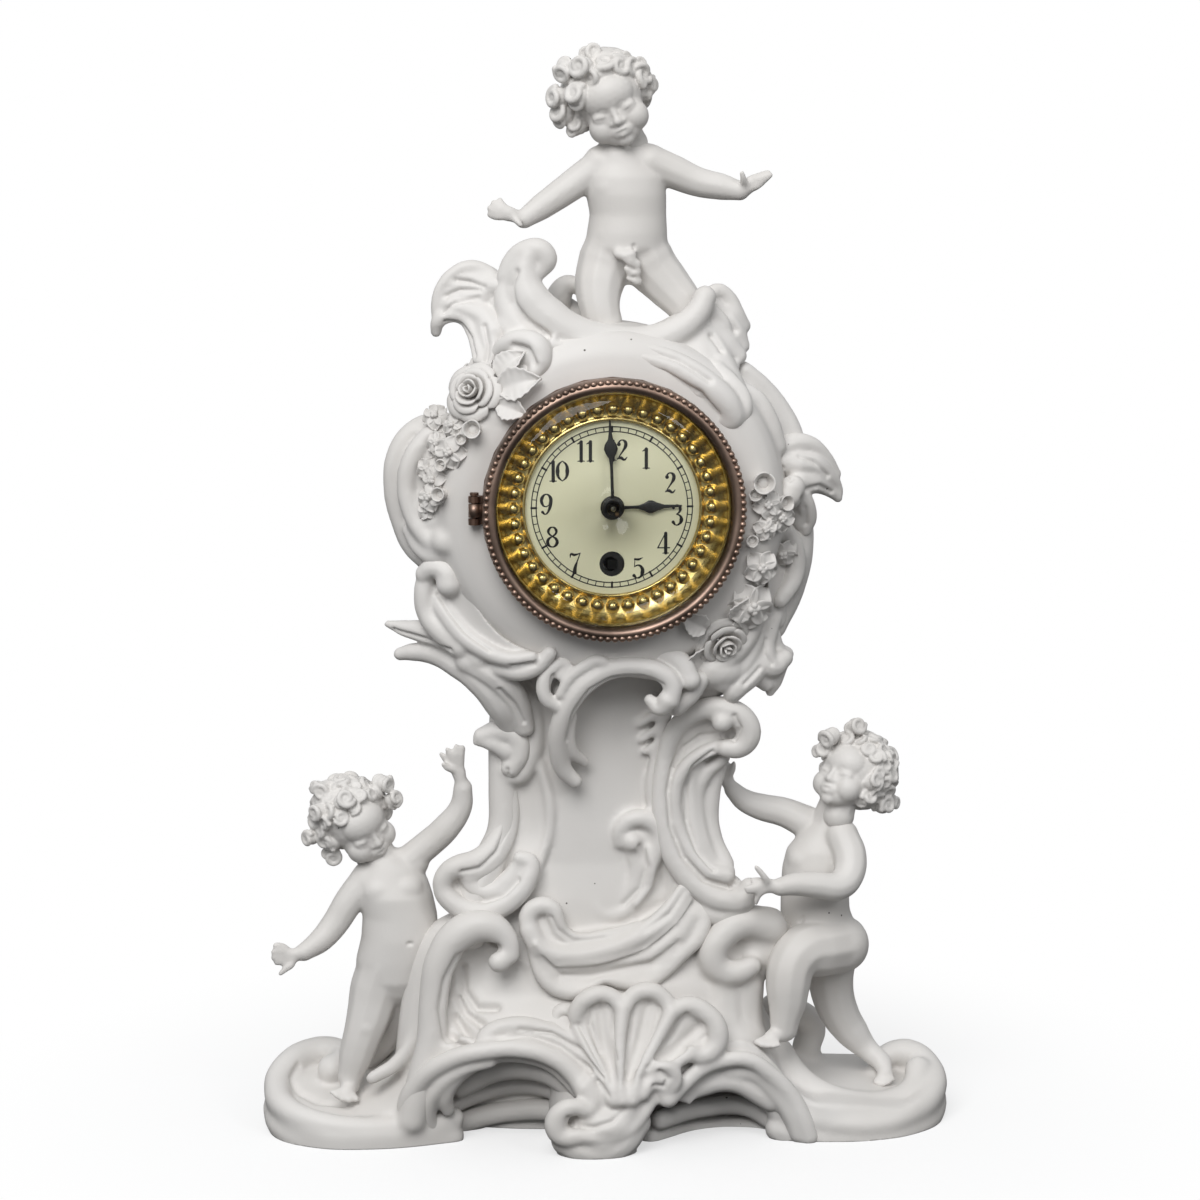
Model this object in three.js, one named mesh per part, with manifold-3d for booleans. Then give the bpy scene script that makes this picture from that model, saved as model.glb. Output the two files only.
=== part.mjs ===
import * as THREE from 'three';
import { mergeVertices } from 'three/addons/utils/BufferGeometryUtils.js';
import Module from 'manifold-3d';

// A figural mantel clock of unglazed porcelain with a drum timepiece.
// Millimetres. X runs to the right of the dial, Y to the back and Z up from the table.

// Clearances
const GAP = 0.3;
const WHEEL_GAP = 1.1;

// Porcelain
const BASE_LENGTH = 226;
const BASE_DEPTH = 90;
const BASE_HEIGHT = 58;
const WALL = 5;
const WAIST_WIDTH = 54;
const WAIST_DEPTH = 32;
const CASE_RADIUS = 57;
const CASE_DEPTH = 52;
const CASE_BACK = 22;
const DIAL_OFFSET = -1.2;
const DIAL_HEIGHT = 208;
const ROSE_RADIUS = 8;
const CURL_COUNT = 15;

// Timepiece
const PLATE_RADIUS = 35.5;
const PLATE_THICKNESS = 1.5;
const CAN_WALL = 0.6;
const BEZEL_LAP = 3.5;
const BEZEL_DEPTH = 8.4;
const RIM_WIDTH = 3.3;
const GLASS_THICKNESS = 1.6;
const GLASS_RISE = 2;
const DIAL_RADIUS = 28.8;
const DIAL_THICKNESS = 0.8;
const DIAL_RECESS = 2;
const MINUTE_HAND_LENGTH = 24;
const HOUR_HAND_LENGTH = 18.5;
const HAND_THICKNESS = 0.6;
const WINDING_SQUARE = 3;
const PIN_RADIUS = 0.8;
const HINGE_LENGTH = 9;
const COVER_THICKNESS = 1.2;
const SCREW_RADIUS = 1.1;

// Wheels: teeth and module
const GREAT = { teeth: 64, module: 0.5 };
const CENTRE_PINION = { teeth: 8, module: 0.5 };
const CENTRE = { teeth: 60, module: 0.4 };
const THIRD_PINION = { teeth: 6, module: 0.4 };
const THIRD = { teeth: 48, module: 0.4 };
const FOURTH_PINION = { teeth: 6, module: 0.4 };
const FOURTH = { teeth: 36, module: 0.4 };
const ESCAPE_PINION = { teeth: 6, module: 0.4 };
const CANNON = { teeth: 12, module: 0.5 };
const MINUTE = { teeth: 36, module: 0.5 };
const MINUTE_PINION = { teeth: 10, module: 0.48 };
const HOUR = { teeth: 40, module: 0.48 };
const ESCAPE_RADIUS = 5;
const ESCAPE_TEETH = 15;
const RATCHET_RADIUS = 6;
const RATCHET_TEETH = 18;
const BALANCE_RADIUS = 7.5;
const WHEEL_THICKNESS = 0.8;
const ARBOR_RADIUS = 0.6;
const WINDING_ARBOR_RADIUS = 2.2;
const TRAIN_STEP = 5.2;

// Directions on the plates, in degrees from +X towards +Z
const THIRD_BEARING = 50;
const FOURTH_BEARING = 155;
const ESCAPE_BEARING = 150;
const PALLET_BEARING = 200;
const BALANCE_BEARING = 235;
const MINUTE_BEARING = 20;
const PILLAR_BEARINGS = [45, 115, 195, 345];

const wasm = await Module();
wasm.setup();

const PORCELAIN = { color: '#e4e1dc', roughness: 0.75, metalness: 0 };
const BRASS = { color: '#b08d3f', roughness: 0.35, metalness: 1 };
const GILT = { color: '#c9a44a', roughness: 0.2, metalness: 1 };
const BRONZE = { color: '#6d4a3a', roughness: 0.4, metalness: 1 };
const STEEL = { color: '#8d8f94', roughness: 0.35, metalness: 1 };
const BLACK = { color: '#1c1a1b', roughness: 0.45, metalness: 0.4 };
const DIAL_CREAM = { color: '#d8d2a8', roughness: 0.5, metalness: 0 };
const GLASS = { color: '#eef3f2', roughness: 0.05, metalness: 0, transparent: true, opacity: 0.3 };

const clock = new THREE.Group();
const radians = THREE.MathUtils.degToRad;

// Facets round a large turned piece
const ROUND = 28;

// Solids and meshes

function solidOf(geometry) {
  geometry.deleteAttribute('normal');
  geometry.deleteAttribute('uv');
  const merged = mergeVertices(geometry, 1e-4);
  const vertProperties = Float32Array.from(merged.attributes.position.array);
  const triVerts = Uint32Array.from(merged.index.array);
  return new wasm.Manifold(new wasm.Mesh({ numProp: 3, vertProperties, triVerts }));
}

function geometryOf(solid) {
  const { vertProperties, triVerts } = solid.getMesh();
  const geometry = new THREE.BufferGeometry();
  geometry.setAttribute('position', new THREE.BufferAttribute(vertProperties, 3));
  geometry.setIndex(new THREE.BufferAttribute(triVerts, 1));
  geometry.computeVertexNormals();
  return geometry;
}

function join(...solids) {
  return solids.reduce((whole, solid) => whole.add(solid));
}

function cut(solid, ...cutters) {
  return cutters.reduce((rest, cutter) => rest.subtract(cutter), solid);
}

function largest(solid) {
  const bodies = solid.decompose();
  return bodies.reduce((best, body) => (body.volume() > best.volume() ? body : best));
}

function addPart(name, solid, look) {
  const mesh = new THREE.Mesh(geometryOf(solid), new THREE.MeshStandardMaterial(look));
  mesh.name = name;
  clock.add(mesh);
}

// Shapes about the Y axis, placed by their front and back

function disc(radius, front, back, sides = 24, x = 0, z = 0) {
  const geometry = new THREE.CylinderGeometry(radius, radius, back - front, sides);
  return solidOf(geometry.translate(x, (front + back) / 2, z));
}

function box(width, depth, height, x, y, z) {
  return solidOf(new THREE.BoxGeometry(width, depth, height).translate(x, y, z));
}

function turned(profile, sides = ROUND) {
  const points = profile.map(([radius, y]) => new THREE.Vector2(radius, y));
  if (THREE.ShapeUtils.area(points) < 0) points.reverse();
  if (profile[0][0] > 0) points.push(points[0].clone());
  return solidOf(new THREE.LatheGeometry(points, sides));
}

function ring(inner, outer, front, back, sides = ROUND) {
  return turned([[inner, front], [outer, front], [outer, back], [inner, back]], sides);
}

function plateShape(outline, front, back) {
  const shape = new THREE.Shape(outline);
  const geometry = new THREE.ExtrudeGeometry(shape, { depth: back - front, bevelEnabled: false });
  return solidOf(geometry.rotateX(Math.PI / 2).translate(0, back, 0));
}

function compass(radius, degrees) {
  return { x: radius * Math.cos(radians(degrees)), z: radius * Math.sin(radians(degrees)) };
}

// Pointed teeth round a wheel, one of them pointing along the bearing, or a space if shifted half a tooth.
function toothed(teeth, tip, root, front, back, bearing, lean = 0.5) {
  const outline = [];
  const pitch = 360 / teeth;
  for (let tooth = 0; tooth < teeth; tooth += 1) {
    const crest = compass(tip, bearing + tooth * pitch);
    const valley = compass(root, bearing + (tooth + lean) * pitch);
    outline.push(new THREE.Vector2(crest.x, crest.z), new THREE.Vector2(valley.x, valley.z));
  }
  return plateShape(outline, front, back);
}

function pitchRadius(gear) {
  return (gear.teeth * gear.module) / 2;
}

function gearSolid(gear, front, back, bearing) {
  const tip = pitchRadius(gear) + gear.module * 0.5;
  const root = pitchRadius(gear) - gear.module;
  return toothed(gear.teeth, tip, root, front, back, bearing);
}

function wheelSolid(gear, front, bearing) {
  return gearSolid(gear, front, front + WHEEL_THICKNESS, bearing);
}

// A pinion shows a space towards the wheel that drives it.
function pinionSolid(gear, front, bearing) {
  const halfTooth = 180 / gear.teeth;
  const back = front + WHEEL_THICKNESS + WHEEL_GAP;
  return gearSolid(gear, front - WHEEL_GAP / 2, back - WHEEL_GAP / 2, bearing + 180 + halfTooth);
}

function spiral(inner, outer, turns, thickness, front, back, stepsPerTurn) {
  const steps = turns * stepsPerTurn;
  const edge = (shift) => (_, step) => {
    const share = step / steps;
    const point = compass(inner + (outer - inner) * share + shift, 360 * turns * share);
    return new THREE.Vector2(point.x, point.z);
  };
  const outside = Array.from({ length: steps + 1 }, edge(thickness / 2));
  const inside = Array.from({ length: steps + 1 }, edge(-thickness / 2)).reverse();
  return plateShape([...outside, ...inside], front, back);
}

// Modelled porcelain: skins of rings, each ring a list of points

function skin(rings, start, end) {
  const sides = rings[0].length;
  const points = [start, ...rings.flat(), end];
  const last = points.length - 1;
  const index = [];
  for (let side = 0; side < sides; side += 1) {
    const next = (side + 1) % sides;
    index.push(0, 1 + next, 1 + side);
    for (let row = 0; row < rings.length - 1; row += 1) {
      const low = 1 + row * sides;
      const high = low + sides;
      index.push(low + side, low + next, high + next);
      index.push(low + side, high + next, high + side);
    }
    index.push(last, last - sides + side, last - sides + next);
  }
  const geometry = new THREE.BufferGeometry();
  const flat = points.flatMap((point) => [point.x, point.y, point.z]);
  geometry.setAttribute('position', new THREE.Float32BufferAttribute(flat, 3));
  geometry.setIndex(index);
  return solidOf(geometry);
}

// A rounded roll along a smooth route of [x, y, z, radius] points. It thins where it bends sharply.
function roll(route, grow = 0, sides = 6, stepsPerSpan = 1) {
  const places = route.map(([x, y, z]) => new THREE.Vector3(x, y, z));
  const curve = new THREE.CatmullRomCurve3(places, false, 'centripetal');
  const spans = route.length - 1;
  const steps = spans * stepsPerSpan;
  const stations = [];
  for (let step = 0; step <= steps; step += 1) {
    const span = Math.min(Math.floor(step / stepsPerSpan), spans - 1);
    const share = step / stepsPerSpan - span;
    const radius = THREE.MathUtils.lerp(route[span][3], route[span + 1][3], share) + grow;
    const place = curve.getPoint(step / steps);
    stations.push({ place, along: curve.getTangent(step / steps).normalize(), radius });
  }
  limitBends(stations);
  const across = new THREE.Vector3(0.31, 0.87, 0.38).cross(stations[0].along).normalize();
  const rings = stations.map((station) => {
    across.addScaledVector(station.along, -across.dot(station.along)).normalize();
    return ringAround(station, across.clone(), 0, 1, sides);
  });
  const first = stations[0];
  const final = stations[steps];
  const startAcross = new THREE.Vector3().subVectors(rings[0][0], first.place).normalize();
  rings.unshift(ringAround(first, startAcross, -0.7, 0.7, sides));
  rings.push(ringAround(final, across.clone(), 0.7, 0.7, sides));
  const start = first.place.clone().addScaledVector(first.along, -first.radius);
  const end = final.place.clone().addScaledVector(final.along, final.radius);
  return skin(rings, start, end);
}

function limitBends(stations) {
  for (let at = 1; at < stations.length - 1; at += 1) {
    const before = stations[at - 1];
    const after = stations[at + 1];
    const turn = Math.max(before.along.angleTo(after.along), 1e-3);
    const bendRadius = before.place.distanceTo(after.place) / turn;
    stations[at].radius = Math.min(stations[at].radius, bendRadius * 0.9);
  }
}

function ringAround({ place, along, radius }, across, ahead, share, sides) {
  const up = new THREE.Vector3().crossVectors(along, across);
  const centre = place.clone().addScaledVector(along, radius * ahead);
  return Array.from({ length: sides }, (_, side) => {
    const angle = (side / sides) * 2 * Math.PI;
    const point = centre.clone().addScaledVector(across, Math.cos(angle) * radius * share);
    return point.addScaledVector(up, Math.sin(angle) * radius * share);
  });
}

function ball([x, y, z, radius], grow = 0, detail = 1) {
  const geometry = new THREE.IcosahedronGeometry(radius + grow, detail);
  return solidOf(geometry.translate(x, y, z));
}

// A lofted body of oval sections. Each section is [level, centre x, centre y, half width, half depth].
function loft(sections, sides = 20) {
  const rings = sections.map(([z, x, y, halfWidth, halfDepth]) => (
    Array.from({ length: sides }, (_, side) => {
      const angle = (side / sides) * 2 * Math.PI;
      return new THREE.Vector3(x + halfWidth * Math.cos(angle), y + halfDepth * Math.sin(angle), z);
    })
  ));
  const centre = ([z, x, y]) => new THREE.Vector3(x, y, z);
  return skin(rings, centre(sections[0]), centre(sections[sections.length - 1]));
}

// A flat-bottomed platform inside a smooth outline, with its top height given by place.
function platform(outline, topAt, grow) {
  const curve = new THREE.SplineCurve([...outline, outline[0]].map(([x, y]) => new THREE.Vector2(x, y)));
  const points = curve.getPoints(20).slice(0, -1);
  const shape = new THREE.Shape(points);
  const geometry = new THREE.ExtrudeGeometry(shape, { depth: 1, bevelEnabled: false });
  const position = geometry.attributes.position;
  const total = points.reduce((sum, point) => sum.add(point), new THREE.Vector2());
  const middle = total.divideScalar(points.length);
  for (let at = 0; at < position.count; at += 1) {
    const x = position.getX(at);
    const y = position.getY(at);
    const outward = new THREE.Vector2(x - middle.x, y - middle.y).setLength(grow);
    const z = position.getZ(at) > 0.5 ? topAt(x, y) + grow : 0;
    position.setXYZ(at, x + outward.x, y + outward.y, z);
  }
  return solidOf(geometry);
}

const moved = (points, [x, y, z]) => points.map(([px, py, pz, radius]) => [px + x, py + y, pz + z, radius]);

// Anchors
const FACE = CASE_BACK - CASE_DEPTH;
const BASE_FRONT = -BASE_DEPTH / 2;
const LEFT_END = [-BASE_LENGTH / 2, BASE_FRONT, 0];
const RIGHT_END = [BASE_LENGTH / 2, BASE_FRONT, 0];
const FRONT_FOOT = [0, BASE_FRONT, 0];
const WAIST_FRONT = [0, -WAIST_DEPTH / 2, BASE_HEIGHT];
const WAIST_LEFT = [-WAIST_WIDTH / 2, -WAIST_DEPTH / 2, BASE_HEIGHT];
const WAIST_RIGHT = [WAIST_WIDTH / 2, -WAIST_DEPTH / 2, BASE_HEIGHT];
const CASE_TOP = [DIAL_OFFSET, FACE, DIAL_HEIGHT + CASE_RADIUS];

// A point on the case, from its clock angle, its distance beyond the rim and its depth behind the face.
function onCase([angle, beyond, inset, radius]) {
  const reach = CASE_RADIUS + beyond;
  const x = DIAL_OFFSET + reach * Math.sin(radians(angle));
  const z = DIAL_HEIGHT + reach * Math.cos(radians(angle));
  return [x, FACE + inset, z, radius];
}

const rolls = (routes, grow) => join(...routes.map((route) => roll(route, grow)));
const placed = (anchor, grow, ...routes) => rolls(routes.map((route) => moved(route, anchor)), grow);
const placedOnCase = (grow, ...routes) => rolls(routes.map((route) => route.map(onCase)), grow);

const bench = box(600, 600, 100, 0, 0, -50);

// Base: a hollow core, two wings and a volute on each hip, with two arches laid in front

function baseCore(inset, low, high) {
  const halfLength = BASE_LENGTH / 2 - 53 - inset;
  const section = (z, narrower, front, back) => {
    const near = BASE_FRONT + front + inset;
    const far = BASE_DEPTH / 2 - back - inset;
    return [z, 0, (near + far) / 2, halfLength - narrower, (far - near) / 2];
  };
  const rise = high - low;
  return loft([
    section(low, 0, 19, 0),
    section(low + rise * 0.4, 3, 21, 8),
    section(low + rise * 0.75, 9, 24, 17),
    section(high, 16, 27, 24),
  ]);
}

function leftWing(grow) {
  const outline = [
    [62, 27], [48, 25], [34, 24], [20, 25], [8, 33], [0, 46], [1, 58], [10, 70], [27, 76], [48, 78], [64, 70],
  ];
  const placedOutline = outline.map(([x, y]) => [x + LEFT_END[0], y + BASE_FRONT]);
  const top = (x, y) => 13 + y * 0.25;
  const volute = moved([[21, 55, 14, 7]], LEFT_END)[0];
  return join(platform(placedOutline, top, grow), ball(volute, grow));
}

function rightWing(grow) {
  const outline = [
    [-62, 70], [-44, 74], [-26, 74], [-9, 68], [0, 52], [-1, 36], [-9, 21], [-26, 14], [-44, 14], [-60, 20],
  ];
  const placedOutline = outline.map(([x, y]) => [x + RIGHT_END[0], y + BASE_FRONT]);
  const hump = (x, middle, height) => height * Math.exp(-(((x - RIGHT_END[0] - middle) / 13) ** 2));
  const top = (x) => 7 + hump(x, -10, 9) + hump(x, -56, 12);
  return platform(placedOutline, top, grow);
}

function leftArchSolid(grow) {
  const arch = placed(FRONT_FOOT, grow,
    [[-62, 21, 6, 6.5], [-60, 18, 17, 7.5], [-52, 16, 27, 7], [-37, 14, 34, 7], [-22, 13, 34, 7],
      [-9, 10, 27, 7]]);
  return cut(arch, bench);
}

function rightArchSolid(grow) {
  const arch = placed(FRONT_FOOT, grow,
    [[13, 10, 26, 5.5], [27, 13, 29, 6.5], [40, 15, 29, 7], [51, 16, 22, 7], [60, 17, 11, 6],
      [64, 18, 4, 5.5]]);
  return cut(arch, bench);
}

function hips(grow) {
  const left = placed(LEFT_END, grow,
    [[50, 29, 8, 7], [53, 28, 27, 8], [54, 28, 44, 8], [58, 28, 58, 8], [66, 26, 64, 7], [75, 23, 62, 6]]);
  const right = placed(RIGHT_END, grow,
    [[-58, 35, 60, 6], [-67, 31, 64, 7], [-76, 27, 61, 7], [-77, 26, 54, 6]],
    [[-74, 30, 53, 6], [-69, 27, 40, 5.5], [-67, 22, 26, 5]]);
  return join(left, right);
}

function baseSolid(grow) {
  const core = baseCore(-grow, 0, BASE_HEIGHT + grow);
  return cut(join(core, leftWing(grow), rightWing(grow), hips(grow)), bench);
}

function base() {
  return cut(baseSolid(0), baseCore(WALL, -1, BASE_HEIGHT - WALL), waistSeat(GAP));
}

// Room above the base for the foot of the waist
function waistSeat(grow) {
  return waistLoft(grow, BASE_HEIGHT, BASE_HEIGHT + 30);
}

// Waist: an open neck from the base up to the case

function waistLoft(grow, low, high) {
  const half = WAIST_WIDTH / 2 + grow;
  const deep = WAIST_DEPTH / 2 + grow;
  const sections = [
    [0, -5, 14, 3], [0.13, -5, 9, 2], [0.3, -4, 4, 1], [0.55, -2, 1, 0], [0.85, -1, 0, 0], [1, -1, 1, 1],
  ];
  const rise = DIAL_HEIGHT - CASE_RADIUS * 0.8 - BASE_HEIGHT;
  const lofted = sections.map(([share, x, wider, deeper]) => (
    [BASE_HEIGHT + share * rise, x, 0, half + wider, deep + deeper]
  ));
  lofted[0][0] = low;
  return loft(lofted.filter(([z]) => z <= high));
}

function waistSolid(grow) {
  const front = placed(WAIST_FRONT, grow,
    [[-22, 1, 15, 6], [-16, -2, 7, 6], [-1, -3, 3, 6], [13, -2, 9, 6], [23, 0, 22, 5]],
    [[5, 1, 42, 5.5], [12, 1, 42, 5], [16, 1, 30, 5], [8, 1, 18, 5]],
    [[-44, 5, 106, 6], [-34, 5, 96, 8], [-28, 6, 84, 7]]);
  return join(waistLoft(grow, BASE_HEIGHT + GAP - grow, DIAL_HEIGHT), front);
}

function waist() {
  const hollow = waistLoft(-WALL, BASE_HEIGHT - 10, DIAL_HEIGHT);
  return cut(waistSolid(0), hollow, baseTop());
}

function baseTop() {
  return box(600, 600, 100, 0, 0, BASE_HEIGHT + GAP - 50);
}

// Scrolls and leaves

function palmetteSolid(grow) {
  const foot = ball(moved([[-9, 11, 11, 11]], FRONT_FOOT)[0], grow);
  const lobes = placed(FRONT_FOOT, grow,
    [[-2, 9, 14, 8], [1, 10, 25, 9], [8, 14, 36, 10], [13, 18, 46, 8]],
    [[-2, 10, 26, 6], [-8, 15, 37, 7], [-9, 18, 45, 7]],
    [[7, 9, 23, 6], [16, 13, 33, 7], [27, 17, 41, 8], [33, 18, 36, 6]],
    [[-4, 10, 30, 5], [-15, 14, 37, 5.5], [-28, 16, 41, 5], [-42, 18, 40, 4.5]]);
  return cut(join(foot, lobes), bench);
}

function leftScrollSolid(grow) {
  return placed(WAIST_LEFT, grow,
    [[-3, -6, 95, 5], [2, -4, 86, 6], [3, -2, 76, 6], [-3, -2, 69, 8], [-10, 1, 73, 6], [-16, 4, 74, 3.5]],
    [[1, 0, 76, 6], [-4, 2, 60, 6.5], [-6, 3, 48, 6.5], [-10, 3, 38, 7], [-18, 1, 31, 8], [-25, -1, 29, 7.5]],
    [[-24, 0, 24, 6], [-14, -2, 21, 6.5], [-4, -3, 26, 6.5], [0, -2, 33, 5.5]]);
}

function rightScrollSolid(grow) {
  return placed(WAIST_RIGHT, grow,
    [[13, -6, 76, 7], [7, -6, 82, 7.5], [-2, -4, 78, 8], [-7, -1, 66, 8], [-8, 0, 52, 8],
      [-6, 0, 38, 8], [1, -1, 28, 8], [10, -3, 25, 7.5], [17, -5, 27, 5.5]]);
}

function caseScrollSolid(grow) {
  return placedOnCase(grow,
    [[165, -0.5, -3, 7], [178, -2, -3, 7], [-172, 3, 0, 6.5], [-168, 13.5, 3, 6], [-169, 24.5, 7, 5.5],
      [-173, 31.6, 10, 5]],
    [[-170, -3, -3, 6], [-162, 0, -1, 6], [-160, 8, 2, 5]]);
}

function leftCaseLeafSolid(grow) {
  return placedOnCase(grow,
    [[-100, -1, 7, 6.5], [-112, 3, 8, 6.5], [-119, 7, 10, 6.5], [-127, 8, 8, 6.5], [-138, 4, 5, 6],
      [-150, 0, 0, 5]],
    [[-127, 7, 11, 8], [-125, 15, 17, 6], [-120, 23, 22, 3]],
    [[-137, 8, 13, 8], [-130, 17, 20, 6.5], [-127, 25.5, 24, 4]]);
}

function rightCaseLeafSolid(grow) {
  return placedOnCase(grow,
    [[121, 9, 18, 5], [127, 8, 13, 6], [133, 8, 9, 6.5], [137, 13, 9, 7], [131, 19, 14, 5]],
    [[136, 13, 9, 7], [140, 20, 14, 6], [138, 26, 18, 3.5]]);
}

function earLeafSolid(grow) {
  return placedOnCase(grow,
    [[81, -2, 11, 7], [79, 6, 14, 9], [83, 13, 18, 8], [89, 17.5, 22, 4]],
    [[86, 0, 13, 7], [93, 5, 16, 6], [98, 9, 18, 4.5]]);
}

function crestSolid(grow) {
  return placed(CASE_TOP, grow,
    [[-26, 15, 17, 7.5], [-24, 16, 5, 7], [-11, 15, -3, 6.5], [4, 14, -5, 6.5], [19, 15, -4, 6],
      [28, 16, 2, 6], [31, 17, 9, 5]],
    [[-27, 11, -1, 6], [-12, 6, -5, 6.5], [6, 4, -8, 7], [23, 3, -12, 7.5], [34, 3, -21, 7.5],
      [36, 3, -29, 7.5]],
    [[28, 19, 0, 8], [37, 22, 2, 8.5], [41, 22, -4, 7.5], [42, 20, -11, 6.5], [46, 18, -16, 4.5]]);
}

function crestShellSolid(grow) {
  return placed(CASE_TOP, grow,
    [[-30, 19, 6, 9], [-37, 19, 6, 10.5], [-44, 20, 9, 9.5], [-50, 22, 7, 7.5]],
    [[-51, 23, 1, 4.5], [-45, 21, 1, 6], [-40, 19, -4, 6.5], [-37, 17, -10, 7]]);
}

// Figures: a body, a head with hair, and limbs

function figureSolid(anchor, figure, grow) {
  const body = placed(anchor, grow, ...figure.limbs);
  const torso = roll(moved(figure.torso, anchor), grow, 8);
  return join(torso, body, headSolid(moved([figure.head], anchor)[0], grow));
}

// A skull with curls on the crown, the sides and the back. The face looks to the front.
function headSolid([x, y, z, radius], grow) {
  const curls = Array.from({ length: CURL_COUNT }, (_, curl) => {
    const up = 1 - ((curl + 0.5) * 1.5) / CURL_COUNT;
    const out = Math.sqrt(1 - up * up);
    return [out * Math.cos(curl * 2.4), out * Math.sin(curl * 2.4), up];
  });
  const scalp = curls.filter(([, back, up]) => back > -0.22 - Math.max(0, up - 0.3));
  const balls = scalp.map(([across, back, up]) => {
    const reach = radius * 0.7;
    return ball([x + across * reach, y + back * reach, z + up * reach, radius * 0.34], grow);
  });
  return join(ball([x, y, z, radius * 0.8], grow), ...balls);
}

const LEFT_FIGURE = {
  torso: [
    [43, 43, 55, 11.5], [44, 43, 67, 11], [42, 43, 79, 11.6], [41, 44, 86, 9.5], [37, 44, 89, 5.2],
      [34, 43, 95, 5],
  ],
  head: [30, 44, 104, 14.5],
  limbs: [
    [[32, 43, 84, 5], [28, 42, 76, 5], [23, 41, 69, 4.6], [19, 39, 64, 4], [10, 36, 59, 3], [4, 35, 60, 1.6]],
    [[49, 45, 87, 5], [56, 44, 93, 4.8], [63, 43, 101, 4.6], [65, 41, 113, 2.8], [64, 41, 117, 2.8],
      [61, 40, 124, 1.6]],
    [[38, 42, 51, 8.5], [34, 41, 43, 8], [32, 39, 35, 6.2], [30, 40, 28, 5.8], [28, 39, 17, 3.8],
      [26, 33, 13.5, 3.5]],
    [[47, 46, 48, 8.3], [45, 48, 41, 7.6], [42, 49, 34, 6.3], [39, 54, 25, 5], [35, 57, 18, 3.8]],
  ],
};

const RIGHT_FIGURE = {
  torso: [
    [-38, 39, 59, 12], [-38, 39, 73, 11.2], [-40, 38, 85, 11.8], [-39, 39, 94, 9.5], [-38, 38, 102, 5.5],
    [-35, 38, 108, 5.5],
  ],
  head: [-33, 38, 118, 14.8],
  limbs: [
    [[-35, 31, 93, 5.6], [-36, 26, 87, 5.4], [-42, 22, 84, 5], [-57, 19, 85, 3.3], [-62, 19, 84, 3],
      [-70, 18, 85, 1.6]],
    [[-45, 47, 98, 5.2], [-52, 49, 101, 5], [-59, 51, 102, 4.6], [-67, 51, 106, 4], [-71, 51, 111, 3],
      [-73, 51, 115, 2.6]],
    [[-37, 32, 62, 10], [-47, 27, 63, 9.4], [-54, 23, 59, 7.8], [-56, 23, 49, 6.4], [-58, 23, 38, 4],
      [-62, 21, 34, 3.6], [-67, 17, 33, 2.8]],
    [[-38, 45, 51, 9], [-36, 47, 42, 8], [-32, 49, 33, 6.8], [-26, 49, 26, 5.6], [-22, 46, 19, 3.8],
      [-21, 39, 13.5, 3.2]],
  ],
};

const TOP_FIGURE = {
  torso: [
    [5.5, 28, 18, 12], [7.5, 27, 31, 11.2], [6.5, 26, 44, 12.3], [5.5, 27, 50, 9.5], [5.5, 27, 54, 5.5],
    [3, 26, 60, 5.5],
  ],
  head: [0.5, 26, 72, 15.2],
  limbs: [
    [[-3.5, 27, 49, 5.6], [-10.5, 26, 44, 5.3], [-16.5, 25, 39, 4.6], [-22.5, 23, 36, 4.2],
      [-31.5, 20, 35, 3], [-37, 18, 35, 1.6]],
    [[15.5, 27, 50, 5.6], [24.5, 26, 47, 5.3], [31.5, 25, 44, 4.6], [35.5, 23, 42, 4.2],
      [43.5, 20, 42, 3], [51, 18, 45, 1.6]],
    [[-1.5, 26, 16, 9], [-2.5, 22, 9, 8.4], [-2.5, 22, 3, 7.2]],
    [[-4.5, 27, 2, 6], [-9.5, 37, 3, 5.6], [-12.5, 42, 8, 4.4]],
    [[13.5, 26, 16, 9.2], [19.5, 24, 11, 8.6], [24, 23, 5, 7.4]],
    [[26, 30, 3, 6], [31, 40, 3, 4.8]],
  ],
};

// Flowers laid on the case

function roseSolid(place, leaves, grow) {
  const [x, y, z] = onCase([...place, 0]);
  const petals = [0, 72, 144, 216, 288].map((bearing) => {
    const out = compass(ROSE_RADIUS * 0.65, bearing + 18);
    return ball([x + out.x, y + 1, z + out.z, ROSE_RADIUS * 0.75], grow, 0);
  });
  const heart = ball([x, y - 1.5, z, ROSE_RADIUS * 0.72], grow);
  return join(heart, ...petals, placedOnCase(grow, ...leaves));
}

function roseLeft(grow) {
  return roseSolid([-48, -1.4, 0], [[[-45, -2, 3, 4], [-33, 1, 3, 3.5], [-27, 1, 4, 1.5]]], grow);
}

function roseRight(grow) {
  const leaves = [
    [[144, -2, 2, 4], [154, -2, 2, 3.5], [160, -3, 2, 1.5]],
    [[140, 4, 3, 4], [141, 11, 4, 3], [141, 14, 5, 1.5]],
  ];
  return roseSolid([141, -2.6, -1], leaves, grow);
}

function garlandLeft(grow) {
  return placedOnCase(grow,
    [[-58, 0, 4, 5], [-64, -0.2, 4, 5.5], [-73, -2.4, 5, 5.5], [-83, -1.1, 6, 5.5], [-93, 0.5, 8, 4]]);
}

function garlandRight(grow) {
  return placedOnCase(grow,
    [[77, -7.5, 5, 4.5], [89, -4.5, 6, 6], [101, -1, 8, 6], [112, -3.8, 5, 6], [123, -3.2, 2, 7],
      [130, -1, 4, 4]]);
}

// The case: a round shell with the bore for the timepiece in front and a wider opening behind

const CAN_RADIUS = PLATE_RADIUS + GAP + 0.5 + CAN_WALL;
const BORE_RADIUS = CAN_RADIUS + GAP + 0.6;
const BACK_OPENING = BORE_RADIUS + 3;
const BEZEL_RADIUS = BORE_RADIUS + BEZEL_LAP;

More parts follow.
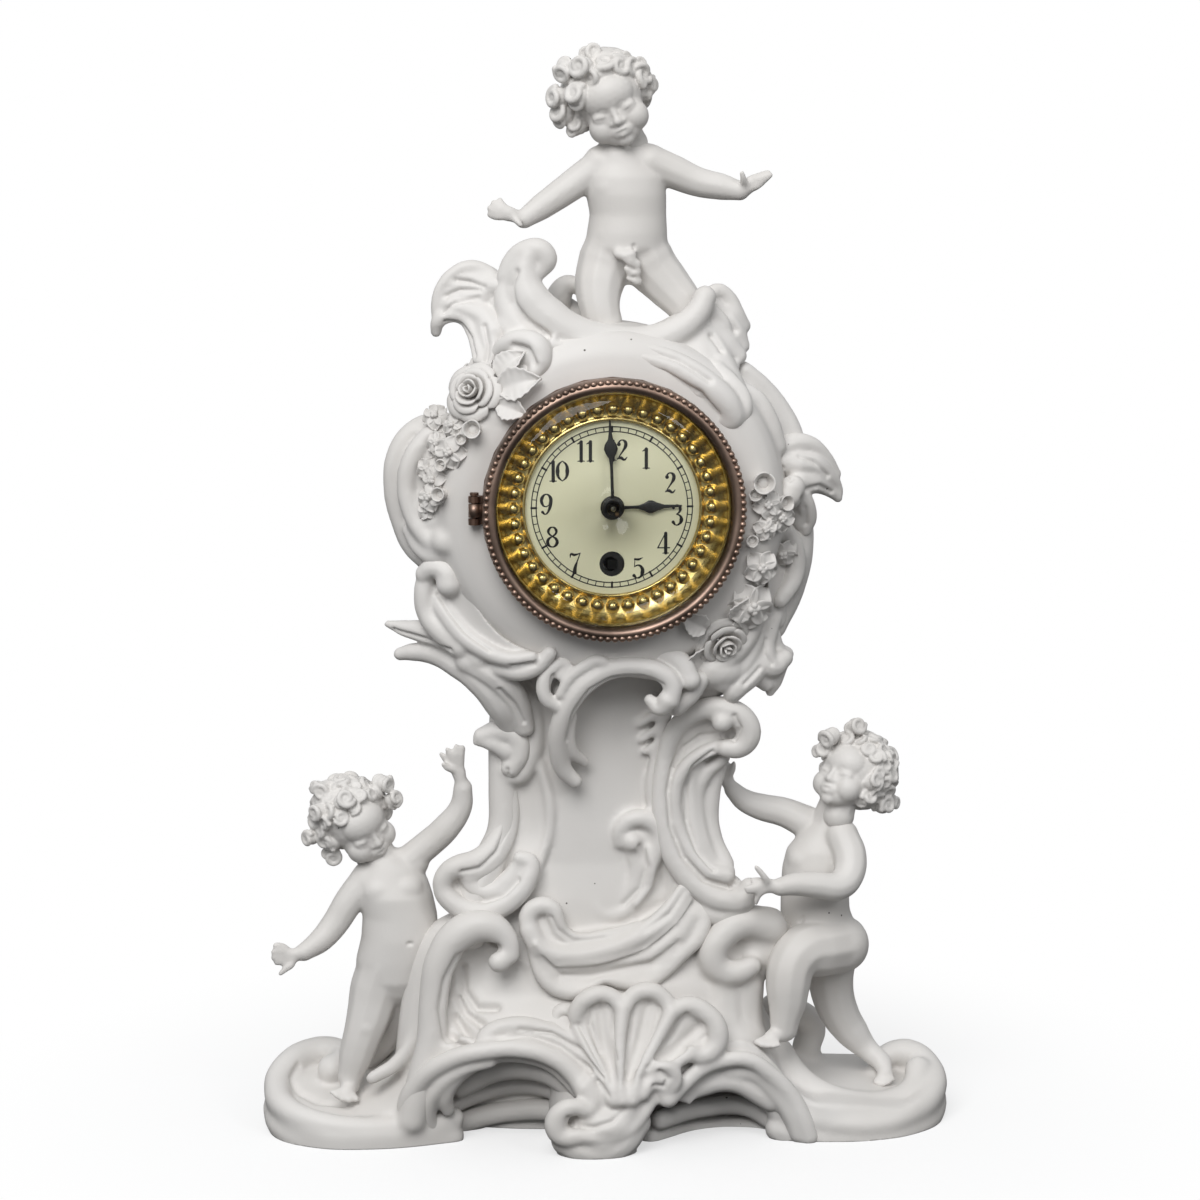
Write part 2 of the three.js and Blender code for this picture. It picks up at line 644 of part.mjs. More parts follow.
function caseSolid(grow) {
  const rim = CASE_RADIUS + grow;
  const front = FACE - grow;
  const back = CASE_BACK + grow;
  const profile = [
    [0, front], [rim - 9, front], [rim - 4.5, front + 3], [rim - 1, front + 10], [rim, front + 22],
    [rim - 2, back - 9], [rim - 8, back], [0, back],
  ];
  return turned(profile, ROUND).translate(DIAL_OFFSET, 0, DIAL_HEIGHT);
}

function caseRims(grow) {
  return placedOnCase(grow,
    [[-44, 3, 13, 4], [-60, 4.5, 13, 5], [-72, 5, 15, 5.5], [-85, 4.5, 16, 5.5], [-97, 2, 14, 5]],
    [[42, 0.5, 14, 4], [55, 3, 16, 5], [70, 3, 18, 5], [95, 2, 19, 5], [115, 1, 18, 4.5]]);
}

function clockCase() {
  const inner = CASE_RADIUS - WALL;
  const hollow = turned([
    [0, FACE + WALL], [inner - 8, FACE + WALL], [inner, FACE + WALL + 14],
    [inner, CASE_BACK - WALL - 6], [inner - 6, CASE_BACK - WALL], [0, CASE_BACK - WALL],
  ], 20);
  const bore = disc(BORE_RADIUS, FACE - 20, CASE_BACK, ROUND);
  const opening = disc(BACK_OPENING, CASE_BACK - WALL - 1, CASE_BACK + 1, ROUND);
  const room = join(hollow, bore, opening).translate(DIAL_OFFSET, 0, DIAL_HEIGHT);
  return cut(join(caseSolid(0), caseRims(0)), room);
}

// Each porcelain piece is cut back from the ones laid before it.
const bezelRoom = disc(BEZEL_RADIUS + 1.2, FACE - 40, FACE + 1, 32).translate(DIAL_OFFSET, 0, DIAL_HEIGHT);
const laid = [
  baseSolid(GAP),
  join(caseSolid(GAP), caseRims(GAP)),
  bezelRoom,
];

function lay(name, maker) {
  addPart(name, largest(cut(maker(0), ...laid)), PORCELAIN);
  laid.push(maker(GAP));
}

addPart('base', largest(base()), PORCELAIN);
addPart('clock_case', largest(clockCase()), PORCELAIN);
addPart('waist', largest(cut(waist(), ...laid)), PORCELAIN);
laid.push(waistSolid(GAP));
lay('left_arch', leftArchSolid);
lay('right_arch', rightArchSolid);
lay('palmette', palmetteSolid);
lay('left_waist_scroll', leftScrollSolid);
lay('right_waist_scroll', rightScrollSolid);
lay('case_scroll', caseScrollSolid);
lay('left_case_leaf', leftCaseLeafSolid);
lay('right_case_leaf', rightCaseLeafSolid);
lay('ear_leaf', earLeafSolid);
lay('crest', crestSolid);
lay('crest_shell', crestShellSolid);
lay('left_putto', (grow) => figureSolid(LEFT_END, LEFT_FIGURE, grow));
lay('right_putto', (grow) => figureSolid(RIGHT_END, RIGHT_FIGURE, grow));
lay('top_putto', (grow) => figureSolid(CASE_TOP, TOP_FIGURE, grow));
lay('rose_left', roseLeft);
lay('garland_left', garlandLeft);
lay('rose_right', roseRight);
lay('garland_right', garlandRight);

// Timepiece, built about the dial axis and then carried to its place

const timepiece = new THREE.Group();
timepiece.position.set(DIAL_OFFSET, 0, DIAL_HEIGHT);
clock.add(timepiece);

function addWork(name, solid, look, x = 0, z = 0) {
  const mesh = new THREE.Mesh(geometryOf(solid), new THREE.MeshStandardMaterial(look));
  mesh.name = name;
  mesh.position.set(x, 0, z);
  timepiece.add(mesh);
}

// Bezel, its ring on the porcelain and the pin between them
const RING_THICKNESS = 1;
const ringBack = FACE - GAP;
const ringFront = ringBack - RING_THICKNESS;
const hoopBack = ringFront - GAP;
const hoopFront = hoopBack - BEZEL_DEPTH;
const KNUCKLE_RADIUS = PIN_RADIUS + GAP + 0.8;
const hingeX = -(BEZEL_RADIUS + KNUCKLE_RADIUS + GAP);
const hingeY = ringFront - KNUCKLE_RADIUS / 2;
const KNUCKLE_LENGTH = HINGE_LENGTH / 2;
const lugLength = (HINGE_LENGTH - KNUCKLE_LENGTH) / 2 - GAP;

function upright(radius, low, high, x, y) {
  const geometry = new THREE.CylinderGeometry(radius, radius, high - low, 12);
  return solidOf(geometry.rotateX(Math.PI / 2).translate(x, y, (low + high) / 2));
}

function knuckle(low, high, reach) {
  const link = box(reach, RING_THICKNESS, high - low, hingeX + reach / 2, hingeY, (low + high) / 2);
  return join(upright(KNUCKLE_RADIUS, low, high, hingeX, hingeY), link);
}

const pinBore = upright(PIN_RADIUS + GAP, -HINGE_LENGTH, HINGE_LENGTH, hingeX, hingeY);
const lugLow = knuckle(-HINGE_LENGTH / 2, -HINGE_LENGTH / 2 + lugLength, 0.1);
const lugHigh = knuckle(HINGE_LENGTH / 2 - lugLength, HINGE_LENGTH / 2, 0.1);
const lugWidth = KNUCKLE_RADIUS + GAP + RIM_WIDTH;
const lugPlate = box(lugWidth, RING_THICKNESS, HINGE_LENGTH,
  hingeX + lugWidth / 2, ringBack - RING_THICKNESS / 2, 0);
const knuckleTop = KNUCKLE_LENGTH / 2 + GAP;
const knuckleRoom = upright(KNUCKLE_RADIUS + GAP, -knuckleTop, knuckleTop, hingeX, hingeY);
const mountingRing = ring(CAN_RADIUS + GAP, BEZEL_RADIUS, ringFront, ringBack, ROUND);
addWork('mounting_ring', cut(join(mountingRing, lugPlate, lugLow, lugHigh), pinBore, knuckleRoom), BRASS);

const pinHead = upright(PIN_RADIUS + 0.6, HINGE_LENGTH / 2 + GAP, HINGE_LENGTH / 2 + GAP + 0.8, hingeX, hingeY);
const pinShank = upright(PIN_RADIUS, -HINGE_LENGTH / 2, HINGE_LENGTH / 2 + GAP + 0.1, hingeX, hingeY);
addWork('hinge_pin', join(pinShank, pinHead), BRASS);

const glassRadius = BEZEL_RADIUS - RIM_WIDTH / 2;
const sightRadius = BEZEL_RADIUS - RIM_WIDTH;
const glassBack = hoopFront + 2;
const hoop = turned([
  [sightRadius, hoopBack], [BEZEL_RADIUS, hoopBack], [BEZEL_RADIUS, hoopFront + 2],
  [BEZEL_RADIUS - 1.2, hoopFront], [sightRadius + 0.6, hoopFront], [sightRadius, hoopFront + 1],
]);
const glassGroove = disc(glassRadius + GAP, glassBack - GLASS_THICKNESS - GAP, glassBack + GAP, ROUND);
const hoopKnuckle = knuckle(-KNUCKLE_LENGTH / 2, KNUCKLE_LENGTH / 2, KNUCKLE_RADIUS + GAP + 1);
const hoopRoom = disc(sightRadius + 1, hoopFront - 1, hoopBack + 1, 32);
const lugRoom = join(
  upright(KNUCKLE_RADIUS + GAP, KNUCKLE_LENGTH / 2, HINGE_LENGTH, hingeX, hingeY),
  upright(KNUCKLE_RADIUS + GAP, -HINGE_LENGTH, -KNUCKLE_LENGTH / 2, hingeX, hingeY),
);
addWork('bezel_hoop', cut(join(hoop, cut(hoopKnuckle, hoopRoom)), glassGroove, pinBore, lugRoom), BRONZE);

const domed = [0, 0.35, 0.7, 1].map((share) => [glassRadius * share, -GLASS_RISE * (1 - share ** 2)]);
const glassOutside = domed.map(([radius, y]) => [radius, glassBack - GLASS_THICKNESS + y]);
const glassInside = domed.map(([radius, y]) => [radius, glassBack + y]).reverse();
addWork('bezel_glass', turned([...glassOutside, ...glassInside], 24), GLASS);

// Dial, sight ring and hands
const dialFront = FACE + DIAL_RECESS;
const dialBack = dialFront + DIAL_THICKNESS;
const windingDrop = pitchRadius(GREAT) + pitchRadius(CENTRE_PINION);
const PIPE_WALL = 0.55;
const cannonBore = ARBOR_RADIUS + 0.2 + GAP;
const cannonRadius = cannonBore + PIPE_WALL;
const hourBore = cannonRadius + GAP;
const hourPipeRadius = hourBore + PIPE_WALL;
const windingHole = disc(WINDING_ARBOR_RADIUS + 1.8, dialFront - 1, dialBack + 1, 20, 0, -windingDrop);
const centreHole = disc(hourPipeRadius + GAP, dialFront - 1, dialBack + 1, 16);
addWork('dial', cut(disc(DIAL_RADIUS, dialFront, dialBack, ROUND), windingHole, centreHole), DIAL_CREAM);

const sightFoot = dialFront - GAP;
const sightLip = hoopBack - 3;
const lipRadius = CAN_RADIUS - CAN_WALL - 0.2;
const flangeRadius = lipRadius + 0.2 + CAN_WALL;
const sightRing = turned([
  [DIAL_RADIUS - 1.2, sightFoot], [lipRadius, sightLip], [flangeRadius, sightLip],
  [flangeRadius, ringFront - GAP], [lipRadius, ringFront - GAP], [DIAL_RADIUS, sightFoot],
]);
addWork('sight_ring', sightRing, GILT);

// A hand points up from its hub: a thin stem, a rounded swell and a fine tip.
function handOutline(length, hub, swell) {
  const half = [
    [hub * 0.8, hub * 0.6], [0.5, hub * 1.6], [0.45, length * 0.5],
    [swell, length * 0.68], [0.5, length * 0.82], [0.15, length],
  ];
  const right = half.map(([x, z]) => new THREE.Vector2(x, z));
  const left = half.map(([x, z]) => new THREE.Vector2(-x, z)).reverse();
  return [...right, ...left];
}

function hand(length, hub, bore, swell, front, bearing) {
  const back = front + HAND_THICKNESS;
  const blade = plateShape(handOutline(length, hub, swell), front, back).rotate([0, bearing, 0]);
  return cut(join(blade, disc(hub, front, back, 16)), disc(bore, front - 1, back + 1, 12));
}

const hourHandFront = dialFront - 1.4 - HAND_THICKNESS;
const minuteHandFront = hourHandFront - 1 - HAND_THICKNESS;
const nutFront = minuteHandFront - GAP - 1.2;
const hourHandBore = hourPipeRadius + GAP;
const minuteHandBore = cannonRadius + GAP;
const HUB_WALL = 1;
addWork('hour_hand',
  hand(HOUR_HAND_LENGTH, hourHandBore + HUB_WALL, hourHandBore, 1.7, hourHandFront, 90), BLACK);
addWork('minute_hand',
  hand(MINUTE_HAND_LENGTH, minuteHandBore + HUB_WALL, minuteHandBore, 1.5, minuteHandFront, 0), BLACK);
const nutBack = nutFront + 1.2;
const nut = turned([[0, nutFront], [1, nutFront], [2.2, nutFront + 0.5], [2.2, nutBack], [0, nutBack]], 16);
const centreArborRadius = ARBOR_RADIUS + 0.2;
const nutBore = disc(centreArborRadius + GAP, nutFront + 0.5, nutFront + 2, 12);
addWork('hand_nut', cut(nut, nutBore), STEEL);

// Motion work between the dial and the front plate
const hourWheelFront = dialBack + 0.8;
const minuteWheelFront = hourWheelFront + WHEEL_THICKNESS + WHEEL_GAP;
const frontPlateFront = minuteWheelFront + WHEEL_THICKNESS + WHEEL_GAP + 0.8;
const frontPlateBack = frontPlateFront + PLATE_THICKNESS;
const motionDistance = pitchRadius(CANNON) + pitchRadius(MINUTE);
const minutePlace = compass(motionDistance, MINUTE_BEARING);

const hourTube = ring(hourBore, hourPipeRadius, hourHandFront, hourWheelFront + 0.1, 16);
const hourWheelBore = disc(hourBore, hourHandFront, hourWheelFront + 2, 16);
const hourWheelBlank = cut(wheelSolid(HOUR, hourWheelFront, MINUTE_BEARING), hourWheelBore);
addWork('hour_wheel', join(hourWheelBlank, hourTube), BRASS);

const cannonLeaves = pinionSolid(CANNON, minuteWheelFront, MINUTE_BEARING + 180);
const cannonTube = ring(cannonBore, cannonRadius, minuteHandFront - 0.1, minuteWheelFront, 16);
const cannonHole = disc(cannonBore, minuteHandFront, frontPlateFront, 12);
addWork('cannon_pinion', join(cut(cannonLeaves, cannonHole), cannonTube), STEEL);

const minuteStud = disc(ARBOR_RADIUS, minuteWheelFront, frontPlateBack - 0.2, 8);
const minuteWheel = wheelSolid(MINUTE, minuteWheelFront, MINUTE_BEARING + 180);
const minutePinionBearing = MINUTE_BEARING + 180 + 180 / MINUTE_PINION.teeth;
const minutePinion = gearSolid(
  MINUTE_PINION, hourWheelFront - 0.2, minuteWheelFront + 0.1, minutePinionBearing);
addWork('minute_wheel', join(minuteWheel, minutePinion, minuteStud), BRASS, minutePlace.x, minutePlace.z);

// Going train between the plates
const centreWheelFront = frontPlateBack + WHEEL_GAP + 0.2;
const thirdWheelFront = centreWheelFront + TRAIN_STEP;
const fourthWheelFront = thirdWheelFront + TRAIN_STEP;
const escapeWheelFront = fourthWheelFront + TRAIN_STEP;
const backPlateFront = escapeWheelFront + TRAIN_STEP;
const backPlateBack = backPlateFront + PLATE_THICKNESS;
const thirdDistance = pitchRadius(CENTRE) + pitchRadius(THIRD_PINION);
const fourthDistance = pitchRadius(THIRD) + pitchRadius(FOURTH_PINION);
const escapeDistance = pitchRadius(FOURTH) + pitchRadius(ESCAPE_PINION);

function beyond(place, distance, bearing) {
  const step = compass(distance, bearing);
  return { x: place.x + step.x, z: place.z + step.z };
}

const thirdPlace = compass(thirdDistance, THIRD_BEARING);
const fourthPlace = beyond(thirdPlace, fourthDistance, FOURTH_BEARING);
const escapePlace = beyond(fourthPlace, escapeDistance, ESCAPE_BEARING);
const palletPlace = beyond(escapePlace, ESCAPE_RADIUS + 2.4, PALLET_BEARING);
const balancePlace = beyond(palletPlace, BALANCE_RADIUS + 2, BALANCE_BEARING);

function trainArbor(radius = ARBOR_RADIUS) {
  return disc(radius, frontPlateFront + 0.2, backPlateBack - 0.2, 8);
}

addWork('third_wheel', join(trainArbor(), pinionSolid(THIRD_PINION, centreWheelFront, THIRD_BEARING),
  wheelSolid(THIRD, thirdWheelFront, FOURTH_BEARING)), BRASS, thirdPlace.x, thirdPlace.z);
addWork('fourth_wheel', join(trainArbor(), pinionSolid(FOURTH_PINION, thirdWheelFront, FOURTH_BEARING),
  wheelSolid(FOURTH, fourthWheelFront, ESCAPE_BEARING)), BRASS, fourthPlace.x, fourthPlace.z);
const escapeRoot = ESCAPE_RADIUS - 1.3;
const escapeTeeth = toothed(
  ESCAPE_TEETH, ESCAPE_RADIUS, escapeRoot, escapeWheelFront, escapeWheelFront + 0.5, 0, 0.25);
addWork('escape_wheel', join(trainArbor(), pinionSolid(ESCAPE_PINION, fourthWheelFront, ESCAPE_BEARING),
  escapeTeeth), STEEL, escapePlace.x, escapePlace.z);

// Barrel, mainspring and winding
const greatThickness = 1.2;
const barrelFront = centreWheelFront + WHEEL_THICKNESS + WHEEL_GAP;
const barrelBack = backPlateFront - WHEEL_GAP;
const greatFront = barrelBack - greatThickness;
const barrelRadius = pitchRadius(GREAT) - GREAT.module - 1.4;
const barrelWall = 0.8;
const capThickness = 0.8;
const arborBore = WINDING_ARBOR_RADIUS + GAP;
const barrelDrum = disc(barrelRadius, barrelFront, barrelBack, 24);
const barrelRoom = disc(barrelRadius - barrelWall, barrelFront - 1, greatFront, 24);
const barrelTeeth = gearSolid(GREAT, greatFront, barrelBack, 90);
const barrelBore = disc(arborBore, barrelFront, barrelBack + 1, 16);
addWork('barrel', cut(join(barrelDrum, barrelTeeth), barrelRoom, barrelBore), BRASS, 0, -windingDrop);
const capRadius = barrelRadius - barrelWall - GAP;
const capBack = barrelFront + capThickness;
addWork('barrel_cap', ring(arborBore, capRadius, barrelFront, capBack, 24), BRASS, 0, -windingDrop);
const springOuter = barrelRadius - barrelWall - 0.7;
const mainspring = spiral(arborBore + 0.6, springOuter, 4, 0.5, capBack + GAP, greatFront - GAP, 12);
addWork('mainspring', mainspring, STEEL, 0, -windingDrop);

const ratchetFront = frontPlateFront - GAP - 1.2;
const ratchetBack = frontPlateFront - GAP;
const squareFront = dialFront - 1;
const windingShaft = disc(WINDING_ARBOR_RADIUS, ratchetFront - 0.6, backPlateBack - 0.2, 16);
const squareBack = ratchetFront - 0.5;
const windingSquare = box(
  WINDING_SQUARE, squareBack - squareFront, WINDING_SQUARE, 0, (squareBack + squareFront) / 2, 0);
addWork('winding_arbor', join(windingShaft, windingSquare), STEEL, 0, -windingDrop);
const ratchetRoot = RATCHET_RADIUS - 0.9;
const ratchetBlank = toothed(RATCHET_TEETH, RATCHET_RADIUS, ratchetRoot, ratchetFront, ratchetBack, 0, 0.25);
const ratchetBore = disc(arborBore, ratchetFront - 1, ratchetBack + 1, 16);
addWork('ratchet_wheel', cut(ratchetBlank, ratchetBore), STEEL, 0, -windingDrop);

const clickReach = 6;
const clickPlace = { x: RATCHET_RADIUS + GAP + 1.2, z: -windingDrop - clickReach };
const ratchetMiddle = (ratchetFront + ratchetBack) / 2;
const clickArm = box(1.2, ratchetBack - ratchetFront, clickReach, 0, ratchetMiddle, clickReach / 2);
const clickPivot = disc(1.4, ratchetFront, ratchetBack, 12);
const clickStud = disc(ARBOR_RADIUS, ratchetFront + 0.2, frontPlateBack - 0.2, 8);
addWork('click', join(clickArm, clickPivot, clickStud), STEEL, clickPlace.x, clickPlace.z);

// Centre wheel on the arbor that carries the hands in front and the knob behind
const balanceFront = backPlateBack + 2;
const springRoom = balanceFront + WHEEL_THICKNESS + 0.8;
const bridgeFront = springRoom + 2;
const bridgeBack = bridgeFront + 1.5;
const regulatorBack = bridgeBack + GAP + 0.8;
const coverBack = Math.max(CASE_BACK + GAP + COVER_THICKNESS, regulatorBack + 2 + COVER_THICKNESS);
const coverFront = coverBack - COVER_THICKNESS;
const knobBack = coverBack + 6;
const centreArbor = join(
  disc(centreArborRadius, nutFront + 0.8, coverBack + 2, 12),
  gearSolid(CENTRE_PINION, greatFront - 0.8, backPlateFront - GAP, -90 + 180 / CENTRE_PINION.teeth),
  wheelSolid(CENTRE, centreWheelFront, THIRD_BEARING),
);
addWork('centre_wheel', centreArbor, BRASS);

const knobFront = coverBack + GAP;
const knob = turned([
  [0, knobFront], [4.5, knobFront], [5.5, coverBack + 2], [5.5, knobBack - 1], [4.5, knobBack], [0, knobBack],
], 20);
const knobBore = disc(centreArborRadius + GAP, coverBack - 1, coverBack + 2 + GAP, 12);
addWork('setting_knob', cut(knob, knobBore), BRASS);

// Lever escapement, drawn open: its stones stand clear of the wheel
const leverAway = compass(1, PALLET_BEARING);
const leverY = escapeWheelFront + 0.25;
const leverArbor = trainArbor();
const stoneReach = 0.48;
const leverBody = box(1.2, 0.8, 8, 0, leverY, 0).rotate([0, 90 - PALLET_BEARING + 90, 0]);
const stone = (side) => {
  const root = compass(3.4 * side, PALLET_BEARING + 90);
  return box(1.1, 1, 1.1, root.x - leverAway.x * stoneReach, leverY, root.z - leverAway.z * stoneReach);
};
const tail = compass(BALANCE_RADIUS / 2 - 0.9, BALANCE_BEARING);
const tailBar = box(BALANCE_RADIUS - 1.8, 0.8, 1, 0, leverY, 0).rotate([0, -BALANCE_BEARING, 0]);
const leverTail = tailBar.translate(tail.x, 0, tail.z);
const lever = join(leverArbor, leverBody, stone(1), stone(-1), leverTail);
addWork('pallet_lever', lever, STEEL, palletPlace.x, palletPlace.z);

const staff = disc(ARBOR_RADIUS, frontPlateFront + 0.2, bridgeFront + 0.9, 8);
const roller = disc(1.5, leverY - 0.4, leverY + 0.4, 12);
const balanceRim = ring(BALANCE_RADIUS - 1, BALANCE_RADIUS, balanceFront, balanceFront + WHEEL_THICKNESS, 24);
const balanceArm = box(2 * BALANCE_RADIUS - 1, WHEEL_THICKNESS, 1.2, 0, balanceFront + WHEEL_THICKNESS / 2, 0);
addWork('balance_wheel', join(staff, roller, balanceRim, balanceArm), BRASS, balancePlace.x, balancePlace.z);
const hairspring = spiral(1.4, 4.6, 3, 0.3, springRoom, springRoom + 0.8, 10);
addWork('hairspring', hairspring, STEEL, balancePlace.x, balancePlace.z);

const footReach = BALANCE_RADIUS + 2.8;
const bridgeFoot = (side) => {
  const at = compass(footReach * side, 45);
  return disc(1.8, backPlateBack + GAP, bridgeBack, 12, at.x, at.z);
};
const bridgeMiddle = (bridgeFront + bridgeBack) / 2;
const bridgeBar = box(2 * footReach, bridgeBack - bridgeFront, 3.6, 0, bridgeMiddle, 0).rotate([0, -45, 0]);
const staffHole = disc(ARBOR_RADIUS + GAP, bridgeFront - 1, bridgeFront + 1.2, 12);
const regulatorPost = disc(1.2, bridgeBack - 0.1, regulatorBack, 12);
const bridge = cut(join(bridgeBar, bridgeFoot(1), bridgeFoot(-1), regulatorPost), staffHole);
addWork('balance_bridge', bridge, BRASS, balancePlace.x, balancePlace.z);
const regulatorRing = disc(2.6, bridgeBack + GAP, regulatorBack, 16);
const regulatorArm = box(8, 0.8, 0.9, 5.2, regulatorBack - 0.4, 0).rotate([0, 45, 0]);
const regulatorBore = disc(1.2 + GAP, bridgeBack, regulatorBack + 1, 12);
const regulator = cut(join(regulatorRing, regulatorArm), regulatorBore);
addWork('regulator', regulator, STEEL, balancePlace.x, balancePlace.z);

// Plates and pillars
const PILLAR_RADIUS = 1.8;
const pillarReach = PLATE_RADIUS - 4;
const pillarPlaces = PILLAR_BEARINGS.map((bearing) => compass(pillarReach, bearing));
const pivots = [thirdPlace, fourthPlace, escapePlace, palletPlace, balancePlace];

function plate(front, extraHoles) {
  const back = front + PLATE_THICKNESS;
  const holes = pivots.map(({ x, z }) => disc(ARBOR_RADIUS + GAP, front - 1, back + 1, 8, x, z));
  const windingBore = disc(arborBore, front - 1, back + 1, 16, 0, -windingDrop);
  const centreBore = disc(centreArborRadius + GAP, front - 1, back + 1, 12);
  return cut(disc(PLATE_RADIUS, front, back, ROUND), ...holes, windingBore, centreBore, ...extraHoles);
}

const studHole = ({ x, z }) => disc(ARBOR_RADIUS + GAP, frontPlateFront - 1, frontPlateBack + 1, 8, x, z);
addWork('front_plate', plate(frontPlateFront, [studHole(minutePlace), studHole(clickPlace)]), BRASS);
addWork('back_plate', plate(backPlateFront, []), BRASS);
pillarPlaces.forEach(({ x, z }, at) => {
  addWork(`pillar_${at + 1}`, disc(PILLAR_RADIUS, frontPlateBack + GAP, backPlateFront - GAP, 12), BRASS, x, z);
});

// Can and rear cover
const canBack = coverFront - GAP;
addWork('movement_can', ring(CAN_RADIUS - CAN_WALL, CAN_RADIUS, ringFront, canBack, ROUND), BRASS);

const coverRadius = BACK_OPENING + 3;
const screwReach = pillarReach;
const screwPlaces = [70, 250].map((bearing) => compass(screwReach, bearing));
const coverDisc = disc(coverRadius, coverFront, coverBack, ROUND);
const coverSkirt = ring(coverRadius - 1.5, coverRadius, CASE_BACK + GAP, coverFront + 0.1, ROUND);
const screwHole = ({ x, z }) => disc(SCREW_RADIUS + GAP, coverFront - 1, coverBack + 1, 12, x, z);
const coverHoles = screwPlaces.map(screwHole);
const knobHole = disc(centreArborRadius + GAP, coverFront - 1, coverBack + 1, 12);
addWork('rear_cover', cut(join(coverDisc, coverSkirt), knobHole, ...coverHoles), BRASS);

const headRadius = SCREW_RADIUS + 1.4;
const headFront = coverBack + GAP;
const headBack = coverBack + 1.5;
const screwHead = [[0, headFront], [headRadius, headFront], [headRadius, headBack], [0, headBack]];
screwPlaces.forEach(({ x, z }, at) => {
  const shank = disc(SCREW_RADIUS, backPlateBack + GAP, headFront + 0.1, 12);
  addWork(`cover_screw_${at + 1}`, join(shank, turned(screwHead, 12)), STEEL, x, z);
});

export default clock;
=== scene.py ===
import math
import random

import bmesh
import bpy
import numpy as np
from mathutils import Euler, Matrix, Vector
from mathutils.bvhtree import BVHTree


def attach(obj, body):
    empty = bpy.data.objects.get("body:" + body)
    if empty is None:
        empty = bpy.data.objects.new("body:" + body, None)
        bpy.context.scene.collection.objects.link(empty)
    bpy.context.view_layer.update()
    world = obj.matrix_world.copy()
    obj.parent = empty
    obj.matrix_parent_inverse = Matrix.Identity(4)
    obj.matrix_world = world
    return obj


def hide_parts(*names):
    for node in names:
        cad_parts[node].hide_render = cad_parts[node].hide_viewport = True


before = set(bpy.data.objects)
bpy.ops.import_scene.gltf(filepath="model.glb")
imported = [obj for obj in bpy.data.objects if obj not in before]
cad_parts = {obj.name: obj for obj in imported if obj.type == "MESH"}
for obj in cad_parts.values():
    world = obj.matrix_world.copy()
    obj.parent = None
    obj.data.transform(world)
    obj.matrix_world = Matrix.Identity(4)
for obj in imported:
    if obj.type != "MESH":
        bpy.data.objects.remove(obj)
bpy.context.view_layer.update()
MM = 0.001

# Camera: a long lens a little above the dial and slightly to the left of the clock. Its distance and
# lens give the perspective of the photograph.
target = Vector((-3.6, -12, 176)) * MM
azimuth, elevation, distance = math.radians(-5), math.radians(9), 1.1
level_reach = math.cos(elevation)
away = Vector((math.sin(azimuth) * level_reach, -math.cos(azimuth) * level_reach, math.sin(elevation)))
camera = bpy.data.objects.new("camera", bpy.data.cameras.new("camera"))
camera.location = target + away * distance
camera.rotation_mode = "QUATERNION"
camera.rotation_quaternion = away.to_track_quat("Z", "Y")
camera.data.sensor_width = 36
camera.data.lens = 103.125
camera.data.clip_end = 20
bpy.context.scene.collection.objects.link(camera)
bpy.context.scene.camera = camera

# Base: one hollow casting of unglazed porcelain. It was pressed in a mould, so every edge is soft.
# A waisted middle stands on two dished wings; bands with curled ends run up both hips.
# The clay is coils and lofts pressed together, then trimmed flat below and hollowed.


def join(clay, lump):
    """Adds a lump of clay to a larger one."""
    mesh = bpy.data.meshes.new("lump")
    lump.to_mesh(mesh)
    lump.free()
    clay.from_mesh(mesh, face_normals=False, vertex_normals=False)
    bpy.data.meshes.remove(mesh)


def coil(clay, route):
    """A rounded coil of clay with round ends, through points of x, y, z and radius in millimetres."""
    curve = bpy.data.curves.new("coil", "CURVE")
    curve.dimensions = "3D"
    curve.bevel_depth = MM
    curve.bevel_resolution = 3
    curve.resolution_u = 6
    curve.use_fill_caps = True
    line = curve.splines.new("BEZIER")
    line.bezier_points.add(len(route) - 1)
    for point, (x, y, z, radius) in zip(line.bezier_points, route):
        point.co = Vector((x, y, z)) * MM
        point.radius = radius
        point.handle_left_type = point.handle_right_type = "AUTO"
    holder = bpy.data.objects.new("coil", curve)
    mesh = bpy.data.meshes.new_from_object(holder)
    lump = bmesh.new()
    lump.from_mesh(mesh)
    bpy.data.objects.remove(holder)
    bpy.data.curves.remove(curve)
    bpy.data.meshes.remove(mesh)
    for x, y, z, radius in (route[0], route[-1]):
        pellet(lump, (x, y, z), radius)
    join(clay, lump)


def pellet(clay, centre, radius, turn=(0, 0, 0)):
    """A ball of clay, or an egg where radius has three values, turned by degrees about X, Y and Z."""
    sizes = Vector((radius,) * 3 if isinstance(radius, (int, float)) else radius) * MM
    spin = Euler([math.radians(a) for a in turn]).to_matrix().to_4x4()
    place = Matrix.Translation(Vector(centre) * MM) @ spin
    bmesh.ops.create_icosphere(clay, subdivisions=3, radius=1, matrix=place @ Matrix.Diagonal((*sizes, 1)))


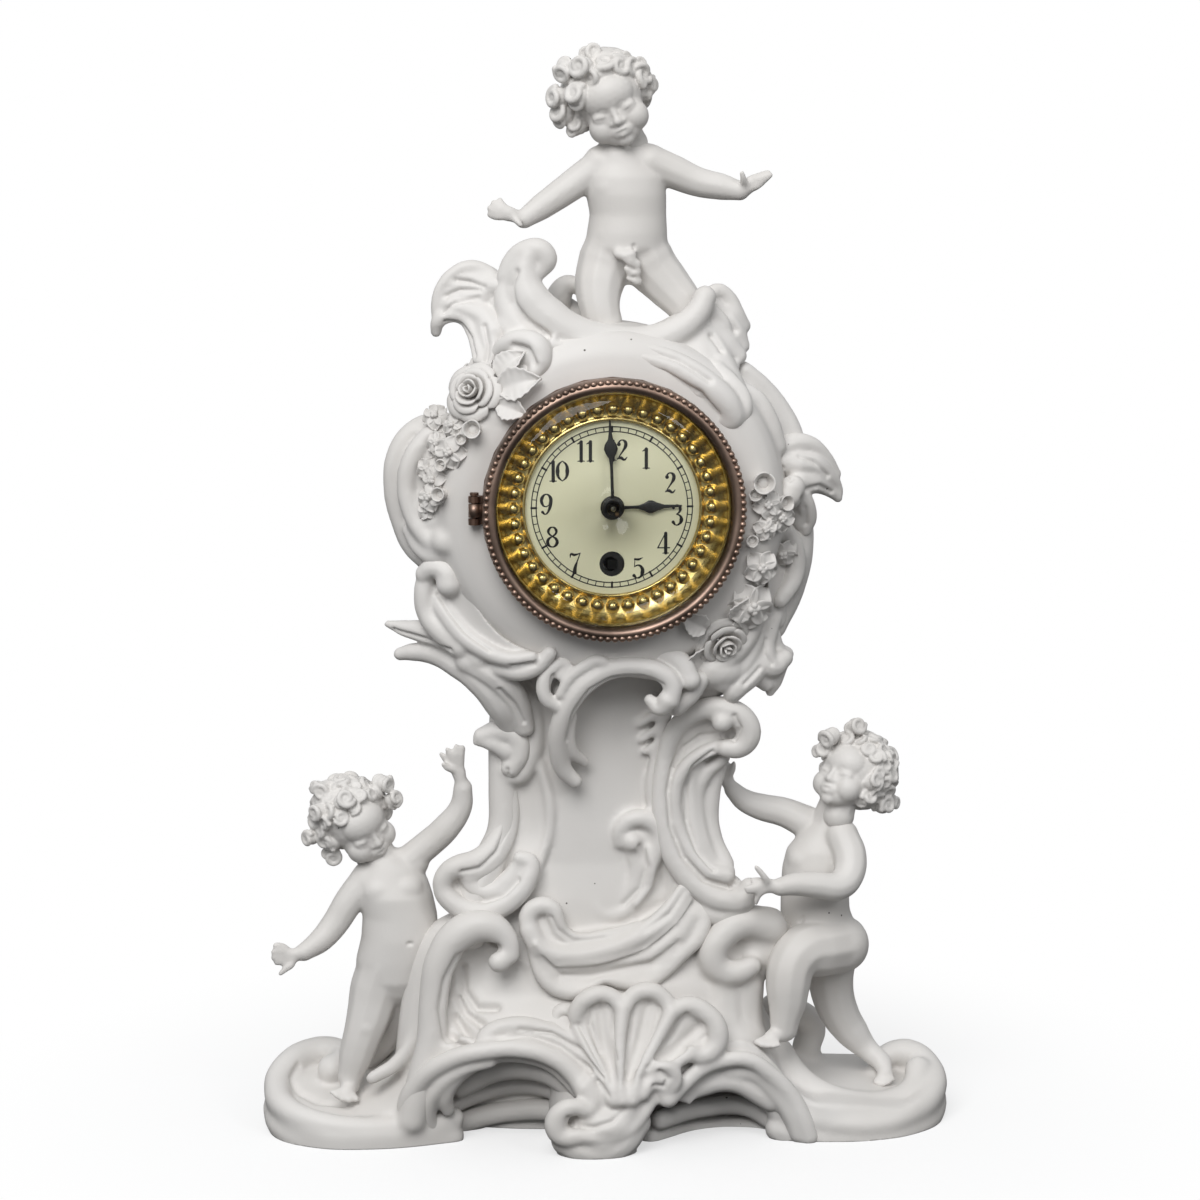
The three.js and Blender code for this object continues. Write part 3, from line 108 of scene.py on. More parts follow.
def loft(clay, sections, square=1.0):
    """A smooth body of level sections: height, middle x and y, half width and half depth."""
    body = bmesh.new()
    made = bmesh.ops.create_circle(body, cap_ends=True, segments=40, radius=1)
    for vert in made["verts"]:
        vert.co = [math.copysign(abs(value) ** square, value) for value in vert.co]
    face = next(iter(body.faces))
    ring = list(made["verts"])
    x0, y0, wide0, deep0 = 0, 0, 1, 1
    for number, (z, x1, y1, wide1, deep1) in enumerate(sections):
        if number:
            grown = bmesh.ops.extrude_face_region(body, geom=[face])["geom"]
            ring = [item for item in grown if isinstance(item, bmesh.types.BMVert)]
            face = next(item for item in grown if isinstance(item, bmesh.types.BMFace))
        for vert in ring:
            x = (vert.co.x - x0) / wide0 * wide1 + x1
            y = (vert.co.y - y0) / deep0 * deep1 + y1
            vert.co = (x, y, z)
        x0, y0, wide0, deep0 = x1, y1, wide1, deep1
    bmesh.ops.recalc_face_normals(body, faces=body.faces)
    bmesh.ops.scale(body, vec=(MM, MM, MM), verts=body.verts)
    join(clay, body)


def along(route, share):
    """The place a share of the way along a smooth route."""
    last = len(route) - 1
    start = min(int(share * last), last - 1)
    t = share * last - start
    a, b, c, d = [Vector(route[min(max(start + step, 0), last)][:3]) for step in (-1, 0, 1, 2)]
    bend = 2 * a - 5 * b + 4 * c - d
    twist = 3 * b - a - 3 * c + d
    return 0.5 * (2 * b + (c - a) * t + bend * t * t + twist * t ** 3)


def web(clay, first, second, thick, sag=0.0, back=(0, 1, 0)):
    """A sheet of clay between two routes. It is thick towards the back and dished by a sag in millimetres."""
    sheet = bmesh.new()
    bmesh.ops.create_grid(sheet, x_segments=9, y_segments=33, size=1)
    back = Vector(back)
    for vert in sheet.verts:
        share, way = (vert.co.x + 1) / 2, (vert.co.y + 1) / 2
        place = along(first, way).lerp(along(second, way), share)
        vert.co = (place + back * sag * 4 * share * (1 - share)) * MM
    grown = bmesh.ops.extrude_face_region(sheet, geom=sheet.faces[:])["geom"]
    rear = [item for item in grown if isinstance(item, bmesh.types.BMVert)]
    bmesh.ops.translate(sheet, vec=back * thick * MM, verts=rear)
    bmesh.ops.recalc_face_normals(sheet, faces=sheet.faces)
    join(clay, sheet)


def level(piece):
    """Cuts a piece off flat at the table."""
    body = bmesh.new()
    body.from_mesh(piece.data)
    bmesh.ops.bisect_plane(body, geom=[*body.verts, *body.edges, *body.faces], plane_co=(0, 0, 0),
                           plane_no=(0, 0, 1), clear_inner=True)
    bmesh.ops.holes_fill(body, edges=[edge for edge in body.edges if edge.is_boundary])
    body.to_mesh(piece.data)
    body.free()


def fuse(name, clay, grain, soften):
    """Presses the clay into one skin of the given grain in millimetres, and softens it."""
    mesh = bpy.data.meshes.new(name)
    clay.to_mesh(mesh)
    clay.free()
    piece = bpy.data.objects.new(name, mesh)
    bpy.context.scene.collection.objects.link(piece)
    remesh = piece.modifiers.new("press", "REMESH")
    remesh.mode = "VOXEL"
    remesh.voxel_size = grain * MM
    remesh.use_smooth_shade = True
    smooth = piece.modifiers.new("sponge", "SMOOTH")
    smooth.factor = 0.5
    smooth.iterations = soften
    bake(piece)
    return piece


def bake(piece):
    """Applies what is live on a piece."""
    bpy.context.view_layer.update()
    evaluated = piece.evaluated_get(bpy.context.evaluated_depsgraph_get())
    mesh = bpy.data.meshes.new_from_object(evaluated)
    old = piece.data
    piece.modifiers.clear()
    piece.data = mesh
    bpy.data.meshes.remove(old)
    mesh.name = piece.name


def skin_of(piece):
    """The surface of a piece, to lay relief on."""
    mesh = piece.data
    return BVHTree.FromPolygons([v.co for v in mesh.vertices], [p.vertices for p in mesh.polygons])


# Scored lines are given as x and z on an upright plane in front of the clock's middle
reading_plane = -20


def seen(skin, x, z):
    """The point of a skin that the camera sees in line with x and z on the upright reading plane."""
    eye = camera.location
    aim = Vector((x, reading_plane, z)) * MM
    direction = (aim - eye).normalized()
    place, normal, _, _ = skin.ray_cast(eye, direction)
    if place is None:
        place, normal, _, _ = skin.find_nearest(aim)
    return place, normal


def etch(piece, lines, width, depth):
    """Presses soft grooves along lines of places and strengths, or raises ridges where depth is negative."""
    mesh = piece.data
    places = np.empty(len(mesh.vertices) * 3, np.float32)
    mesh.vertices.foreach_get("co", places)
    places = places.reshape(-1, 3)
    normals = np.array([v.vector for v in mesh.vertex_normals], np.float32)
    sink = np.zeros(len(places), np.float32)
    for line in lines:
        points = np.array([place for place, _ in line])
        strengths = [strength for _, strength in line]
        low = points.min(axis=0) - width * 3 * MM
        high = points.max(axis=0) + width * 3 * MM
        near = np.where(np.all((places > low) & (places < high), axis=1))[0]
        beside = places[near]
        strongest = np.zeros(len(near), np.float32)
        for a, b, first, last in zip(points, points[1:], strengths, strengths[1:]):
            run = b - a
            share = np.clip((beside - a) @ run / max(run @ run, 1e-12), 0, 1)
            gap = np.linalg.norm(beside - a - share[:, None] * run, axis=1) / (width * MM)
            strength = np.exp(-gap * gap) * (first + (last - first) * share)
            strongest = np.maximum(strongest, strength)
        sink[near] = np.maximum(sink[near], strongest)
    places -= normals * (sink * depth * MM)[:, None]
    mesh.vertices.foreach_set("co", places.ravel())
    mesh.update()


def score(piece, lines, width, depth):
    """Etches lines given as x, z and a strength if it is not 1, laid on the front of a piece."""
    skin = skin_of(piece)
    laid = [[(seen(skin, x, z)[0], *(strength or [1.0])) for x, z, *strength in line] for line in lines]
    etch(piece, laid, width, depth)


# The waisted middle
clay = bmesh.new()
loft(clay, [
    (-6, 1, 17, 60, 27.5), (10, 0, 17, 58, 27), (22, -2, 15, 57, 26), (31, -3, 5, 55, 33),
    (38, -4, 2, 54, 33), (48, -4, 3, 51, 25), (58, -5, 2, 46, 21), (68, -5, 1, 41, 17), (78, -5, 1, 36, 14)
], square=0.75)
pellet(clay, (-8, -18, 10), (13, 16, 22))

# The dished left wing, with a rolled rim that ends in a ball
left_wing = [
    (-50, -20), (-65, -24.5), (-79, -26), (-94, -24), (-107, -14.5), (-112, 2), (-109.5, 17), (-97, 29),
    (-78, 34), (-60, 34), (-48, 27)]


def slab(clay, outline, top):
    """A flat foot of clay inside an outline, with its upper face at a height given by place."""
    foot = bmesh.new()
    steps = 80
    below_table = -6
    route = [(x, y, below_table) for x, y in outline]
    lower = [foot.faces.new([foot.verts.new(along(route, step / steps)) for step in range(steps + 1)])]
    grown = bmesh.ops.extrude_face_region(foot, geom=lower)["geom"]
    for vert in [item for item in grown if isinstance(item, bmesh.types.BMVert)]:
        vert.co.z = top(vert.co.x, vert.co.y)
    bmesh.ops.recalc_face_normals(foot, faces=foot.faces)
    bmesh.ops.scale(foot, vec=(MM, MM, MM), verts=foot.verts)
    join(clay, foot)


slab(clay, left_wing, lambda x, y: 11 + 0.25 * y)
coil(clay, [
    (-52, -17, 7, 4), (-65, -20, 6, 3.8), (-79, -21.5, 5.8, 3.8), (-93, -19.5, 6.8, 4), (-105, -11, 9, 4.5),
    (-109, 2, 12, 4.6), (-106, 14, 16, 5), (-98, 21, 19, 5), (-90, 20, 19.5, 5), (-87, 13, 18.5, 4.5),
    (-91, 8, 17, 5)])
coil(clay, [(-98, 22, 15, 4), (-80, 29, 15, 4), (-60, 30, 15, 4), (-48, 24, 16, 4)])
coil(clay, [
    (-52, -17, 1, 4), (-65, -20, 0, 4), (-79, -21.5, 0, 4), (-93, -19.5, 0, 4.2), (-105, -11, 2, 4.7),
    (-109, 2, 5, 4.8), (-106, 14, 8, 5), (-98, 21, 10, 5)])
coil(clay, [(-104, -8, 5, 4.5), (-106, 3, 8, 4.5), (-103, 14, 11, 4.5)])

# The right wing: one long S with a trough behind its front rim
right_wing = [
    (50, 26), (69, 30), (88, 29.5), (101, 22.5), (109.5, 9.5), (109.5, -7), (100.5, -21.5), (86, -29),
    (69, -30), (53, -28)]


def swell(x, crest_x, height):
    """The lift of the wing's floor at x under a soft rise with its crest at crest_x."""
    return height * math.exp(-(((x - crest_x) / 14) ** 2))


slab(clay, right_wing, lambda x, y: 5 + swell(x, 103, 7) + swell(x, 56, 14) + 0.05 * y)
coil(clay, [
    (54, -24, 10, 5), (69, -27, 5.5, 4.2), (84, -27, 3.8, 4), (97, -21, 5.5, 4.5), (106, -10, 8.5, 5),
    (108, 2, 13, 5.2), (102, 10, 17, 5), (94, 9, 16, 4), (90, 3, 12, 3)])
coil(clay, [
    (56, -8, 23.7, 5), (61.1, -12, 17.3, 4.5), (69.1, -14, 11.9, 4), (81.1, -16, 8.8, 3.5),
    (92.5, -14, 8.5, 3.5), (100.8, -8, 10.9, 4), (103.5, -2, 14.9, 4.5)])
coil(clay, [
    (54, -24, 3, 5), (69, -27, 0, 4.4), (84, -27, -1, 4.2), (97, -21, 0, 4.7), (106, -10, 2, 5),
    (108, 2, 6, 5.3), (103, 12, 9, 5)])
coil(clay, [(50, 22, 14, 5), (68, 26, 8, 4.5), (84, 25, 5, 4), (97, 18, 9, 5), (104, 10, 14, 5)])

# Hips: on the left a band that rises from the floor and curls over, on the right a ribbed hook on a post
coil(clay, [
    (-65.5, -22, 8.3, 5), (-62.8, -22, 19.9, 5), (-59.1, -21, 34.5, 5), (-58, -20, 48.9, 5),
    (-55.3, -20, 61.4, 5.5), (-48.8, -20, 69.8, 6), (-40.5, -21, 71.9, 5.5), (-34.5, -22, 67.4, 4),
    (-33.3, -23, 62.7, 3.2)])
pellet(clay, (-37.2, -24, 60.7), 3.8)
coil(clay, [(-63.9, -8, 24.1, 7), (-60.5, -8, 44.2, 8), (-56.1, -8, 60.9, 8), (-45.8, -10, 69.5, 7)])
coil(clay, [(-78.1, -14, 20.2, 2.4), (-69.6, -14, 25.4, 2.8), (-63, -13, 35.7, 3), (-60, -13, 49, 3)])
coil(clay, [
    (51.2, -14, 68.1, 6.5), (42.9, -17, 70.3, 5.5), (35.5, -19, 66.4, 5), (32.1, -20, 60.4, 5),
    (34.7, -20, 55.3, 4.6), (41.3, -20, 54.5, 4.2), (44.9, -20, 56.4, 3.6)])
pellet(clay, (49.9, -9, 60.4), (13, 9, 11))
coil(clay, [(43.7, -14, 48.4, 6.5), (43.5, -14, 36.6, 6.5), (45.8, -17, 24.6, 6.5)])
coil(clay, [(35.5, -14, 48.6, 8), (36, -16, 37.4, 8), (38.2, -20, 28.4, 7)])
coil(clay, [
    (58.2, 18, 30.6, 6), (67, 20, 28.5, 5), (71.4, 22, 22.9, 5), (69.1, 20, 15.8, 5), (75, 22, 8.1, 4)])

# Smooth slopes between the bands: from the arches up to the waist, and from each wing up to its hip
arch_left = [
    (-66.4, -20, 7.7), (-63.5, -24, 20.5), (-53.3, -28, 30.5), (-42.2, -30, 33.7), (-31.3, -31, 34.7),
    (-19.5, -32, 31.4), (-8.7, -34, 22.1)]
slope_left = [
    (-60, -19, 27.3), (-56, -17, 40), (-48.8, -17, 46.5), (-39.8, -18, 46.5), (-30.2, -20, 46.9),
    (-19, -22, 47.1), (-7.2, -24, 45.7)]
arch_right = [
    (-9.4, -34, 20.5), (3.3, -36, 18.1), (13.7, -35, 19.5), (27.3, -32, 26.9), (42.8, -30, 28.6),
    (55.2, -28, 16.9)]
slope_right = [
    (-7.8, -23, 47.1), (4.5, -23, 51.8), (16.5, -23, 51.5), (29.8, -21, 49), (40, -18, 46.3),
    (48.6, -15, 40.2)]
web(clay, arch_left, slope_left, 6, 2.5)
web(clay, slope_left, [
    (-57.1, -14, 45.8), (-55.1, -15, 59.4), (-47.7, -17, 67.1), (-36.5, -18, 63.7), (-26.9, -19, 58.1),
    (-14, -20, 51.5), (-4.3, -20, 51.2)], 6, 3)
web(clay, arch_right, slope_right, 6, 2)
web(clay, slope_right, [
    (-7.5, -20, 53), (5.4, -20, 54.3), (21.8, -19, 58.7), (32.4, -17, 66.2), (41.2, -15, 67.2),
    (50.5, -12, 64.5)], 6, 1)
for arch in (arch_left, arch_right):
    lip = [(x, y + 2, z + 1) for x, y, z in arch]
    rear = [(x, y + 18, z - 1) for x, y, z in arch]
    web(clay, lip, rear, 4, 0, (0, 0, 1))
web(clay, [
    (-84, -20, 7.5), (-84, 0, 12), (-80, 24, 17)
], [
    (-60.7, -20, 24.3), (-59.5, -8, 37.5), (-58.9, 8, 39.7)
], 5, 4, (0.4, 0, -0.9))
web(clay, [(72, -26, 6), (74, 0, 8), (72, 22, 11)], [
    (48, -20, 24.8), (48.9, -8, 41.6), (51, 8, 40.5)], 5, 4, (-0.4, 0, -0.9))
base = fuse("base_body", clay, grain=0.8, soften=26)
score(base, [
    [(-101.6, 26.7), (-103.9, 22.7), (-101.7, 18), (-95.7, 14.5), (-87, 13.6)],
    [(-53.6, 34.1), (-55.8, 44.1), (-54.1, 54.1), (-50.2, 61.6), (-43.1, 65.7), (-37.3, 64.3)],
], width=1.3, depth=1.3)
score(base, [
    [(-48.6, 57.9), (-48.3, 50.6), (-44.5, 44.5), (-38, 44.4)],
    [(-49.9, 48), (-48, 43), (-42.6, 38.8)],
    [(-50.9, 41.4), (-48.7, 37.3), (-44.5, 34.9)],
    [(-52.3, 35.4), (-50.4, 32.3), (-47.5, 30.9)],
], width=1.3, depth=2.3)


def clouded(name, roughness, scale, detail, colours, stops):
    """A material whose colour drifts between two colours in soft clouds."""
    material = bpy.data.materials.new(name)
    material.use_nodes = True
    nodes, links = material.node_tree.nodes, material.node_tree.links
    shader = nodes["Principled BSDF"]
    shader.inputs["Roughness"].default_value = roughness
    place = nodes.new("ShaderNodeTexCoord")
    place.name = "place"
    cloud = nodes.new("ShaderNodeTexNoise")
    cloud.inputs["Scale"].default_value = scale
    cloud.inputs["Detail"].default_value = detail
    tint = nodes.new("ShaderNodeValToRGB")
    tint.name = "tint"
    for stop, position, colour in zip(tint.color_ramp.elements, stops, colours):
        stop.position = position
        stop.color = (*colour, 1)
    links.new(place.outputs["Object"], cloud.inputs["Vector"])
    links.new(cloud.outputs["Fac"], tint.inputs["Fac"])
    links.new(tint.outputs["Color"], shader.inputs["Base Color"])
    return material


def bisque():
    """Unglazed porcelain: chalky white with a faint cloud, fine tooth and a few dark kiln specks."""
    whites = ((0.63, 0.607, 0.58), (0.685, 0.665, 0.642))
    material = clouded("bisque_porcelain", 0.5, 22, 3, whites, (0.35, 0.65))
    nodes, links = material.node_tree.nodes, material.node_tree.links
    shader = nodes["Principled BSDF"]
    shader.inputs["Specular IOR Level"].default_value = 0.35
    speck = nodes.new("ShaderNodeTexVoronoi")
    speck.inputs["Scale"].default_value = 75
    size = nodes.new("ShaderNodeMath")
    size.operation = "LESS_THAN"
    size.inputs[1].default_value = 0.026
    fleck = nodes.new("ShaderNodeMix")
    fleck.data_type = "RGBA"
    fleck.inputs[7].default_value = (0.10, 0.09, 0.08, 1)
    tooth = nodes.new("ShaderNodeTexNoise")
    tooth.inputs["Scale"].default_value = 900
    bump = nodes.new("ShaderNodeBump")
    bump.inputs["Strength"].default_value = 0.12
    bump.inputs["Distance"].default_value = 0.0002
    for texture in (speck, tooth):
        links.new(nodes["place"].outputs["Object"], texture.inputs["Vector"])
    links.new(speck.outputs["Distance"], size.inputs[0])
    links.new(size.outputs[0], fleck.inputs[0])
    links.new(nodes["tint"].outputs["Color"], fleck.inputs[6])
    links.new(fleck.outputs[2], shader.inputs["Base Color"])
    links.new(tooth.outputs["Fac"], bump.inputs["Height"])
    links.new(bump.outputs["Normal"], shader.inputs["Normal"])
    return material


porcelain = bisque()


def dress(piece, material, slot, body, *nodes):
    """Gives a piece its material, lets it ride on a body and stand in for nodes of the frame."""
    piece.data.materials.clear()
    piece.data.materials.append(material)
    for face in piece.data.polygons:
        face.use_smooth = True
    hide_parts(*nodes)
    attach(piece, body)


def fire(piece, *nodes):
    """A finished porcelain piece, fixed to the clock's body, that stands in for nodes of the frame."""
    dress(piece, porcelain, "porcelain", "clock_body", *nodes)


# The hollow, open below, with a wall of about 5 mm
level(base)
clay = bmesh.new()
loft(clay, [(-8, 1, 17, 54, 22), (18, 0, 16, 51, 20.5), (36, -3, 5, 46, 24), (54, -4, 2, 39, 15)], square=0.8)
mesh = bpy.data.meshes.new("core")
clay.to_mesh(mesh)
clay.free()
core = bpy.data.objects.new("core", mesh)
bpy.context.scene.collection.objects.link(core)
hollow = base.modifiers.new("hollow", "BOOLEAN")
hollow.object = core
hollow.operation = "DIFFERENCE"
hollow.solver = "EXACT"
bake(base)
bpy.data.objects.remove(core)
fire(base, "base")

# Front: two arches that spring from the floor and meet under a ribbed shell fan with a curled foot.
# They are pressed on their own and luted to the base before firing.
clay = bmesh.new()
coil(clay, [
    (-63.4, -17, 2.2, 4), (-66.4, -20, 11, 4.2), (-62.9, -24, 21.5, 3.6), (-53.3, -28, 29.8, 3.3),
    (-42.2, -30, 33.1, 3.2), (-31.3, -31, 33.8, 3.2), (-20.5, -32, 30.8, 3.3), (-13.2, -33, 24.9, 3.6),
    (-9.5, -35, 19.1, 4)])
coil(clay, [(-8.8, -35, 23.8, 3.2), (-5.7, -36, 17.7, 3.2), (-5.1, -36, 12.3, 2.8)])
coil(clay, [
    (-57.3, -18, 0.7, 3), (-60.3, -22, 10.8, 3), (-56.5, -26, 20.6, 2.6), (-49.5, -28, 26.4, 2.4),
    (-40.5, -29, 29.1, 2.2)])
coil(clay, [(-45.6, -27, 28.3, 3), (-51.3, -26, 23.2, 2.8), (-54.8, -24, 16.6, 3), (-53.8, -22, 11.3, 2.4)])
# Mouldings inside the left recess
coil(clay, [
    (-59.2, -9, -2.1, 4), (-45.9, -6, 2.7, 4), (-29.6, -8, 6.2, 4), (-16.7, -12, 6.5, 4),
    (-4.1, -18, 2.6, 5)])
coil(clay, [(-55.9, -10, 7.6, 3.5), (-42.7, -8, 12.7, 3.5), (-26.4, -10, 15.6, 3.5), (-12.3, -18, 13.6, 4)])
coil(clay, [(-49.5, -14, 17.1, 4.5), (-36.6, -16, 23.1, 4.5), (-22.2, -20, 23.2, 4.5), (-11.3, -26, 18.1, 5)])
# Right arch with its flat vein and the moulding inside
coil(clay, [
    (16.2, -36, 17.7, 3.4), (21.6, -34, 22, 3), (27.2, -33, 26.2, 2.8), (34.1, -32, 28.4, 2.7),
    (42.6, -31, 28.2, 2.8), (50.3, -30, 22.7, 3), (56.7, -29, 15.2, 3.4), (61, -29, 6.3, 3.8),
    (62.7, -29, 1.5, 3.6)])
coil(clay, [
    (36.5, -28, 23.4, 3), (44.4, -28, 23.2, 3.4), (51.6, -28, 17, 3.6), (57.6, -28, 8.8, 4),
    (60.2, -28, 2.6, 4)])
coil(clay, [(14.9, -24, 6.7, 3.5), (28.9, -16, 7.8, 3.5), (44, -14, 7.5, 3.5), (54.8, -20, 2.9, 4)])
coil(clay, [(11.9, -22, 0, 4), (29.6, -10, -0.9, 4), (46.2, -10, -1.4, 4), (58.4, -18, -3.2, 4)])
coil(clay, [(24.2, -28, 18.4, 4), (37.3, -27, 20.4, 4), (50.6, -26, 13.1, 4)])
# Shell fan: three dished lobes with rolled rims, drawn together into a stem
rims = (
    [(-12.1, -28.5, 38.8, 2.4), (-12.5, -28.5, 44.8, 3), (-8.3, -29, 49.8, 3.2), (-2.5, -29, 50.3, 3),
     (1.9, -30.5, 46.7, 2.8)],
    [(3.2, -30.5, 47, 2.8), (5.8, -29.5, 50.3, 3), (11, -29.5, 51.5, 3.2), (15.5, -30, 48.9, 3),
     (17.9, -31.5, 44.9, 2.8)],
    [(18.5, -31.5, 45.2, 2.8), (22.5, -30.5, 46.8, 3.2), (28.3, -30.5, 44.4, 3.6), (32.5, -31.5, 38.6, 3.8),
     (31.4, -32.5, 32.9, 3.6), (26.8, -33.5, 30.7, 3.2), (23.5, -34, 33.2, 2.6)])
for rim in rims:
    coil(clay, rim)
for rim, foot_line in zip(rims, (
        [(-3.8, -36.5, 26.4), (-3.2, -37, 25.2), (-2.3, -37.5, 24), (-1.4, -38, 23.5), (-0.4, -38, 23.1)],
        [(-0.4, -38, 23.1), (0.5, -38.5, 22.9), (1.8, -38.5, 22.9), (3.1, -38.5, 22.9), (4.3, -38.5, 23.1)],
        [(4.3, -38.5, 23.1), (5.6, -38.5, 23.4), (7, -38, 23.9), (8.6, -38, 24.9), (10.2, -37.5, 25.7),
         (11.5, -37.5, 27), (12.9, -36.5, 27.9)])):
    web(clay, rim, foot_line, 9, 0.6)
for ridge in (
        [(-12.5, -28.5, 40.8, 2.6), (-8.7, -33.5, 32.9, 2.4), (-3.3, -37.5, 24, 2.4),
         (-1.5, -39.5, 18.6, 2.6)],
        [(2.1, -31.5, 46.6, 2.6), (0.8, -35, 37.1, 2.2), (0.5, -38.5, 26.2, 2.2), (1, -40.5, 18.9, 2.6)],
        [(17.8, -32.5, 45.2, 2.6), (12.3, -35.5, 36.3, 2.2), (6.2, -39, 25.6, 2.2), (4.2, -40.5, 18.8, 2.6)],
        [(23.4, -34.5, 31.7, 2.6), (17.5, -36, 29, 2.4), (11.5, -38, 25.8, 2.4), (7.5, -39.5, 20.4, 2.6)]):
    coil(clay, ridge)
pellet(clay, (14.2, -36, 24.4), (5.4, 4.4, 4.6))
coil(clay, [
    (9.6, -37, 20.9, 2.4), (10.2, -38, 26.5, 2.4), (14, -38.5, 29.2, 2.4), (17.9, -38, 26.9, 2.4),
    (18, -37.5, 22.1, 2.2), (14.2, -37, 20.1, 2)])
coil(clay, [(2.8, -35, 20.5, 5), (3.3, -36, 15.4, 5.6), (1.4, -36, 10.8, 6)])
# Leaf scrolls that run left from the fan over the arch
coil(clay, [
    (-6.6, -31, 30.8, 3), (-14.8, -29, 35.7, 3), (-24.3, -27, 39.4, 3), (-33.9, -26, 40, 3.2),
    (-41.6, -26, 36.9, 3), (-43.6, -27, 32.6, 2.2)])
coil(clay, [
    (-4.1, -33, 24, 3), (-11.7, -31, 30.3, 2.8), (-20.6, -29, 34.6, 2.6), (-30.8, -28, 36.5, 2.4),
    (-38.5, -28, 34.7, 2)])
coil(clay, [(-8.1, -26, 40.7, 3), (-13.1, -24, 43.6, 3), (-17.6, -24, 43.7, 2.8), (-19, -25, 39.3, 2.4)])
pellet(clay, (1.3, -30, 22.3), (11, 6, 12))
# Curled foot in the middle: a round block whose rim rolls over at the left
pellet(clay, (-6.1, -33, 0.1), (9.8, 9.2, 6))
pellet(clay, (-5.4, -33, 4.1), (12, 10, 7))
pellet(clay, (-3.5, -33, 9.4), (12.4, 10.6, 8))
coil(clay, [
    (-16.6, -36, 4.7, 5), (-11.6, -37, 2.2, 5.6), (-5.1, -37, 1.4, 5.8), (1.3, -36.5, 4.3, 5.6),
    (6, -35, 9.7, 5)])
coil(clay, [(-14.6, -34, 0, 5), (-5.6, -34.5, -2.1, 5.2), (1.6, -34, 0.2, 5)])
coil(clay, [
    (-10.8, -36, 21.8, 3.4), (-8.4, -37.5, 17.6, 3), (-9.8, -39, 15.1, 2.6), (-13.1, -39.5, 16.6, 2.8),
    (-17.5, -39.5, 15.8, 3.4), (-20.1, -39, 11.1, 4), (-18.2, -39.5, 7.2, 3.6), (-11.9, -40.5, 7.3, 3),
    (-4.8, -40.5, 6.5, 2.8), (2.3, -39.5, 8.3, 2.8), (7, -38, 12.6, 2.8), (10.4, -36, 17.2, 2.8)])
# Each arch is as deep as the wall behind it
web(clay, [
    (-66.4, -20, 10.3), (-62.9, -24, 20.9), (-53.3, -28, 29.1), (-42.2, -30, 32.4), (-31.3, -31, 33.1),
    (-20.5, -32, 30.1), (-9.5, -35, 18.5)
], [
    (-59, -21, 10.5), (-56.4, -24, 18.7), (-49.4, -26, 24.4), (-40.5, -28, 27.5), (-31.2, -29, 28.2),
    (-21.3, -30, 24.9), (-11.9, -33, 15.3)
], 4, 0.5)
web(clay, [
    (16.2, -36, 17.1), (21.6, -34, 21.3), (27.2, -33, 25.5), (34.1, -32, 27.7), (42.6, -31, 27.5),
    (50.3, -30, 22), (56.7, -29, 14.5), (61, -29, 6.3)
], [
    (23.8, -32, 13.6), (27.8, -31, 17.9), (32.4, -30, 21.5), (38.7, -29, 23), (44.2, -29, 22.2),
    (50.2, -28.5, 17.2), (54.9, -28.5, 10.4), (58.2, -28.5, 3.5)
], 4, 0.5)
web(clay, [
    (-43.6, -27, 31.9), (-41.6, -26, 36.9), (-33.9, -26, 40), (-24.3, -27, 39.4), (-14.8, -29, 35.7),
    (-6.6, -31, 30.8)
], [
    (-46.8, -27, 30.7), (-38.5, -28, 34.1), (-30.8, -28.5, 36), (-20.6, -29.5, 34), (-11.7, -31, 29.6),
    (-4.1, -33, 23.4)
], 4, 0.3)
front = fuse("base_front", clay, grain=0.55, soften=26)
score(front, [
    [(-4.3, 42.9), (-3, 32.8), (0.3, 19.3, 0.6)],
    [(11.3, 43.8), (8.7, 32.5), (4.8, 18.5, 0.6)],
    [(28.3, 36.7), (22.4, 30.8), (10.7, 19.7, 0.6)],
], width=1.9, depth=1.3)
score(front, [
    [(-6.9, 43.6, 0.6), (-7.6, 38.3), (-4.3, 28.8, 0.7)],
    [(-1.7, 44.2, 0.6), (-0.1, 36.1), (0.9, 26, 0.7)],
    [(7.4, 43.9, 0.6), (5.5, 34.6), (3.9, 23.9, 0.7)],
    [(14.9, 43.1, 0.6), (12.6, 34.4), (8.1, 23.8, 0.7)],
    [(23.7, 40.8, 0.6), (19.2, 33.6), (11.4, 23, 0.7)],
    [(30.3, 33.3, 0.6), (26.4, 30.7, 0.8), (18.5, 25.5, 0.7)],
    [(-37.4, 33.7, 0.6), (-27.7, 35.4), (-17.3, 31.2), (-8.2, 23.6), (-1.7, 14, 0.7)],
    [(-30.3, 36.8, 0.5), (-19.9, 35.2), (-10.8, 29.7), (-3.6, 20.1)],
    [(-16, 40.5, 0.8), (-10.8, 37.7), (-6.9, 30.2), (-3, 22.1, 0.7)],
    [(-14.7, 6.9), (-12.1, 4.1), (-6.3, 3.3), (-0.4, 5.2), (3.5, 9.1, 0.6)],
    [(15.3, 21.6), (17.9, 19.2), (16.6, 16.5), (13.3, 16.9, 0.6)],
], width=0.9, depth=1.0)
level(front)
fire(front, "left_arch", "right_arch", "palmette")

# Waist: a hollow porcelain neck that carries the case, with a shell and an S-shaped scroll laid on its
# front. It is cast, then luted to the base below and to the case above.
clay = bmesh.new()
loft(clay, [
    (60, -4, 0, 48, 16), (68, -4, -1, 45, 15.5), (78, -5, -1, 37, 14.5), (90, -6, 0, 30, 13.5),
    (104, -8, 0, 26, 13), (122, -8, 0, 27, 12.8), (138, -7, 0, 28, 12.8), (150, -5, 0, 31, 13),
    (160, -4, 1, 34, 13), (168, -2, 1, 37, 12)], square=0.8)
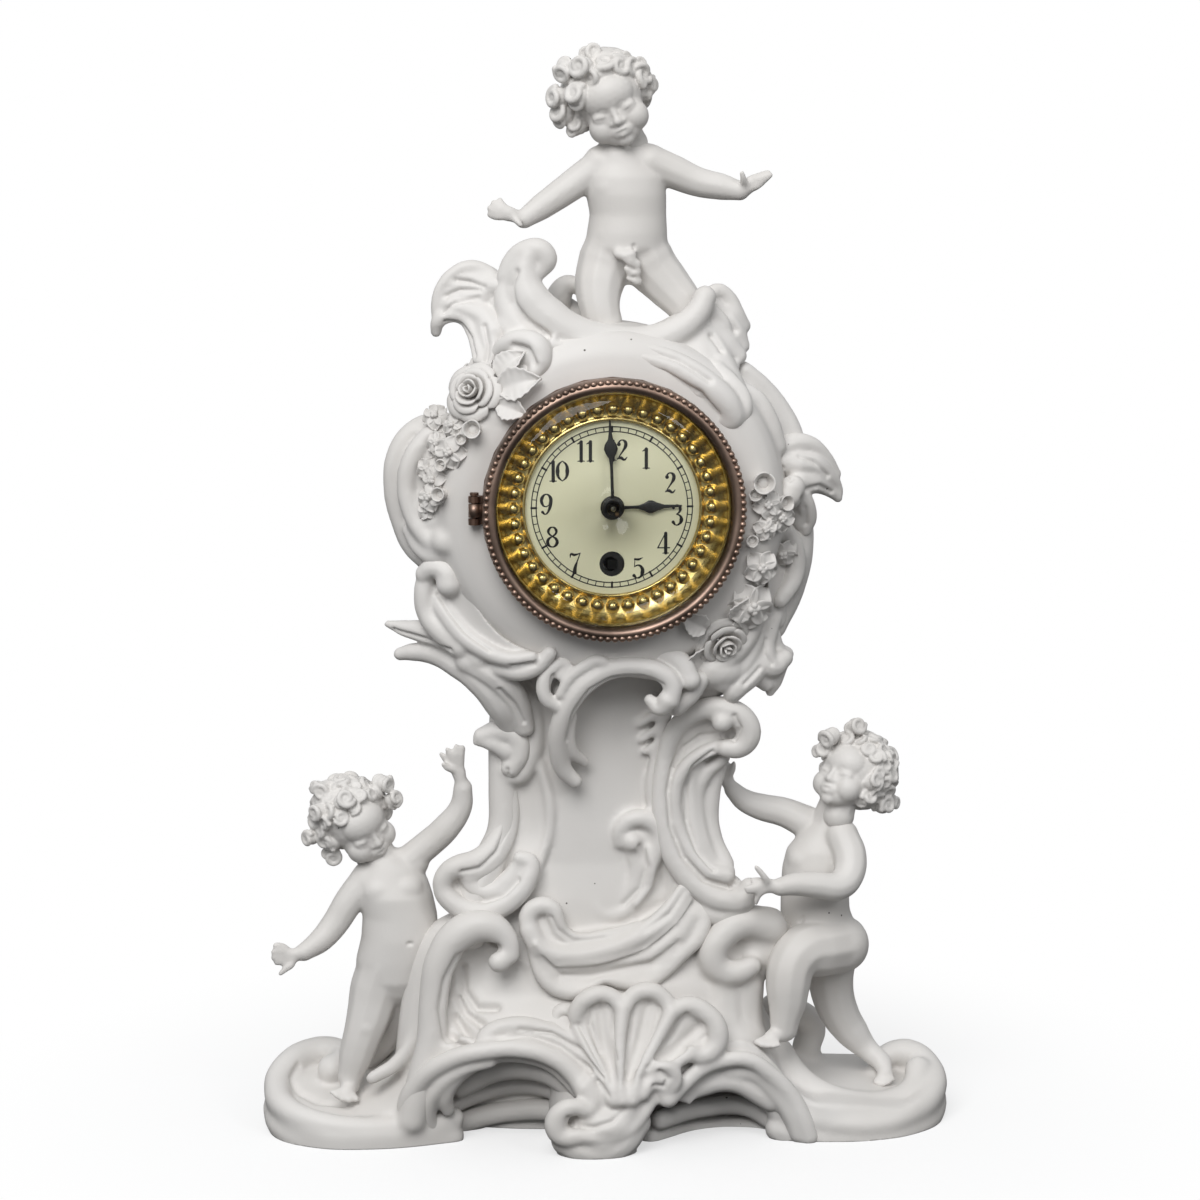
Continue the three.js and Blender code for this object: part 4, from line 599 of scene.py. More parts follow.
# Side mouldings: a flat band down the left edge and a thin ridge inside it
coil(clay, [
    (-33.9, -8, 143.2, 5), (-34.6, -8, 130.1, 5), (-34.7, -8, 113.6, 5), (-35.2, -9, 100.6, 5),
    (-39.2, -10, 90.3, 6), (-43.1, -11, 81.4, 7), (-45.9, -12, 68.4, 7)])
coil(clay, [
    (-23, -12, 122.8, 1.8), (-20.1, -12.5, 111, 1.8), (-20.2, -12.5, 100.5, 1.8), (-22.8, -13, 92, 1.8),
    (-25.2, -14, 85, 1.6)])
coil(clay, [
    (-32.4, -9, 151.2, 4), (-27, -10.5, 142.9, 4), (-25.1, -11, 133.1, 4), (-26.8, -11, 124, 4),
    (-30.7, -11, 118.8, 3.4), (-33.9, -11, 120.8, 2.8)])
coil(clay, [
    (14.2, -12, 143.2, 2), (16.5, -12, 133.3, 2), (14.5, -12, 124.8, 2), (13.3, -12, 113.6, 2.2),
    (15.3, -12, 99.6, 2.2)])
coil(clay, [(9.3, -12, 135.4, 1.5), (14.1, -12.5, 138, 1.7), (18.4, -12, 137.8, 1.7)])
coil(clay, [(10, -12, 130.1, 1.3), (14.5, -12.5, 133.4, 1.6), (19.1, -12, 133.9, 1.6)])
coil(clay, [(11, -12, 126.1, 1.2), (15.1, -12.5, 129.1, 1.4), (18.4, -12, 130, 1.4)])
# S scroll
coil(clay, [
    (2.8, -13, 96.8, 2.4), (3.1, -13.5, 101.2, 2.8), (7.2, -14, 104.6, 3.1), (12.4, -14, 103.8, 3.3),
    (15.4, -14, 99.4, 3.2), (14.4, -14, 94.2, 3.2), (12.5, -14, 88.9, 3), (10.5, -14, 83, 2.8),
    (7.3, -14, 77, 3), (2.1, -14, 73.2, 3), (-3.1, -14, 73.3, 2.6), (-5.1, -14, 76, 2.2)])
pellet(clay, (6.6, -14.5, 97.1), 3.4)
pellet(clay, (10.2, -11, 96.2), (7, 4, 8))
coil(clay, [(7.4, -12.5, 93.3, 3), (8.4, -12.5, 87.3, 3.4), (6.1, -12.5, 80.7, 3.4), (1.6, -12.5, 76.1, 3)])
coil(clay, [
    (16.5, -12.5, 99.1, 2.4), (19.5, -12.5, 91, 3), (20.2, -12.5, 82.4, 3), (16.5, -13, 74.6, 2.6),
    (10.6, -14, 72.3, 2.2)])
# Lower shell: a curl on the left, a deep lip and a wavy edge over the base
coil(clay, [
    (-26.6, -20, 69.3, 3), (-27.5, -19, 74.4, 3.2), (-24.2, -19, 77.6, 3.2), (-19.8, -19.5, 77, 3),
    (-18.2, -20, 73.1, 2.8), (-16.3, -20, 69.1, 2.6), (-10.8, -20, 66.3, 2.6), (-2.4, -20, 67.5, 2.4),
    (8.8, -19, 70.3, 2)])
coil(clay, [
    (-27.2, -20, 70, 3.4), (-23.5, -21, 64.2, 3.6), (-14.2, -22, 61.6, 3.6), (-3.2, -22, 63, 3.6),
    (8.6, -21, 67.5, 3.6), (17.8, -19, 74.1, 3.6), (23.2, -17, 81.4, 3.4)])
coil(clay, [
    (-25.7, -20, 62.7, 2.4), (-22.3, -22, 53.9, 2.6), (-15.6, -23, 50, 2.8), (-8.5, -23.5, 51.3, 2.6),
    (-3.9, -23, 54.4, 2.4), (1.9, -23, 52.9, 2.6), (9.7, -23, 52, 2.6), (16.3, -22, 55.6, 2.4),
    (22.2, -21, 61.2, 2.6), (28.2, -20, 66.8, 2.6), (29.7, -18, 72.9, 2.6), (26.6, -16, 78.4, 2.4)])
coil(clay, [
    (-23.6, -19, 63.1, 4), (-17.3, -20, 56.5, 4.5), (-4.3, -20, 57.5, 4.5), (8.7, -20, 59.2, 4.5),
    (19.2, -19, 65.4, 4.5), (25.2, -17, 72.7, 4)])
pellet(clay, (-0.5, -14, 61.2), (24, 8, 9))
# Body of the lower right, behind the large scroll
coil(clay, [(26.2, -8, 89.2, 7), (30.8, -8, 78.4, 8), (34.8, -8, 65.5, 8), (36.1, -9, 55.7, 7)])
web(clay, [
    (-27.4, -22, 69.9), (-23.6, -23, 64.1), (-14.3, -24, 61.5), (-3.4, -24, 62.9), (8.4, -23, 67.3),
    (17.6, -21, 73.9), (23, -19, 81.3)
], [
    (-25.1, -22, 61.9), (-21.8, -24, 54.4), (-15.1, -25, 51.2), (-4.1, -25, 54.9), (9.5, -25, 53.3),
    (22, -23, 61.7), (28.8, -20, 73.4)
], 8, 1.2)
web(clay, [
    (-23.6, -19, 77), (-18.5, -20, 74.5), (-15.4, -21, 69.4), (-7.6, -21, 67.2), (2.2, -20, 68.7),
    (12.1, -18, 72.6)
], [
    (-26.4, -22, 70.5), (-22.3, -23, 64.7), (-13.7, -24, 62.5), (-3.4, -24, 63.9), (8.4, -23, 68),
    (19, -20, 76.3)
], 6, 1.5)
web(clay, [
    (9.2, -14, 96.9), (13.1, -14, 100.8), (13.7, -14.5, 94.3), (11.8, -14.5, 88.4), (9.2, -14.5, 82.4),
    (5.9, -14.5, 77.2), (0.1, -14.5, 74)
], [
    (11.9, -13, 95.3), (17.1, -13, 97.8), (19.4, -13, 90.5), (19.8, -13, 82.5), (16.5, -13.5, 75.4),
    (11.2, -14.5, 72.4), (2.7, -14.5, 71.9)
], 5, 0.8)
web(clay, [
    (-34, -9, 143.4, 5), (-34.7, -9, 130.3, 5), (-34.8, -9, 113.8, 5), (-35.2, -10, 100.9, 5),
    (-39.3, -12, 90.8), (-45.2, -13, 78.6)
], [
    (-22.9, -12, 143.8), (-23.1, -13, 123), (-20.2, -13, 111.1), (-20.2, -13, 100.6), (-22.9, -14, 92.3),
    (-25.3, -15, 82)
], 5, 0.8)
waist = fuse("waist_body", clay, grain=0.6, soften=26)
score(waist, [
    [(8.6, 97), (10.6, 90.4), (8.6, 83.1), (3.5, 77.9)],
    [(-20.1, 73.8), (-18.2, 69.8), (-12.7, 66, 0.8), (-3, 66.8, 0.5)],
], width=0.9, depth=0.9)
score(waist, [
    [(-22.1, 60.6, 0.6), (-17.3, 54.5), (-7.5, 54.3), (2.2, 56.1), (12.6, 57.8), (21, 64.3, 0.7)],
    [(8.7, 73.2, 0.4), (16.4, 78.3), (20.3, 84.2, 0.5)],
    [(10, 69.2, 0.4), (18.4, 74.3), (22.9, 81.5, 0.5)],
], width=1.5, depth=1.4)
score(waist, [
    [(-25, 65.3), (-18.6, 58.5), (-4.3, 58.9), (10, 63.2), (20.3, 71.6), (24.9, 78.8)],
    [(11.2, 96.3), (13.2, 90.3), (11.9, 83.7), (7.4, 77.9)],
], width=1.1, depth=-0.8)
fire(waist, "waist")

# Waist scrolls: two open C scrolls of porcelain, the right one the taller. Each is pressed on its own
# and luted to the neck along its inner edge.
clay = bmesh.new()
coil(clay, [
    (-41.6, -12, 132.3, 3), (-35.9, -13, 134.1, 3.8), (-30.8, -13, 131.7, 4), (-29.8, -13, 126.4, 3.8),
    (-32.4, -13, 121.9, 3.4)])
coil(clay, [(-43.6, -12, 130.4, 1.4), (-39.1, -13, 130.5, 3), (-34, -13, 127.8, 3.4)])
coil(clay, [
    (-35.7, -9, 123.7, 2.6), (-34.2, -9.5, 113.9, 3.2), (-34.6, -10, 103.5, 3.6), (-37.9, -12, 96.1, 4),
    (-43.9, -14, 91.4, 4.2), (-49.7, -15, 90.4, 3.8), (-53.6, -15, 87.9, 3.4), (-54.9, -15, 83.3, 3.2),
    (-51.8, -16, 78.8, 3.6), (-45.4, -17, 76, 4), (-37.7, -17.5, 76.9, 4), (-31.2, -17.5, 81.1, 3.8),
    (-27.3, -17, 86.5, 3.4), (-26.6, -16, 91.5, 3), (-29.8, -16, 92.9, 2.4)])
coil(clay, [
    (-32.5, -9, 117.1, 2.4), (-32, -10, 104.1, 2.6), (-35, -12, 95.4, 2.8), (-40.7, -14, 89.3, 3),
    (-46.5, -15, 87.1, 2.8)])
coil(clay, [
    (-46.5, -14, 88.1, 3), (-44.6, -14.5, 82.9, 3.4), (-39.5, -15, 81.6, 3.6), (-33.6, -15, 85.5, 3.4),
    (-30.4, -15, 90, 2.8)])
web(clay, [
    (-35.7, -9, 123.1), (-34.2, -9.5, 113.9), (-34.6, -10, 103.5), (-37.9, -12, 96.1), (-45.8, -14, 90.8)
], [
    (-31.8, -9, 123), (-30.6, -9.5, 113.9), (-31, -10, 103.4), (-34.1, -12, 94.7), (-41.3, -14, 88)
], 5, 0.5)
web(clay, [
    (-49.7, -15, 89.8), (-54.3, -15, 83.3), (-45.4, -17, 76.6), (-31.9, -17.5, 81.1), (-27.2, -16, 90.2)
], [
    (-46.5, -14.5, 88.3), (-44.6, -15, 84.4), (-39.5, -15.5, 83.1), (-33.7, -15.5, 86.2), (-30.4, -15, 90.7)
], 5, 1)
left_scroll = fuse("waist_scroll_left", clay, grain=0.5, soften=28)
score(left_scroll, [
    [(-34.1, 122.7), (-33.5, 112.9), (-34.2, 103.8), (-37.4, 96), (-42.9, 90.8), (-48.7, 89.6)],
    [(-50, 85.7), (-46.8, 81.4), (-41.1, 79.9), (-35.3, 81.8), (-30.7, 86.6)],
], width=0.8, depth=1.0)
fire(left_scroll, "left_waist_scroll")

clay = bmesh.new()
coil(clay, [
    (17.3, -14, 124.8, 3), (19.4, -15, 132.2, 3.2), (23.8, -16, 137.9, 3.4), (30.8, -17, 141.2, 3.8),
    (37.1, -18, 140.6, 4.2), (42.6, -18, 136.6, 4.4), (43.6, -18, 131.7, 4.2), (40.4, -18, 128.2, 3.6),
    (36.5, -18, 128.2, 3)])
coil(clay, [
    (17.3, -14, 124.8, 3), (16, -14, 114, 3.2), (17.2, -15, 100.3, 3.4), (21.4, -16, 89.2, 3.8),
    (29.1, -17, 81.3, 4.2), (36.2, -18, 78.1, 4.4), (42.7, -18, 78.6, 4.4), (44.6, -18, 81.9, 3.6)])
coil(clay, [
    (34.5, -16, 128.5, 2.4), (27.7, -16, 125.3, 2.4), (22.6, -15.5, 120.1, 2.4), (20.4, -15, 113.4, 2.4),
    (21.1, -15, 102.9, 2.6), (24.6, -16, 94.4, 2.8), (30.4, -17, 87.9, 3), (36.9, -17, 85.8, 3)])
coil(clay, [
    (36.5, -13, 123.9, 2.2), (30.5, -12, 118.2, 2.4), (27.7, -11, 109.1, 2.6), (28.4, -11, 98.5, 2.6),
    (32.1, -13, 90.9, 2.6), (37.8, -15, 86.6, 2.6)])
coil(clay, [(35.1, -9, 120.5, 3), (32, -8, 109.1, 4), (32.6, -9, 97.3, 4), (36.9, -12, 88.6, 3.4)])
coil(clay, [(25.8, -10, 122.8, 5), (25.3, -9, 109.4, 6), (27.8, -11, 94.8, 6), (34.1, -13, 83.5, 5)])
coil(clay, [(29.9, -16, 73.7, 4), (37, -17, 73.1, 4), (42.1, -17.5, 75.8, 3.4)])
pellet(clay, (34.9, -20, 137.1), 3.4)
outer = [
    (39.6, -17, 129.3), (41, -18, 136), (32.1, -17, 139.9), (23.7, -16.5, 136.7), (18.8, -15, 127.3),
    (16.9, -15, 114.2), (18.1, -16, 100.5), (22.6, -17, 90.1), (30.3, -18, 82.2), (41.4, -18, 79.3)]
inner = [
    (36.3, -15, 128.3), (34.6, -15, 128.3), (29.1, -15, 125.4), (25.3, -15, 121.6), (22.7, -15, 116.7),
    (21.7, -15, 110.1), (23.4, -15, 100.2), (27.2, -16, 93), (33, -17, 86.5), (42, -18, 81.9)]
web(clay, outer, inner, 6, 1.8)
web(clay, inner, [
    (37.3, -12, 125.7), (36.6, -12, 124.4), (32.9, -11, 120.9), (30.4, -10, 116.8), (28.6, -9, 112),
    (28.3, -9, 106.7), (29.2, -10, 98.9), (32.3, -12, 91.3), (37.3, -14, 87), (42.8, -17, 83)], 6, 1.8)
right_scroll = fuse("waist_scroll_right", clay, grain=0.5, soften=28)
score(right_scroll, [
    [(34.3, 133.2), (27.9, 132.7), (22.7, 128.9), (18.9, 122.4), (17.6, 114.6), (18.6, 103.4), (22.5, 93.4),
     (29.4, 85.3), (37.9, 82.5)],
    [(31.8, 127.4), (26, 122.9), (23.4, 115.8), (23.8, 104.6), (27.1, 95.3), (32.6, 88.6)],
    [(39.1, 139), (40.8, 135.1), (38.9, 131.2)],
], width=0.8, depth=1.0)
fire(right_scroll, "right_waist_scroll")

# Case: a drum of porcelain with a wide bore in front for the timepiece and an opening behind.
# Both sides carry rolled rims; the wall was cast about 5 mm thick.
dial_x, dial_z = -1.2, 208


def turned(clay, profile, x=0, z=0, steps=96):
    """A closed outline of radius and depth, turned about a level axis that runs front to back."""
    body = bmesh.new()
    corners = [body.verts.new((x + radius, y, z)) for radius, y in profile]
    edges = [body.edges.new(pair) for pair in zip(corners, corners[1:] + corners[:1])]
    bmesh.ops.spin(body, geom=[*corners, *edges], cent=(x, 0, z), axis=(0, 1, 0), angle=math.tau, steps=steps,
                   use_merge=True)
    bmesh.ops.recalc_face_normals(body, faces=body.faces)
    bmesh.ops.scale(body, vec=(MM, MM, MM), verts=body.verts)
    join(clay, body)


clay = bmesh.new()
turned(clay, [
    (37.9, -30), (44, -30), (48.5, -29.4), (52, -27.6), (54.6, -24.4), (56.2, -19), (57, -10), (56.8, 2),
    (55, 13), (52, 18.6), (48, 21.6), (40.9, 21.8), (40.9, 17), (46, 16), (51.4, 8), (52, -10),
    (50.6, -18), (46, -24.6), (37.9, -25)], dial_x, dial_z)
# Left rims: two ridges with a valley between them, each ending in a ball
coil(clay, [
    (-54.2, -8, 234.5, 3), (-62.5, -8, 230.8, 3.4), (-67.6, -8, 223.8, 3.6), (-69, -8, 212.6, 3.6),
    (-66.8, -8, 202, 3.6), (-62.8, -8, 193, 3.6), (-57.8, -10, 188.7, 3.4)])
coil(clay, [
    (-52.6, -14, 233.2, 3), (-58.9, -15, 229, 3.2), (-64.1, -16, 221.5, 3.2), (-65.4, -16, 213.3, 3.2),
    (-63.6, -17, 205.1, 3.2), (-60, -19, 199, 3.2), (-55, -21, 194.7, 3.6)])
coil(clay, [
    (-54.8, -6, 227.3, 6), (-61.2, -6, 217.8, 6.5), (-62.6, -6, 206.5, 6.5), (-59.5, -6, 195.2, 6.5),
    (-52.6, -6, 184.8, 6)])
coil(clay, [
    (-59.5, -12, 218.5, 4.5), (-60.9, -12, 208.9, 4.8), (-57.8, -13, 200, 4.8), (-53.5, -15, 193.9, 4.4)])
pellet(clay, (-53.3, -21, 209), 4.7)
pellet(clay, (-53.2, -23, 197.2), 4.9)
coil(clay, [(-61.7, -17, 209.5, 2.4), (-58.7, -19, 203.4, 2.8), (-55, -21, 203, 3)])
coil(clay, [
    (-64.8, -14, 199.6, 2.2), (-61.2, -17, 194.2, 2.8), (-56.9, -20, 192.1, 3.2), (-52.6, -22, 193.6, 3.4)])
# Right rims
coil(clay, [
    (42.6, -10, 249.2, 3), (47.9, -9, 244.6, 3.2), (54.5, -8, 236.7, 3.4), (59.1, -8, 227.7, 3.4),
    (60.8, -6, 216.5, 3.2)])
coil(clay, [(39.8, -17, 244.8, 2.6), (45.6, -17, 240.9, 3), (50.1, -17, 233.9, 3), (52.9, -16, 225.4, 3)])
coil(clay, [
    (40.2, -6, 245.6, 6), (50, -6, 235.9, 6.5), (54.9, -6, 223, 6.5), (58.5, -5, 206.7, 6.5),
    (60.5, -5, 192, 6), (57.4, -5, 177.3, 6), (52.8, -6, 166.1, 5)])
coil(clay, [(55.7, -16, 198.4, 3), (59.4, -13, 190.9, 3.2), (59, -12, 182.3, 3.2), (54.2, -14, 175.5, 3)])
left_ridge = [
    (-54.2, -9, 234.6), (-62.5, -9, 230.9), (-67.6, -9, 223.9), (-69, -9, 212.8), (-66.9, -9, 202.2),
    (-62.8, -9, 193.1), (-57.8, -11, 188.8)]
left_valley = [
    (-52.6, -15, 233.3), (-59, -16, 229.1), (-64.1, -17, 221.6), (-65.4, -17, 213.4), (-63.7, -18, 205.2),
    (-60, -20, 199.1), (-55.1, -22, 194.9)]
web(clay, left_ridge, left_valley, 6, 1.2)
web(clay, left_valley, [
    (-43.5, -22, 240.3), (-49.1, -22, 233.7), (-53, -22, 225.3), (-54.6, -22, 214.2), (-53.8, -23, 205.5),
    (-51.4, -24, 197.7), (-47, -25, 190.8)], 6, 1.5)
web(clay, [
    (42.6, -10, 249.2), (47.8, -10, 244.7), (54.4, -9, 236.8), (59, -9, 227.8), (60.5, -8, 216.7),
    (60.4, -8, 197.3), (58.3, -8, 181)
], [
    (35.4, -22, 244.7), (40.5, -22, 240.2), (46.3, -22, 231.9), (49.8, -22, 222.3), (51.5, -22, 212.1),
    (51, -22, 196.1), (47.3, -22, 181.7)
], 6, 1.5)
case = fuse("case_body", clay, grain=0.8, soften=16)
fire(case, "clock_case")

# Cartouche: a C scroll of porcelain below the bezel with a curl at each end, rolled from one coil and
# luted over the joint of the case and the waist.
clay = bmesh.new()
coil(clay, [
    (17.1, -30, 146.5, 3.2), (17.7, -30, 151.3, 3.2), (13.9, -30, 155.5, 3.2), (7.6, -29.5, 157.2, 3.2),
    (-0.3, -29, 156.9, 3.4), (-7.6, -28.5, 153.7, 3.6), (-13.5, -27, 147.4, 3.6), (-17.2, -25, 139, 3.4),
    (-17.9, -22, 130, 3.2), (-15.8, -19, 122.2, 3), (-12.2, -18, 118.3, 2.4)])
coil(clay, [(16.4, -30, 146.5, 3.4), (14, -29, 143.8, 2.8), (10.9, -28, 146.2, 2)])
coil(clay, [
    (-13.6, -24, 140.7, 1.8), (-14.4, -22.5, 134.6, 2.2), (-13, -20, 128.2, 2.2), (-9.2, -17, 124.3, 1.8)])
coil(clay, [
    (-18.9, -27, 144.6, 2.2), (-22.1, -27.5, 147.3, 2.4), (-22.7, -27.5, 152.5, 2.6),
    (-20.2, -27.5, 156.9, 2.6), (-15.7, -27.5, 158.1, 2), (-17.7, -28, 154.4, 1.6)])
coil(clay, [
    (-17.4, -28, 148.6, 1.8), (-14.6, -29, 153.9, 2), (-10.2, -29.5, 157.4, 2.2), (-5.2, -30, 159.4, 2.2),
    (-2.6, -30, 157.4, 1.8)])
coil(clay, [(-15.7, -22, 148.1, 4), (-7.7, -22, 154.5, 4.5), (1.9, -22, 156.9, 4.5), (13.1, -22, 155.4, 4)])
coil(clay, [(23.7, -28, 152.5, 3.4), (20.6, -27, 158.1, 3.6), (14.9, -26, 160.6, 3)])
coil(clay, [(19.7, -24, 143.4, 3.4), (24.1, -24, 147.2, 3.4), (27.3, -24, 151.7, 3)])
scroll = fuse("case_scroll_body", clay, grain=0.45, soften=16)
score(scroll, [
    [(15.6, 149.8), (8.5, 152.5), (-0.5, 152), (-7.5, 148.3), (-12.6, 141.2), (-14.9, 132.1)],
    [(-20, 148.5), (-19.3, 153)],
], width=0.7, depth=0.8)
fire(scroll, "case_scroll")

# Case leaves: flared acanthus on the lower left and the lower right, and a shell-like ear on the right.
# They are modelled in porcelain and luted on, so that their tips stand free of the drum.
clay = bmesh.new()
coil(clay, [
    (-59.7, -18, 186.1, 3.2), (-57.2, -20, 188.2, 3.4), (-53.2, -22, 187.2, 4), (-52.3, -22.5, 183.4, 4.2)])
coil(clay, [
    (-59, -17, 185.9, 3.2), (-60, -17, 180.1, 3.4), (-59.1, -17, 173.7, 3.6), (-55.1, -19, 168.2, 4),
    (-48.3, -21, 163.3, 4.4)])
coil(clay, [
    (-56.2, -16, 179.9, 3.4), (-53.2, -20, 174.1, 3.6), (-49, -23, 168.1, 3.2), (-42.2, -26, 163.1, 3),
    (-34.2, -28.5, 160.2, 2.6), (-26.7, -30, 161, 2)])
coil(clay, [
    (-71.3, -7, 168.4, 1.3), (-66.2, -9, 167.3, 2.8), (-59.3, -12, 166.4, 4), (-51.3, -17, 164.6, 4.6),
    (-42.6, -22, 159.5, 4.6)])
coil(clay, [
    (-67.5, -7, 158.6, 2.2), (-63.7, -8.5, 159.4, 3), (-56.8, -12, 159.3, 3.6), (-49.4, -16, 156.6, 4.6),
    (-42.5, -19, 151.9, 5), (-36.8, -18, 143.8, 4.6), (-33.4, -14, 136.5, 3.6)])
coil(clay, [(-45.7, -20, 158.6, 5), (-37.9, -22, 153.6, 4.6), (-31, -18, 145, 4.4), (-28.3, -15, 135.9, 3.6)])
coil(clay, [
    (-36.5, -25, 156.7, 3), (-30.3, -27, 155.7, 3), (-24.7, -28.5, 157.8, 2.8), (-21, -29.5, 162.1, 2.4)])
pellet(clay, (-39.2, -17, 154.1), (9, 7, 7))
web(clay, [
    (-53.1, -19, 191.9), (-51, -20.5, 183.1), (-45.7, -22, 174.3), (-38.3, -24, 166.2),
    (-28.3, -26.5, 161.4)
], [
    (-58.1, -17, 184.6), (-57.6, -17.5, 176.3), (-53.3, -19.5, 168.9), (-46.4, -22, 162.8),
    (-35.9, -26, 158.2)
], 7, 1.2)
web(clay, [
    (-46.5, -26, 182.6), (-41.3, -27, 173.1), (-33.5, -28, 165.5), (-21.6, -29, 160.4)
], [
    (-55.1, -20, 181.8), (-50.2, -22, 170.5), (-42.2, -25, 161.9), (-30.3, -27.5, 157.1)
], 9, 0.3)
left_leaf = fuse("case_leaf_left_body", clay, grain=0.5, soften=16)
score(left_leaf, [
    [(-69.7, 168.6), (-61.5, 165.9, 1.2), (-52.1, 161.9)],
    [(-36.2, 148.7), (-31.5, 143.8), (-28.6, 138.2)],
    [(-55.7, 179.9), (-52, 174.1), (-46.9, 167.6), (-39.4, 161.7)],
    [(-32.4, 156.4), (-25.4, 157)],
], width=0.8, depth=0.9)
fire(left_leaf, "left_case_leaf")

clay = bmesh.new()
coil(clay, [
    (52.9, -12, 169.4, 2.4), (50.4, -14, 165.2, 3.4), (48.9, -16, 159.7, 3.8), (50.9, -16, 154.4, 4),
    (55.7, -14, 156.6, 3)])
coil(clay, [(54.2, -10, 167.7, 2.2), (56.2, -9, 170.8, 1.6)])
coil(clay, [(52.1, -11, 163.3, 3), (53.6, -10, 158.6, 3.4), (57, -9, 157, 2.6)])
coil(clay, [(49, -15, 157.9, 4), (44.1, -18, 152.3, 4.4), (39.1, -20, 147.5, 3.6), (37.7, -18, 143.9, 2.4)])
coil(clay, [(53.9, -13, 154.5, 3.4), (52.8, -12, 148.4, 2.6), (51.5, -12, 145.2, 1.6)])
coil(clay, [(46.4, -16, 151.2, 3), (49.9, -14, 148.2, 2.6)])
coil(clay, [(45, -16, 163, 5), (40.9, -18, 155.6, 5), (34.9, -20, 150.8, 4)])
web(clay, [
    (48.2, -19, 190.6), (49.6, -19, 180.2), (47, -20, 170.7), (41.6, -22, 162.7), (34.3, -24, 156.7)
], [
    (59.1, -11, 188), (58.5, -11, 177.6), (55.2, -12, 168.7), (51.1, -14, 160.6), (43.5, -18, 152.9)
], 8, 1.4)
coil(clay, [(47.8, -18, 176.2, 3), (44.4, -20, 167.5, 3.4), (38.4, -22, 159.6, 3.4), (31.3, -23, 154.7, 3)])
pellet(clay, (33.2, -18, 154.4), (10, 8, 7))
pellet(clay, (28.7, -12, 150.8), (12, 8, 8))
right_leaf = fuse("case_leaf_right_body", clay, grain=0.5, soften=14)
score(right_leaf, [
    [(49, 163.6), (48.3, 159.1), (50.9, 155.8)],
    [(47.1, 154.5), (42.3, 149.4)],
], width=0.8, depth=0.8)
fire(right_leaf, "right_case_leaf")

clay = bmesh.new()
coil(clay, [
    (51.5, -12, 219.9, 3.4), (53.5, -12, 223.1, 3.6), (58.1, -11, 225.5, 3.6), (63.4, -10, 225.3, 3),
    (68.9, -8, 221.2, 2.4), (73.2, -6, 215.1, 1.8)])
coil(clay, [
    (50.6, -14, 218.8, 3.6), (49.8, -16, 213.9, 3.8), (52.1, -18, 210.3, 4.2), (55.8, -19, 209.8, 4.6),
    (57.1, -19, 212.3, 4.2)])
coil(clay, [
    (55.3, -13, 219.9, 4), (59.3, -12, 219.1, 5), (64.8, -10, 218.2, 4.6), (69.6, -8, 214.7, 3.4),
    (73.5, -6, 210.5, 2), (73.9, -6, 207.3, 1.6)])
coil(clay, [(59.7, -14, 213.6, 4), (64.7, -11, 213.2, 4), (69.7, -8, 210.8, 2.6), (73.6, -6, 207.9, 1.8)])
coil(clay, [(58.9, -15, 211.1, 3.6), (61.8, -13, 206.4, 3.6), (63.5, -11, 201.6, 3), (63, -10, 197.5, 2)])
coil(clay, [(59.6, -11, 205.5, 3.4), (61, -10, 200.1, 3), (62.2, -9, 197.4, 2)])
ear = fuse("case_ear_body", clay, grain=0.5, soften=12)
score(ear, [
    [(53.6, 218.9), (56.2, 215), (57.5, 215.6, 0.6)],
    [(59.4, 222.6), (63.9, 220.7), (68.4, 216.2)],
    [(61.4, 211.7), (65.9, 213), (69.7, 211)],
    [(60.1, 209.2), (61.5, 205.3), (61.5, 200.8)],
], width=0.8, depth=0.9)
fire(ear, "ear_leaf")

# Crest: a thick scroll across the top of the case. Its left end is a tall volute, its middle the seat
# of the top figure, and it sweeps down on the right into a second volute beside the bezel.
clay = bmesh.new()
coil(clay, [
    (-34, -14, 279.7, 2.6), (-31.5, -14, 284.7, 3), (-27.1, -15, 287.9, 3.4), (-22.8, -16, 287.9, 3.8),
    (-20.9, -16, 284.8, 3.8), (-22.8, -16, 281.7, 3)])
coil(clay, [
    (-26.6, -16, 286.1, 3.4), (-27.9, -16, 279.8, 5), (-26.1, -17, 273, 6.4), (-20.5, -18, 266.8, 6.8),
    (-12.1, -19, 261.8, 6.2), (-1.1, -19, 259.5, 5.6), (10.9, -19, 259.4, 5.2), (20.5, -18, 262.7, 4.8),
    (27, -17, 268.3, 4.2), (29.3, -16, 272.9, 3.8)])
coil(clay, [
    (-33.3, -13, 277.8, 3.4), (-33.7, -14, 272.2, 4), (-31.1, -16, 266, 4.6), (-26.2, -18, 261.8, 4.6)])
coil(clay, [
    (-22.5, -10, 264.3, 6), (-11.4, -10, 258.5, 6.5), (1.3, -10, 256.5, 6.5), (14.1, -10, 257.7, 6.5),
    (25.2, -10, 263.3, 6)])
coil(clay, [
    (-18.3, -22, 258.9, 4), (-7.7, -23, 257, 4.6), (4.2, -24, 255.8, 5), (14.7, -25.5, 253.3, 5.2),
    (24, -27, 248.7, 5.4), (31.5, -28, 243.4, 5), (35.9, -28, 238.3, 4.4), (36.6, -27.5, 235.1, 3.8),
    (33.5, -27, 235.7, 3.6)])
coil(clay, [
    (38.1, -26, 233.7, 3), (40.6, -26, 237.4, 2.8), (40.7, -25, 241.7, 2.6), (37.6, -24, 246.1, 2.6),
    (32.2, -22, 251, 2.6)])
coil(clay, [
    (28.1, -13, 262.3, 4.6), (31.7, -15, 256.1, 5), (34.7, -17, 249.9, 5), (38.3, -19, 243.1, 4.6),
    (40.7, -20, 238.1, 4)])
coil(clay, [(8.7, -16, 255.7, 6), (21.4, -16, 253.7, 6.5), (31.5, -17, 248, 6)])
